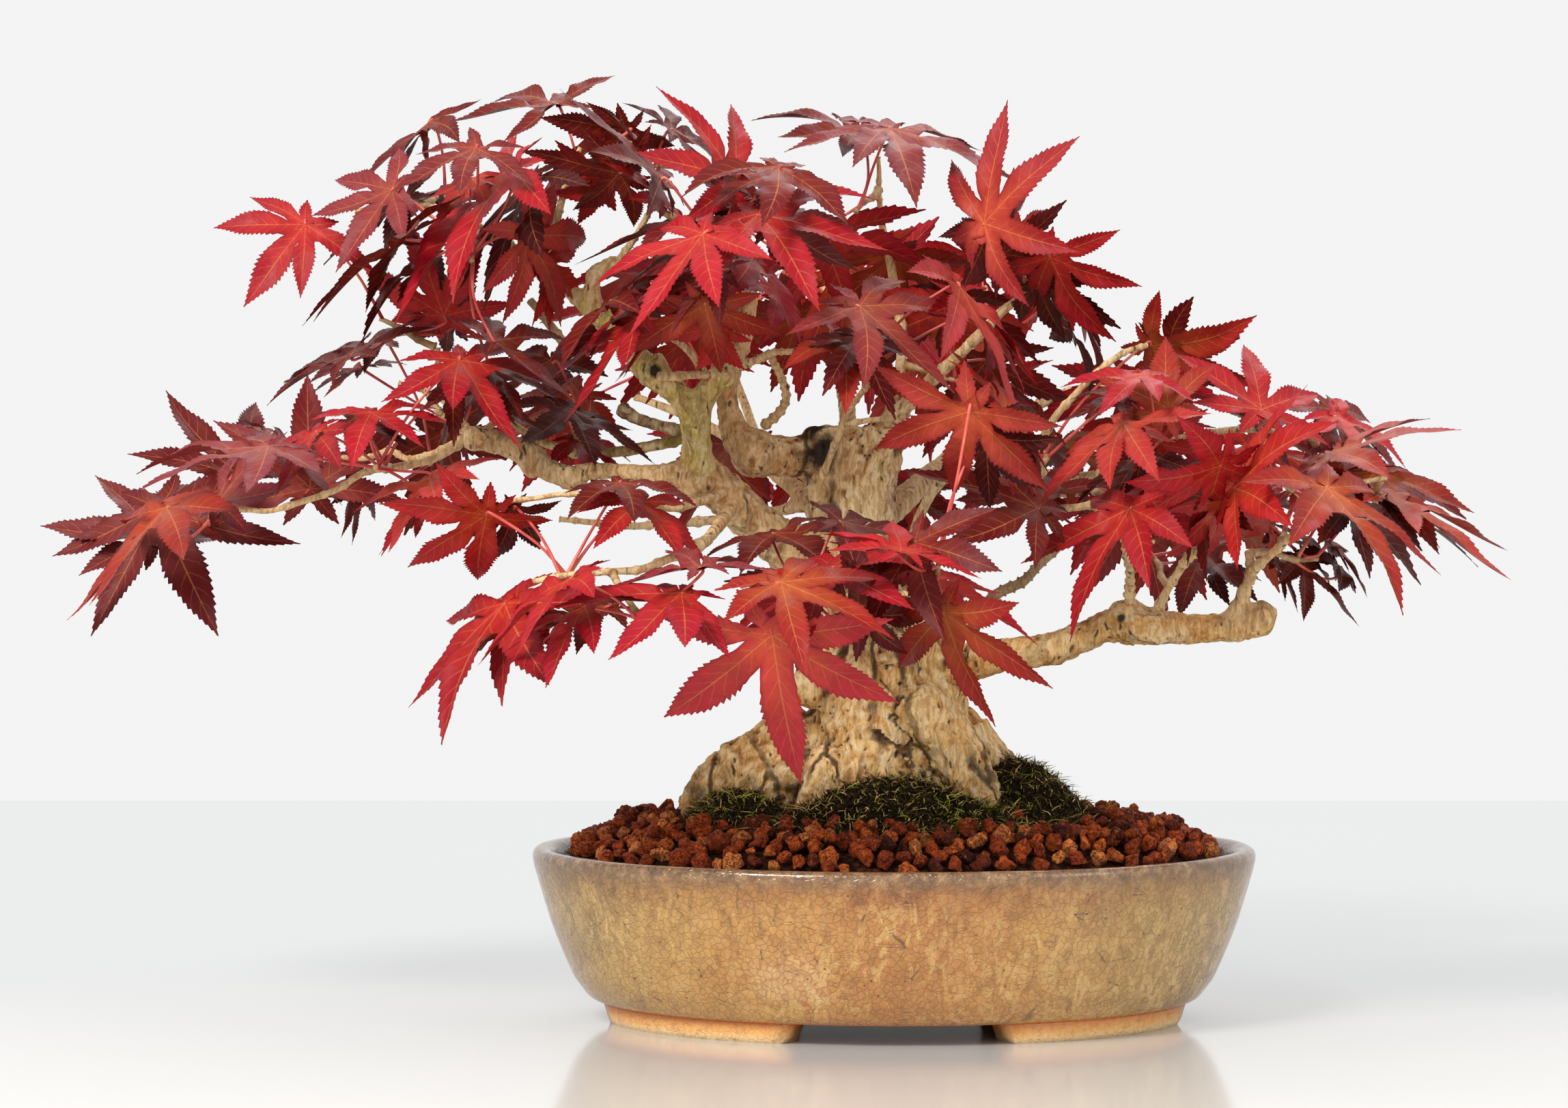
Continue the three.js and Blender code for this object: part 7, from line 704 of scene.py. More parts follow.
def moss_material():
    m = Nodes("moss_strands")
    tint = m.attr("tint")
    col = m.mix(m.vramp(m.noise(1200, 3), [(0.4, 0.0), (0.7, 0.5)]), tint, m.mix(1.0, tint, (1.6, 1.5, 1.2), "MULTIPLY"))
    return m.out(col, 0.72, m.bump(m.noise(2500, 2), 0.4, 0.0002), Specular_IOR_Level=0.2)


def plastic_material():
    m = Nodes("black_mesh_plastic")
    col = m.ramp(m.noise(500, 4), [(0.3, srgb(20, 22, 24)), (0.7, srgb(46, 50, 52))])
    return m.out(col, m.vramp(m.noise(900, 3), [(0.3, 0.45), (0.7, 0.7)]), m.bump(m.noise(1800, 3), 0.4, 0.0001))


def wire_material(name, a, b):
    m = Nodes(name)
    col = m.ramp(m.noise(600, 4, src=m.mapping((4, 4, 1))), [(0.3, a), (0.7, b)])
    return m.out(col, m.vramp(m.noise(800, 3), [(0.3, 0.25), (0.7, 0.45)]), m.bump(m.noise(1600, 3, src=m.mapping((6, 6, 1))), 0.3, 0.0001), Metallic=1.0)


def floor_material():
    m = Nodes("pale_floor")
    y = m.sep(m.coord())[1]
    # painted light falloff: the floor is darker towards the back and lighter towards the front
    g = m.math("ADD", m.math("MULTIPLY", m.math("SUBTRACT", y, SY), -3.2), m.math("MULTIPLY", m.noise(3.0, 3), 0.5))
    col = m.ramp(g, [(0.0, (0.50, 0.52, 0.525)), (0.9, (0.70, 0.68, 0.65))])
    return m.out(col, 0.10, None, Specular_IOR_Level=0.65)


MAT_LEAF = leaf_material()
MAT_PET = petiole_material()
MAT_TWIG = twig_material()
MAT_BARK = bark_material()
MAT_GLAZE = glaze_material()
MAT_GRAIN = grain_material("akadama_grain")
# the bed under the grains is coloured very dark: painted shade in the gaps between the grains
MAT_GAP_SHADE_BED = earth_material("grain_gap_shade_bed", srgb(26, 14, 9), srgb(58, 28, 16), srgb(92, 46, 24), 380)
MAT_SOIL = earth_material("soil_grain", srgb(38, 22, 14), srgb(70, 40, 24), srgb(110, 66, 38), 380)
MAT_PUMICE = earth_material("drainage_grain", srgb(120, 108, 90), srgb(170, 158, 134), srgb(214, 202, 178), 190)
MAT_MOSS = moss_material()
MAT_MOSSBED = earth_material("moss_bed", srgb(16, 12, 6), srgb(38, 28, 12), srgb(74, 62, 24), 700)


def add_attr(ob, name, cols, kind="FLOAT_COLOR"):
    me = ob.data
    a = me.attributes.new(name, kind, "POINT")
    if kind == "FLOAT_COLOR":
        c = np.ones((len(me.vertices), 4), np.float32)
        c[:, :3] = cols
        a.data.foreach_set("color", c.ravel())
    else:
        a.data.foreach_set("value", np.asarray(cols, np.float32))


def finish_piece(ob, slot, *nodes):
    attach(ob, "root")
    if nodes:
        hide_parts(*nodes)


# ---------------------------------------------------------------- pot
OUTER = [(0, 5), (40, 5), (70, 5), (74.5, 5.05), (76.6, 5.5), (78.4, 6.6), (80.2, 8.8), (82.2, 11.8), (84.8, 17.8), (86.6, 22.4), (88.1, 26.6), (89.6, 31.4), (90.9, 35.8), (91.7, 38.6), (92.15, 40.6), (92.3, 41.9), (92.1, 42.9), (91.5, 43.6), (90.6, 43.95), (89.6, 44), (88.6, 43.85), (87.6, 43.4)]
INNER = [(86.9, 42.7), (86.4, 41.6), (85.7, 39), (84.4, 33), (82.6, 27.6), (80.6, 22.5), (78.9, 18.6), (77, 15), (74.8, 12.2), (71, 10.7), (60, 10.5), (0, 10.5)]


def inner_at(z):
    pr = [(86.4, 41.8), (84.4, 33), (80.6, 22.5), (77, 15), (72, 10.5)]
    for (r0, z0), (r1, z1) in zip(pr, pr[1:]):
        if z1 <= z <= z0:
            return r1 + (r0 - r1) * (z - z1) / (z0 - z1)
    return pr[0][0]


def build_pot():
    def fine(profile, per):
        q = catmull(profile, per)
        q[:, 0] = np.maximum(q[:, 0], 0)
        return q
    outer = fine(OUTER, 3)
    inner = fine(INNER, 3)
    prof = np.vstack([outer, inner])
    n_out = len(outer) + 3
    seg = 176
    verts, faces, inside, foot = [], [], [], []
    for i, (r, z) in enumerate(prof):
        for k in range(seg):
            a = 2 * math.pi * k / seg
            x, y = r * math.cos(a), r * RATIO * math.sin(a)
            f = 1.0
            if 6.5 < z and i < n_out:
                f += 0.0016 * noise.noise(Vector((x * 0.05, y * 0.05, z * 0.09 + 3.1))) + 0.0007 * noise.noise(Vector((x * 0.21, y * 0.21, z * 0.3)))
            dz = 0.18 * noise.noise(Vector((x * 0.04 + 9, y * 0.04, 0))) if z > 42.5 else 0
            verts.append((x * f, y * f, min(z + dz, 44.0)))
            inside.append(1.0 if i >= n_out else 0.0)
            foot.append(1.0 if (i < n_out and z < 5.35 and r < 76.4) else 0.0)
    n = len(prof)
    for i in range(n - 1):
        for k in range(seg):
            a, b = i * seg + k, i * seg + (k + 1) % seg
            faces.append((a, b, b + seg, a + seg))
    parts = [(verts, faces)]
    V, F, _ = join(parts)
    # feet
    fa = len(V)
    for sx in (-1, 1):
        for sy in (-1, 1):
            rows = 18
            stn = []
            for i in range(rows + 1):
                row = []
                for top in range(5):
                    t = top / 4.0
                    a0, a1 = 14 - 1.5 * t, 67 + 2.2 * t
                    e = 0.9 * (1 - t) ** 3
                    a = math.radians(a0 + (a1 - a0) * i / rows)
                    ro = 74.2 + 1.4 * t - (0.5 if top == 0 else 0)
                    ri = ro - 11 - t
                    zz = 5.4 * t
                    row.append(((sx * ro * math.cos(a), sy * ro * RATIO * math.sin(a), zz), (sx * ri * math.cos(a), sy * ri * RATIO * math.sin(a), zz)))
                stn.append(row)
            base = len(V)
            for row in stn:
                for o, inn in row:
                    V.append(o)
                for o, inn in row:
                    V.append(inn)
            fl = []
            for i in range(rows):
                o, p = base + i * 10, base + (i + 1) * 10
                for t in range(4):
                    fl.append((o + t, p + t, p + t + 1, o + t + 1))
                    fl.append((o + 5 + t, o + 6 + t, p + 6 + t, p + 5 + t))
                fl.append((o, o + 5, p + 5, p))
                fl.append((o + 4, p + 4, p + 9, o + 9))
            for o in (base, base + rows * 10):
                for t in range(4):
                    q = (o + t, o + t + 1, o + 6 + t, o + 5 + t)
                    fl.append(q if o == base else tuple(reversed(q)))
            if sx * sy < 0:
                fl = [tuple(reversed(f)) for f in fl]
            F.extend(fl)
    foot += [1.0] * (len(V) - fa)
    inside += [0.0] * (len(V) - fa)
    ob = new_mesh("pot_body", V, F, True, [MAT_GLAZE])
    add_attr(ob, "inside", inside, "FLOAT")
    add_attr(ob, "foot", foot, "FLOAT")
    return ob


POT = build_pot()


bpy.context.view_layer.update()
POT.name = "pot_body"
finish_piece(POT, "pot_glaze", "pot")

# ---------------------------------------------------------------- ground surface
def in_oval(x, y):
    return math.sqrt((x / 86.0) ** 2 + (y / (86.0 * RATIO)) ** 2)


def surface(x, y):
    q = min(in_oval(x, y), 1.0)
    return 40.5 + 9.5 * (1 - q ** 10) + 3 * math.exp(-((q / 0.6) ** 2))


MOSS = {
    "moss_left": (-40, -15, 17, 15, 8.0, 1),
    "moss_front": (-2, -25, 36, 17, 11.0, 2),
    "moss_right": (31, -6, 23, 24, 14.5, 3),
    "moss_back": (-2, 27, 27, 15, 8, 4),
}


def moss_rho(spec, x, y):
    cx, cy, rx, ry, h, seed = spec
    dx, dy = (x - cx) / rx, (y - cy) / ry
    a = math.atan2(dy, dx)
    wob = 1 + 0.11 * noise.noise(Vector((math.cos(a) * 1.5, math.sin(a) * 1.5, seed * 7.7))) + 0.08 * math.sin(3 * a + seed)
    return math.hypot(dx, dy) / wob


def moss_height(spec, x, y):
    r = moss_rho(spec, x, y)
    if r > 1:
        return None
    cx, cy, rx, ry, h, seed = spec
    b = surface(cx, cy)
    lump = 1.3 * noise.noise(Vector((x * 0.16, y * 0.16, seed * 3.0))) + 0.8 * noise.noise(Vector((x * 0.45, y * 0.45, seed)))
    edge = surface(x, y) + 0.2
    return edge + (b + h * (1 - r ** 1.6) - edge) * (1 - r ** 3) + lump * (1 - r ** 4)


def trunk_at(z):
    for (z0, x0, w0, y0), (z1, x1, w1, y1) in zip(TRUNK, TRUNK[1:]):
        if z0 <= z <= z1:
            t = (z - z0) / (z1 - z0)
            return x0 + (x1 - x0) * t, w0 + (w1 - w0) * t
    return TRUNK[0][1], TRUNK[0][2]


def in_trunk(x, y, z, grow=0.0):
    cx, w = trunk_at(z)
    return ((x - cx) / (w + grow)) ** 2 + (y / (w * 0.86 + grow)) ** 2 < 1


def build_bed():
    rings, seg = 40, 120
    V, F = [], []
    for i in range(rings + 1):
        for k in range(seg):
            a = 2 * math.pi * k / seg
            r = 85.0 * i / rings
            x, y = r * math.cos(a), r * RATIO * math.sin(a)
            z = surface(x, y) - 2.6 + 1.3 * noise.noise(Vector((x * 0.3, y * 0.3, 2))) + 0.7 * noise.noise(Vector((x * 0.8, y * 0.8, 5)))
            if i == rings:
                z = 37.5
                rr = inner_at(z) - 0.6
                x, y = rr * math.cos(a), rr * RATIO * math.sin(a)
            V.append((x, y, z))
    for i in range(rings):
        for k in range(seg):
            a, b = i * seg + k, i * seg + (k + 1) % seg
            F.append((a, a + seg, b + seg, b))
    ob = new_mesh("dressing_bed", V, F, True, [MAT_GAP_SHADE_BED])
    finish_piece(ob, "akadama", "akadama_top_dressing")


build_bed()


def ico(sub):
    t = (1 + 5 ** 0.5) / 2
    v = [(-1, t, 0), (1, t, 0), (-1, -t, 0), (1, -t, 0), (0, -1, t), (0, 1, t), (0, -1, -t), (0, 1, -t), (t, 0, -1), (t, 0, 1), (-t, 0, -1), (-t, 0, 1)]
    f = [(0, 11, 5), (0, 5, 1), (0, 1, 7), (0, 7, 10), (0, 10, 11), (1, 5, 9), (5, 11, 4), (11, 10, 2), (10, 7, 6), (7, 1, 8), (3, 9, 4), (3, 4, 2), (3, 2, 6), (3, 6, 8), (3, 8, 9), (4, 9, 5), (2, 4, 11), (6, 2, 10), (8, 6, 7), (9, 8, 1)]
    v = [np.array(p) / math.sqrt(1 + t * t) for p in v]
    for _ in range(sub):
        mid, nf = {}, []
        def m(a, b):
            k = (min(a, b), max(a, b))
            if k not in mid:
                p = v[a] + v[b]
                v.append(p / np.linalg.norm(p))
                mid[k] = len(v) - 1
            return mid[k]
        for a, b, c in f:
            ab, bc, ca = m(a, b), m(b, c), m(c, a)
            nf += [(a, ab, ca), (b, bc, ab), (c, ca, bc), (ab, bc, ca)]
        f = nf
    return np.array(v), np.array(f)


def grain_protos(sub, count, seed):
    base, faces = ico(sub)
    out = []
    rg = np.random.default_rng(seed)
    for i in range(count):
        v = base.copy()
        # a few flat facets, then lumps
        for _ in range(9):
            d = rg.normal(size=3)
            d /= np.linalg.norm(d)
            lim = rg.uniform(0.50, 0.86)
            h = v @ d
            v = v - np.outer(np.maximum(h - lim, 0), d)
        k = np.array([noise.noise(Vector(p * 1.6) + Vector((i * 5.1, 0, 0))) * 0.24 + noise.noise(Vector(p * 3.4) + Vector((0, i * 3.3, 0))) * 0.15 for p in v])
        v = v * (1 + k)[:, None] * np.array([1, rg.uniform(0.8, 1.05), rg.uniform(0.72, 0.95)])
        out.append(v)
    return out, faces


def rand_rot(rg):
    q = rg.normal(size=4)
    q /= np.linalg.norm(q)
    w, x, y, z = q
    return np.array([[1 - 2 * (y * y + z * z), 2 * (x * y - z * w), 2 * (x * z + y * w)], [2 * (x * y + z * w), 1 - 2 * (x * x + z * z), 2 * (y * z - x * w)], [2 * (x * z - y * w), 2 * (y * z + x * w), 1 - 2 * (x * x + y * y)]])


def build_grains():
    rg = np.random.default_rng(77)
    hi, fh = grain_protos(2, 14, 5)
    lo, fl = grain_protos(1, 10, 6)
    placed = []
    tries = 0
    cell = {}
    while tries < 26000 and len(placed) < 1250:
        tries += 1
        a = rg.uniform(0, 2 * math.pi)
        q = math.sqrt(rg.uniform(0, 1))
        x, y = 82.6 * q * math.cos(a), 82.6 * RATIO * q * math.sin(a)
        r = rg.choice([1.9, 2.3, 2.6, 2.9, 3.2], p=[0.14, 0.2, 0.28, 0.26, 0.12])
        key = (int(x // 6), int(y // 6))
        ok = True
        for i in (-1, 0, 1):
            for j in (-1, 0, 1):
                for (px, py, pr) in cell.get((key[0] + i, key[1] + j), ()):
                    if (px - x) ** 2 + (py - y) ** 2 < (0.80 * (pr + r)) ** 2:
                        ok = False
        if not ok:
            continue
        z = surface(x, y) - 0.5 + rg.uniform(-0.7, 0.9)
        if in_oval(x, y) > 0.9:
            z = surface(x, y) - 0.2
        skip = False
        for spec in MOSS.values():
            h = moss_height(spec, x, y)
            if h is not None and moss_rho(spec, x, y) < 0.93:
                skip = True
        if skip or in_trunk(x, y, 50, 4.0 if y < 6 else 0.5):
            continue
        cell.setdefault(key, []).append((x, y, r))
        placed.append((x, y, z, r))
    # a scatter of grains lying on top of the others
    for _ in range(230):
        a = rg.uniform(0, 2 * math.pi)
        q = math.sqrt(rg.uniform(0.05, 0.86))
        x, y = 82 * q * math.cos(a), 82 * RATIO * q * math.sin(a)
        if in_trunk(x, y, 58, 2) or any(moss_rho(s, x, y) < 0.9 for s in MOSS.values()):
            continue
        placed.append((x, y, surface(x, y) + 1.7 + rg.uniform(0, 0.9), rg.uniform(1.5, 2.3)))
    # grains between and over the skirts of the moss
    for spec in MOSS.values():
        for _ in range(7):
            a = rg.uniform(0, 2 * math.pi)
            x, y = spec[0] + spec[2] * 0.9 * math.cos(a), spec[1] + spec[3] * 0.9 * math.sin(a)
            if in_oval(x, y) < 0.9 and not in_trunk(x, y, 58, 2):
                h = moss_height(spec, x, y)
                placed.append((x, y, max(surface(x, y), h or 0) + 0.7, rg.uniform(1.8, 2.6)))
    groups = {"akadama_grains_front_left": [], "akadama_grains_front_right": [], "akadama_grains_back": []}
    for g in placed:
        groups["akadama_grains_back" if g[1] > 14 else "akadama_grains_front_left" if g[0] < 0 else "akadama_grains_front_right"].append(g)
    pal = [srgb(172, 76, 24), srgb(150, 60, 18), srgb(188, 96, 38), srgb(112, 44, 14), srgb(84, 32, 12), srgb(206, 126, 66)]
    for name, gs in groups.items():
        protos, fc = (lo, fl) if name.endswith("back") else (hi, fh)
        V, F, C = [], [], []
        for x, y, z, r in gs:
            p = protos[rg.integers(len(protos))] @ rand_rot(rg).T
            v = p * r + np.array([x, y, z])
            lim = 0.985 * inner_at(43) * 0.99
            q = np.sqrt((v[:, 0] / lim) ** 2 + (v[:, 1] / (lim * RATIO)) ** 2)
            s = np.where(q > 1, 1 / np.maximum(q, 1e-6), 1.0)
            v[:, 0] *= s
            v[:, 1] *= s
            F.append(fc + sum(len(t) for t in V))
            V.append(v)
            c = np.array(pal[rg.choice(6, p=[0.28, 0.24, 0.18, 0.14, 0.08, 0.08])]) * rg.uniform(0.85, 1.15)
            C.append(np.tile(c, (len(v), 1)))
        ob = new_mesh(name, np.vstack(V), np.vstack(F), True, [MAT_GRAIN])
        add_attr(ob, "tint", np.vstack(C))
        finish_piece(ob, "akadama")


build_grains()


def build_moss():
    rg = np.random.default_rng(31)
    bright = [(1, (14, -33, 7)), (2, (-37, -22, 6)), (3, (30, -20, 7)), (4, (-48, -14, 5)), (5, (22, -27, 5))]
    for name, spec in MOSS.items():
        cx, cy, rx, ry, hh, seed = spec
        V, F, M, C = [], [], [], []
        # cushion
        rings, seg = 16, 56
        for i in range(rings + 1):
            for k in range(seg):
                a = 2 * math.pi * k / seg
                s = 1.16 * i / rings
                x, y = cx + rx * s * math.cos(a), cy + ry * s * math.sin(a)
                h = moss_height(spec, x, y)
                z = h if h is not None else surface(x, y) - 1.6
                z += 0.6 * noise.noise(Vector((x * 1.1, y * 1.1, seed)))
                V.append((x, y, z))
                C.append((0.02, 0.018, 0.006))
        for i in range(rings):
            for k in range(seg):
                a, b = i * seg + k, i * seg + (k + 1) % seg
                F.append((a, a + seg, b + seg, b))
                M.append(0)
        count = int(rx * ry * 11)
        for _ in range(count):
            a = rg.uniform(0, 2 * math.pi)
            s = math.sqrt(rg.uniform(0, 1.12))
            x, y = cx + rx * s * math.cos(a), cy + ry * s * math.sin(a)
            h = moss_height(spec, x, y)
            z = (h if h is not None else surface(x, y) + 0.6) - 0.25
            if in_trunk(x, y, max(z, 34), -1.0) or in_oval(x, y) > 0.93:
                continue
            d = np.array([rg.normal() * 0.75, rg.normal() * 0.75 - 0.1, 1.0])
            d /= np.linalg.norm(d)
            L = rg.uniform(1.2, 3.4)
            w = rg.uniform(0.10, 0.2)
            side = np.cross(d, rg.normal(size=3))
            side /= max(np.linalg.norm(side), 1e-6)
            bend = rg.normal(size=3) * 0.5
            bend[2] = -abs(bend[2])
            p = np.array([x, y, z])
            o = len(V)
            for t in (0.0, 0.45, 0.8):
                c = p + d * L * t + bend * L * t * t
                ww = w * (1 - 0.5 * t)
                V += [c - side * ww, c + side * ww]
            V.append(p + d * L + bend * L)
            F += [(o, o + 1, o + 3, o + 2), (o + 2, o + 3, o + 5, o + 4), (o + 4, o + 5, o + 6)]
            M += [1, 1, 1]
            k = 0.0
            for _, (bx, by, br) in bright:
                k = max(k, 1 - math.hypot(x - bx, y - by) / br)
            k = max(0, k)
            n2 = 0.5 + 0.5 * noise.noise(Vector((x * 0.22, y * 0.22, 4)))
            if rg.random() < (0.30 if n2 > 0.62 else 0.05) + k * 0.6:
                c = np.array(srgb(150, 156, 44)) * rg.uniform(0.4, 1.2)
            elif rg.random() < 0.22:
                c = np.array(srgb(206, 178, 110)) * rg.uniform(0.6, 1.1)
            elif rg.random() < 0.5:
                c = np.array(srgb(80, 62, 28)) * rg.uniform(0.3, 1.2)
            else:
                c = np.array(srgb(40, 28, 14)) * rg.uniform(0.5, 1.3) * (0.5 + n2)
            C += [tuple(c)] * 7
        ob = new_mesh(name + "_cushion", V, F, True, [MAT_MOSSBED, MAT_MOSS], M)
        add_attr(ob, "tint", np.array(C))
        finish_piece(ob, "moss", name)


build_moss()

# ---------------------------------------------------------------- wood
GREEN = srgb(228, 222, 144)
CREAM = srgb(252, 234, 188)
TONES = {"limb_v": srgb(230, 228, 148), "limb_lu": GREEN, "stub_u": srgb(240, 216, 168), "limb_ru": GREEN, "ol_b": srgb(168, 160, 88), "dead": srgb(128, 108, 84),
         "limb2": srgb(222, 184, 136), "r_low": srgb(236, 198, 134), "r_grey": srgb(150, 128, 104), "r_up": srgb(222, 206, 176), "grey_l": srgb(140, 120, 100)}


def build_wood():
    parts = []
    sides = 40
    T = catmull([[z, cx, hw, cy] for z, cx, hw, cy in TRUNK], 4)
    V, F = [], []
    for i, (z, cx, hw, cy) in enumerate(T):
        low = max(0.0, 1 - (z - 33) / 60)
        for k in range(sides):
            a = 2 * math.pi * k / sides
            w = 1 + 0.05 * noise.noise(Vector((math.cos(a) * 1.2, math.sin(a) * 1.2, z * 0.03))) + low * 0.06 * math.sin(3 * a + 0.7)
            V.append((cx + hw * w * math.cos(a), cy + hw * 0.86 * w * math.sin(a), z))
    n = len(T)
    for i in range(n - 1):
        for k in range(sides):
            a, b = i * sides + k, i * sides + (k + 1) % sides
            F.append((a, b, b + sides, a + sides))
    F.append(tuple(range(sides - 1, -1, -1)))
    F.append(tuple(range((n - 1) * sides, n * sides)))
    parts.append((V, F))
    skel = []
    for z, cx, hw, cy in T:
        skel.append((cx, cy, z, hw, 0, 0, 1, *CREAM))
    def note(q, tone):
        for i in range(len(q)):
            t = q[min(i + 1, len(q) - 1), :3] - q[max(i - 1, 0), :3]
            t /= max(np.linalg.norm(t), 1e-6)
            skel.append((*q[i, :3], q[i, 3], *t, *tone))
    for r in ROOTS:
        q = catmull(r, 6)
        note(q, srgb(244, 212, 150))
        parts.append(tube(q, 18))
    thin = []
    for name, pts in BRANCHES:
        q = catmull(pts, 7)
        q[:, 3] = np.maximum(q[:, 3], 0.45)
        tone = TONES.get(name, srgb(230, 204, 160))
        note(q, tone)
        thick = q[:, 3] > 1.45
        if thick.sum() > 3:
            last = np.where(thick)[0].max()
            parts.append(tube(q[: last + 1], 16))
            if last < len(q) - 2:
                thin.append((q[max(last - 1, 0):], tone))
        else:
            thin.append((q, tone))
    for x, y, z, r in KNOBS:
        v, f = ico(3)
        k = np.array([1 + 0.18 * noise.noise(Vector(p * 2.2) + Vector((x, y, z))) for p in v])
        parts.append(([tuple(p) for p in v * k[:, None] * r + np.array([x, y, z])], [tuple(int(i) for i in q) for q in f]))
    V, F, _ = join(parts)
    raw = new_mesh("wood_raw", V, F, False)
    md = raw.modifiers.new("skin", "REMESH")
    md.mode = "VOXEL"
    md.voxel_size = 0.00088
    dg = bpy.context.evaluated_depsgraph_get()
    me = bpy.data.meshes.new_from_object(raw.evaluated_get(dg))
    bpy.data.objects.remove(raw)
    nv = len(me.vertices)
    co = np.empty(nv * 3)
    me.vertices.foreach_get("co", co)
    co = co.reshape(-1, 3)
    ed = np.empty(len(me.edges) * 2, int)
    me.edges.foreach_get("vertices", ed)
    ed = ed.reshape(-1, 2)
    deg = np.zeros(nv)
    np.add.at(deg, ed[:, 0], 1)
    np.add.at(deg, ed[:, 1], 1)
    for _ in range(4):
        acc = np.zeros_like(co)
        np.add.at(acc, ed[:, 0], co[ed[:, 1]])
        np.add.at(acc, ed[:, 1], co[ed[:, 0]])
        co = co * 0.5 + 0.5 * acc / np.maximum(deg, 1)[:, None]
    me.vertices.foreach_set("co", co.ravel())
    me.update()
    nr = np.empty(nv * 3)
    me.vertices.foreach_get("normal", nr)
    nr = nr.reshape(-1, 3)
    mm = co.copy()
    mm[:, 0] -= SX
    mm[:, 1] -= SY
    mm *= 1000
    kd = KDTree(len(skel))
    S = np.array(skel)
    for i, s in enumerate(S):
        kd.insert(s[:3], i)
    kd.balance()
    disp = np.zeros(nv)
    crack = np.zeros(nv)
    relief_light = np.full(nv, 0.6)
    old = np.zeros(nv)
    tone = np.zeros((nv, 3))
    for i in range(nv):
        p = Vector(mm[i])
        best, tot, col = None, 0.0, np.zeros(3)
        for c, j, d in kd.find_n(p, 4):
            e = max(d - S[j, 3], 0.15)
            if best is None or e < best[0]:
                best = (e, j)
            w = 1 / e ** 2
            tot += w
            col += w * S[j, 7:10]
        tone[i] = col / tot
        j = best[1]
        r = S[j, 3]
        if p.z < 152 and in_trunk(p.x, p.y, p.z, 3.0):
            r = max(r, 17.0)
        elif p.z < 72:
            r = max(r, 12.0)
        t = Vector(S[j, 4:7])
        along = p.dot(t)
        q = p - t * (along * 0.78)
        big = min(1.0, r / 12.0)
        n1 = noise.noise(q * 0.16) * 0.9 * big + noise.noise(p * 0.33) * 0.35 * min(1, r / 4)
        n2 = noise.noise(q * 0.55 + Vector((7, 3, 1)))
        rid = 1 - abs(noise.noise(q * 0.26 + Vector((2, 9, 4)))) * 2
        gate = 0.5 + 0.5 * noise.noise(p * 0.06 + Vector((5, 5, 5)))
        c = max(0.0, rid - 0.86) / 0.14 * (1 if gate > 0.42 else 0.25) * min(1.0, max(0.0, (r - 7.0) / 8.0))
        crack[i] = c
        fine = noise.noise(p * 1.15) * 0.10
        n3 = noise.noise(q * 1.1 + Vector((3, 8, 2)))
        relief = n2 * 0.55 * min(1, r / 5) + n3 * 0.26 * min(1, r / 3) + fine
        disp[i] = n1 + relief - c * 1.1
        old[i] = min(1.0, max(0.0, (r - 2.8) / 8.0))
        # this value carries painted light: the bark material paints low relief darker and high relief lighter
        relief_light[i] = 0.60 + relief * (0.35 + 0.65 * old[i]) * 0.95 + noise.noise(q * 0.2) * 0.25
    co = co + nr * (disp * 0.001)[:, None]
    me.vertices.foreach_set("co", co.ravel())
    # painted shade inside the hollows and at the knots
    dark = np.zeros(nv)
    for x, y, z, r in SHADED_HOLLOWS:
        d = np.sqrt(((mm - np.array([x, y, z])) ** 2).sum(1))
        dark = np.maximum(dark, np.clip(1.35 - d / r, 0, 1))
    # the hollow at the broken top is sunk in
    sink = np.zeros(nv)
    for x, y, z, r in SHADED_HOLLOWS[:2]:
        d = np.sqrt(((mm - np.array([x, y, z])) ** 2).sum(1))
        sink = np.maximum(sink, np.clip(1.1 - d / r, 0, 1) * r * 0.55)
    co = co - nr * (sink * 0.001)[:, None]
    me.vertices.foreach_set("co", co.ravel())
    me.update()
    # thin twigs with swollen nodes, joined to the same piece
    tv, tf, tt = [], [], []
    for q, tn in thin:
        q = catmull(q[:: max(1, len(q) // 14)], 3) if len(q) > 16 else q
        for i in range(len(q)):
            q[i, 3] *= 1 + (0.35 if i % 6 == 3 else 0) + 0.10 * noise.noise(Vector(q[i, :3] * 0.5))
            q[i, :3] += np.array([noise.noise(Vector(q[i, :3] * 0.12 + k * 9.0)) * 0.5 for k in range(3)])
        v, f = tube(q, 9)
        o = len(tv)
        tv += v
        tf += [tuple(i + o for i in g) for g in f]
        tt += [np.array(tn)] * len(v)
    def wood_piece(name, verts, polys, tones, hollow_shades, cracks, relief_lights, olds):
        out = bpy.data.meshes.new(name)
        out.from_pydata([tuple(v) for v in verts], [], polys)
        out.update()
        out.polygons.foreach_set("use_smooth", [True] * len(out.polygons))
        out.materials.append(MAT_BARK)
        ob = bpy.data.objects.new(name, out)
        bpy.context.scene.collection.objects.link(ob)
        add_attr(ob, "tone", tones)
        add_attr(ob, "dark", hollow_shades, "FLOAT")
        add_attr(ob, "crack", cracks, "FLOAT")
        add_attr(ob, "relief_light", relief_lights, "FLOAT")
        add_attr(ob, "old", olds, "FLOAT")
        finish_piece(ob, "bark", "tree_wood")
        return out
    out = wood_piece("tree_wood_bark", co, [tuple(p.vertices) for p in me.polygons], tone, dark, crack, relief_light, old)
    k = len(tv)
    # the twigs get a flat value of 0.66 here, a slight painted highlight
    wood_piece("tree_wood_twigs", to_m(np.array(tv)), tf, np.array(tt), np.zeros(k), np.zeros(k), np.full(k, 0.66), np.zeros(k))
    bpy.data.meshes.remove(me)
    print("wood", len(out.polygons))


build_wood()

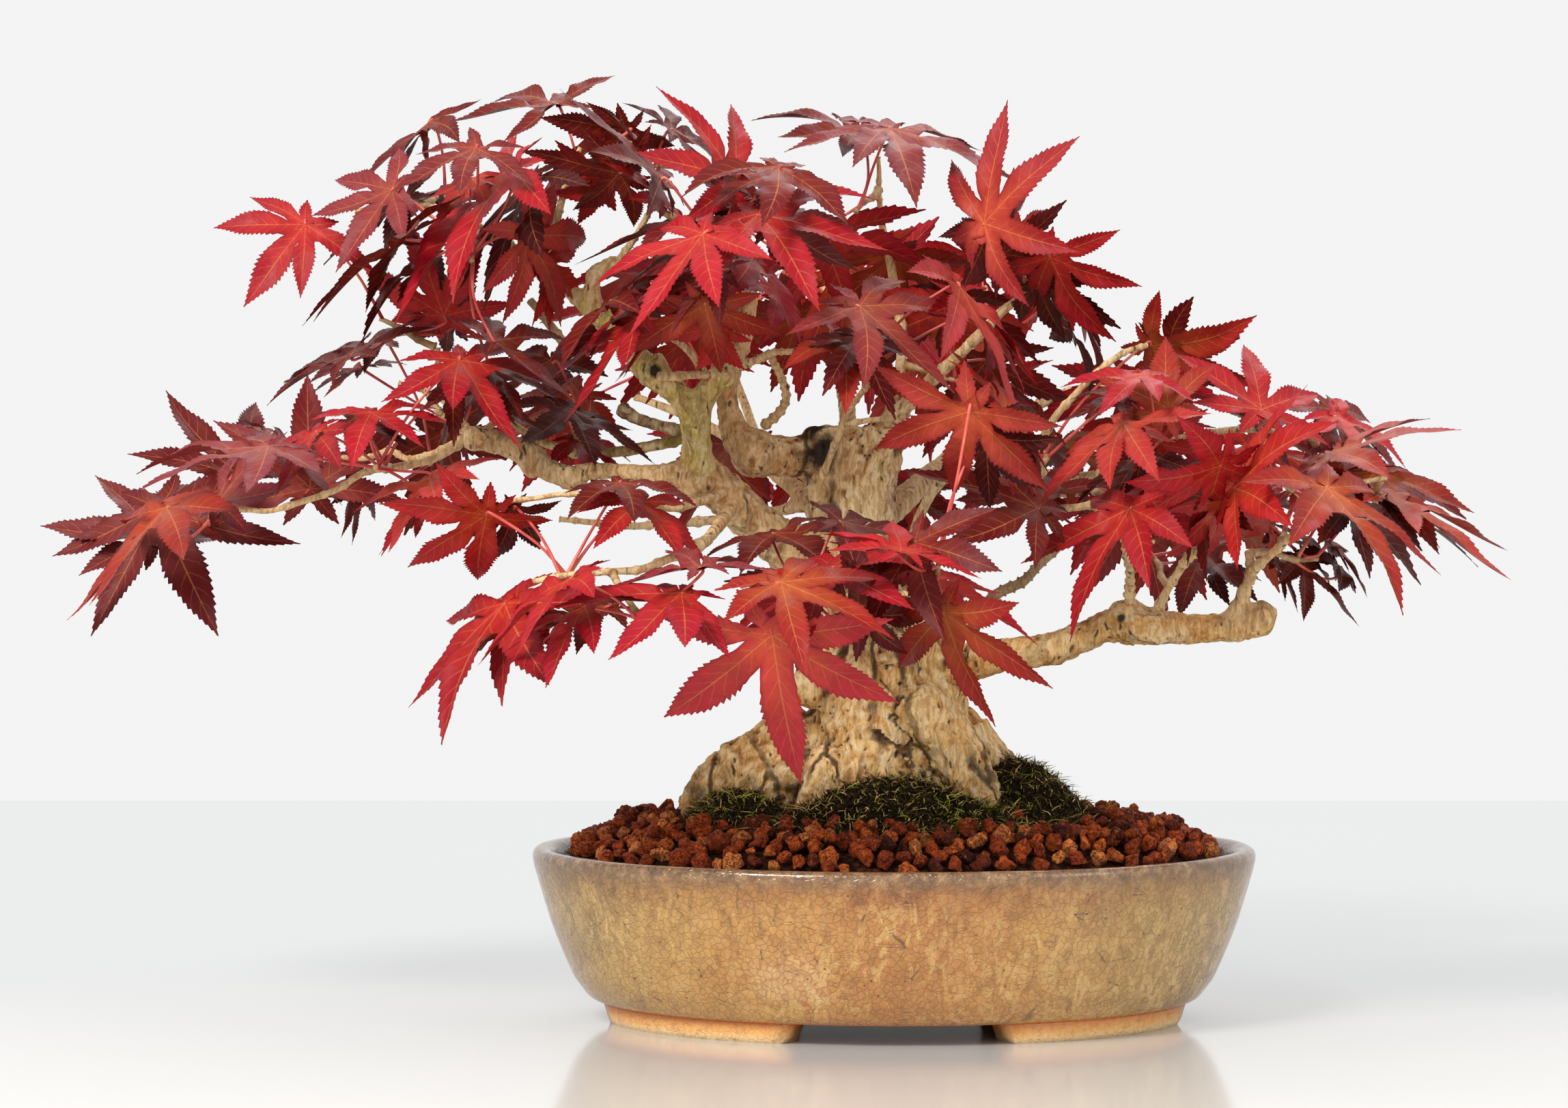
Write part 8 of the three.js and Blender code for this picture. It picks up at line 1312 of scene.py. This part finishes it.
# ---------------------------------------------------------------- leaves
ORDER = [5, 3, 1, 0, 2, 4, 6]
PAL = [((202, 16, 42), (212, 56, 38)), ((212, 30, 42), (226, 78, 40)), ((198, 44, 34), (206, 96, 40)), ((198, 72, 40), (196, 108, 44)),
       ((128, 18, 22), (156, 52, 24)), ((98, 14, 20), (116, 36, 22)), ((152, 44, 50), (174, 74, 56)), ((216, 56, 60), (228, 94, 58))]


def width(s, wmax):
    return wmax * 5.39 * (max(s, 0.0) ** 1.1) * (max(1 - s, 0.0) ** 1.35)


def lobe_leaf(leaf, idx, rg):
    p = np.array(leaf[0:3])
    n = np.array(leaf[3:6])
    n /= np.linalg.norm(n)
    tips = np.array(leaf[6:27]).reshape(7, 3)
    front = idx < FRONT
    V, F, UV = [], [], []          # UV per vertex: along, across
    o = [tips[i] for i in ORDER]
    Ls = [np.linalg.norm(t) for t in o]
    axis = tips[0] - n * (tips[0] @ n)
    axis /= max(np.linalg.norm(axis), 1e-6)
    V.append(n * 0.15)
    UV.append((0.0, 0.0))
    sin = []
    for k in range(6):
        a, b = o[k] / Ls[k], o[k + 1] / Ls[k + 1]
        m = a + b
        if np.linalg.norm(m) < 0.2:
            m = np.cross(n, a - b)
        m /= np.linalg.norm(m)
        sin.append(m * min(Ls[k], Ls[k + 1]) * (0.26 if min(Ls[k], Ls[k + 1]) > 12 else 0.40) + n * 0.25)
    # outer ends of the blade beside the petiole
    first = np.cross(n, o[0]) / Ls[0] * Ls[0] * 0.22 - axis * 0.5
    last = -np.cross(n, o[6]) / Ls[6] * Ls[6] * 0.22 - axis * 0.5
    bounds_ = [first] + sin + [last]
    sidx = []
    for sv in bounds_:
        V.append(sv)
        UV.append((0.28, 1.0))
        sidx.append(len(V) - 1)
    for k in range(7):
        T, L = o[k], Ls[k]
        if L < 1:
            continue
        side = np.cross(n, T)
        side /= max(np.linalg.norm(side), 1e-6)
        up = np.cross(T, side) / L * -1.0
        if up @ n < 0:
            up = -up
        major = ORDER[k] < 5
        N = (30 if major else 12) if front else (18 if major else 8)
        wmax = L * ((0.142 if L < 30 else 0.120) if major else 0.18) * rg.uniform(0.9, 1.14)
        arch = L * rg.uniform(0.02, 0.075)
        curl = rg.uniform(-0.05, 0.16) * L
        sway = rg.normal() * 0.035 * L
        s0 = 0.26
        ss = [s0 + (1 - s0) * j / N for j in range(N + 1)]
        def mid(s):
            return T * s + up * (arch * 4 * s * (1 - s)) + side * (sway * math.sin(math.pi * s)) - up * (curl * 2.2 * s * s * (1 - s))
        mi = []
        for j, s in enumerate(ss[:-1]):
            V.append(mid(s))
            UV.append((s, 0.0))
            mi.append(len(V) - 1)
        V.append(mid(1.0))
        UV.append((1.0, 0.0))
        tipi = len(V) - 1
        for sg, si in ((1, sidx[k]), (-1, sidx[k + 1])):
            hi, ei = [], []
            off0 = V[si] - mid(s0)
            wave = rg.uniform(0, 6.28)
            fold = rg.uniform(0.16, 0.48)
            for j, s in enumerate(ss[:-1]):
                if j == 0:
                    ei.append(si)
                    V.append(V[si] * 0.5 + mid(s0) * 0.5 + up * (0.05 * wmax))
                    UV.append((s, 0.5))
                    hi.append(len(V) - 1)
                    continue
                w = width(s, wmax)
                b = math.exp(-(((s - s0) / 0.085) ** 2))
                tooth = 1.0
                fwd = 0.0
                if j % 2 == 1:
                    tooth = 1.0 + (0.10 if L < 30 else 0.075) + rg.uniform(-0.04, 0.05)
                    fwd = 0.75 * (1 - s0) / N
                else:
                    tooth = 0.93 + rg.uniform(-0.03, 0.03)
                base = mid(s)
                e = base + T * fwd + (side * sg * w * tooth) * (1 - b) + off0 * b + up * (w * fold + 0.10 * w * math.sin(wave + s * 16))
                V.append(e)
                UV.append((min(s + fwd, 1), 1.0))
                ei.append(len(V) - 1)
                V.append(base + (e - base) * 0.52 + up * (0.07 * w) - T * fwd * 0.3)
                UV.append((s, 0.5))
                hi.append(len(V) - 1)
            for j in range(N - 1):
                a = (mi[j], mi[j + 1], hi[j + 1], hi[j])
                c = (hi[j], hi[j + 1], ei[j + 1], ei[j])
                F.append(a if sg < 0 else a[::-1])
                F.append(c if sg < 0 else c[::-1])
            a = (mi[-1], tipi, hi[-1])
            c = (hi[-1], tipi, ei[-1])
            F.append(a if sg < 0 else a[::-1])
            F.append(c if sg < 0 else c[::-1])
            a = (0, mi[0], hi[0])
            c = (0, hi[0], si)
            F.append(a if sg < 0 else a[::-1])
            F.append(c if sg < 0 else c[::-1])
    return [p + v for v in V], F, UV


def understory():
    """smaller leaves behind the crowded parts of the canopy, mostly given the darker palette entries as painted shade:
    shoot -> list of leaves
    """
    rg = np.random.default_rng(41)
    P = np.array([l[:3] for l in LEAVES[:FRONT]])
    out = {}
    for si, (start, hub, ids, att) in enumerate(SHOOTS):
        for i in ids:
            if i >= FRONT:
                continue
            p = P[i]
            near = (np.linalg.norm((P - p)[:, [0, 2]], axis=1) < 34).sum() - 1
            if near < 4 or not (p[2] > 150 or p[0] > 62 or p[0] < -88) or abs(p[0] - 4) > 140 or p[2] > 222:
                continue
            l = list(LEAVES[i])
            a = math.radians(rg.uniform(25, 60) * rg.choice([-1, 1]))
            n = np.array(l[3:6])
            n = n / np.linalg.norm(n)
            t = np.array(l[6:27]).reshape(7, 3)
            t = t * math.cos(a) + np.cross(n, t) * math.sin(a) + np.outer(t @ n, n) * (1 - math.cos(a))
            t = t * rg.uniform(0.62, 0.8)
            t[:, 2] -= 0.12 * np.linalg.norm(t, axis=1)
            q = p + np.array([rg.uniform(-7, 7), rg.uniform(9, 15), rg.uniform(-9, 1)])
            # the pick leans to the darker palette entries: painted shade for leaves behind the crowd
            out.setdefault(si, []).append([*q, *n, *t.ravel(), int(rg.choice([0, 4, 4, 5, 1]))])
    return out


def build_shoots():
    rg = np.random.default_rng(9)
    UNDER = understory()
    for si, (start, hub, ids, att) in enumerate(SHOOTS):
        V, F, M, UV, T1, T2 = [], [], [], [], [], []
        def put(v, f, mat, uv=None, c1=(0.5, 0.3, 0.2), c2=(0.5, 0.3, 0.2)):
            o = len(V)
            V.extend(v)
            F.extend([tuple(i + o for i in q) for q in f])
            M.extend([mat] * len(f))
            UV.extend(uv or [(0.5, 0.5)] * len(v))
            T1.extend([c1] * len(v))
            T2.extend([c2] * len(v))
        s, h, a = np.array(start), np.array(hub), np.array(att[:3])
        d = h - s
        L = np.linalg.norm(d)
        dd = d / max(L, 1e-6)
        root = a + (s - a) * 0.55
        side = np.cross(dd, rg.normal(size=3))
        side /= max(np.linalg.norm(side), 1e-6)
        pts = catmull([[*root, 1.05], [*(s + d * 0.3 + side * 0.03 * L), 0.85], [*(s + d * 0.65 - side * 0.03 * L), 0.75], [*(h + dd * 0.9), 0.55]], 5)
        for i in range(len(pts)):
            if i % 5 == 0:
                pts[i, 3] *= 1.3
        v, f = tube(pts, 9)
        put(v, f, 2)
        step = min(2.4, L / (len(ids) + 1))
        more = UNDER.get(si, [])
        step = min(step, L / (len(ids) + len(more) + 1))
        for k, (i, leaf) in enumerate([(i, LEAVES[i]) for i in ids] + [(FRONT, l) for l in more]):
            p = np.array(leaf[0:3])
            n = np.array(leaf[3:6])
            hk = h - dd * step * k
            ax = np.array(leaf[6:9])
            ax = ax - n * (ax @ n)
            ax /= max(np.linalg.norm(ax), 1e-6)
            sgn = -1.0 if (hk - p) @ n > 0 else 1.0
            q1 = p - n * sgn * 1.2 - ax * 1.6
            q2 = q1 + (hk - q1) * 0.5 - ax * min(3.0, np.linalg.norm(hk - q1) * 0.10) - np.array([0, 0, 0.04 * np.linalg.norm(hk - q1)])
            pt = catmull([[*p, 0.42], [*q1, 0.40], [*q2, 0.36], [*hk, 0.52]], 5)
            v, f = tube(pt, 7)
            put(v, f, 1)
            c1, c2 = PAL[leaf[27]]
            j = rg.uniform(0.72, 1.10)
            c1 = np.array(srgb(*c1)) * j * 0.62 * np.array([1, rg.uniform(0.75, 1.3), rg.uniform(0.8, 1.2)])
            c2 = np.array(srgb(*c2)) * rg.uniform(0.85, 1.15) * 0.68 * np.array([1, rg.uniform(0.85, 1.2), 1])
            v, f, uv = lobe_leaf(leaf, i, rg)
            put(v, f, 0, uv, tuple(c1), tuple(c2))
        name = "leaf_shoot_%02d" % (si + 1)
        ob = new_mesh(name + "_leaves", V, F, True, [MAT_LEAF, MAT_PET, MAT_TWIG], M)
        me = ob.data
        lay = me.uv_layers.new(name="lobe")
        vi = np.empty(len(me.loops), int)
        me.loops.foreach_get("vertex_index", vi)
        lay.data.foreach_set("uv", np.array(UV, np.float32)[vi].ravel())
        add_attr(ob, "tint", np.array(T1))
        add_attr(ob, "core", np.array(T2))
        finish_piece(ob, "leaf", name)


build_shoots()

# ---------------------------------------------------------------- the CAD pieces that stay
STAY = {"drainage_mesh": plastic_material(), "mesh_clip": wire_material("clip_aluminium", srgb(170, 172, 176), srgb(214, 216, 218)), "tie_wire": wire_material("brown_tie_wire", srgb(96, 66, 42), srgb(142, 104, 70)), "drainage_layer": MAT_PUMICE, "soil_mass": MAT_SOIL}
for nm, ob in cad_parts.items():
    for key, mat in STAY.items():
        if nm.startswith(key) and ob.type == "MESH":
            if not ob.material_slots:
                ob.data.materials.append(mat)
            for sl in ob.material_slots:
                sl.material = mat

# ---------------------------------------------------------------- stage, light, camera
fm = bpy.data.meshes.new("floor")
fm.from_pydata([(-3 + SX, -3 + SY, 0), (3 + SX, -3 + SY, 0), (3 + SX, 0.67 + SY, 0), (-3 + SX, 0.67 + SY, 0)], [], [(0, 1, 2, 3)])
fm.materials.append(floor_material())
floor = bpy.data.objects.new("floor", fm)
bpy.context.scene.collection.objects.link(floor)

world = bpy.data.worlds.new("white")
bpy.context.scene.world = world
world.use_nodes = True
world.node_tree.nodes["Background"].inputs[0].default_value = (1, 1, 1, 1)
world.node_tree.nodes["Background"].inputs[1].default_value = 0.90


def area(name, loc, target, size, power, color=(1, 1, 1)):
    l = bpy.data.lights.new(name, "AREA")
    l.shape = "RECTANGLE"
    l.size, l.size_y = size
    l.energy = power
    l.color = color
    o = bpy.data.objects.new(name, l)
    o.location = loc
    o.rotation_euler = (Vector(target) - Vector(loc)).to_track_quat("-Z", "Y").to_euler()
    bpy.context.scene.collection.objects.link(o)


area("key", (SX - 0.7, SY - 1.0, 1.15), (SX, SY, 0.12), (0.5, 0.4), 21, (1.0, 0.97, 0.93))
area("fill", (SX + 1.1, SY - 0.8, 0.7), (SX, SY, 0.12), (0.5, 0.7), 3)
area("back", (SX + 0.2, SY + 0.9, 1.0), (SX, SY, 0.15), (0.9, 0.3), 5)

cam = bpy.data.cameras.new("camera")
cam.lens = 117.0
cam.sensor_width = 36.0
cam.clip_start = 0.01
cam.clip_end = 50
co = bpy.data.objects.new("camera", cam)
co.location = (SX - 0.0281, SY - 1.3, 0.1634)
co.rotation_euler = (math.radians(90 - 1.969), 0, 0)
bpy.context.scene.collection.objects.link(co)
bpy.context.scene.camera = co
bpy.context.scene.view_settings.view_transform = "Standard"
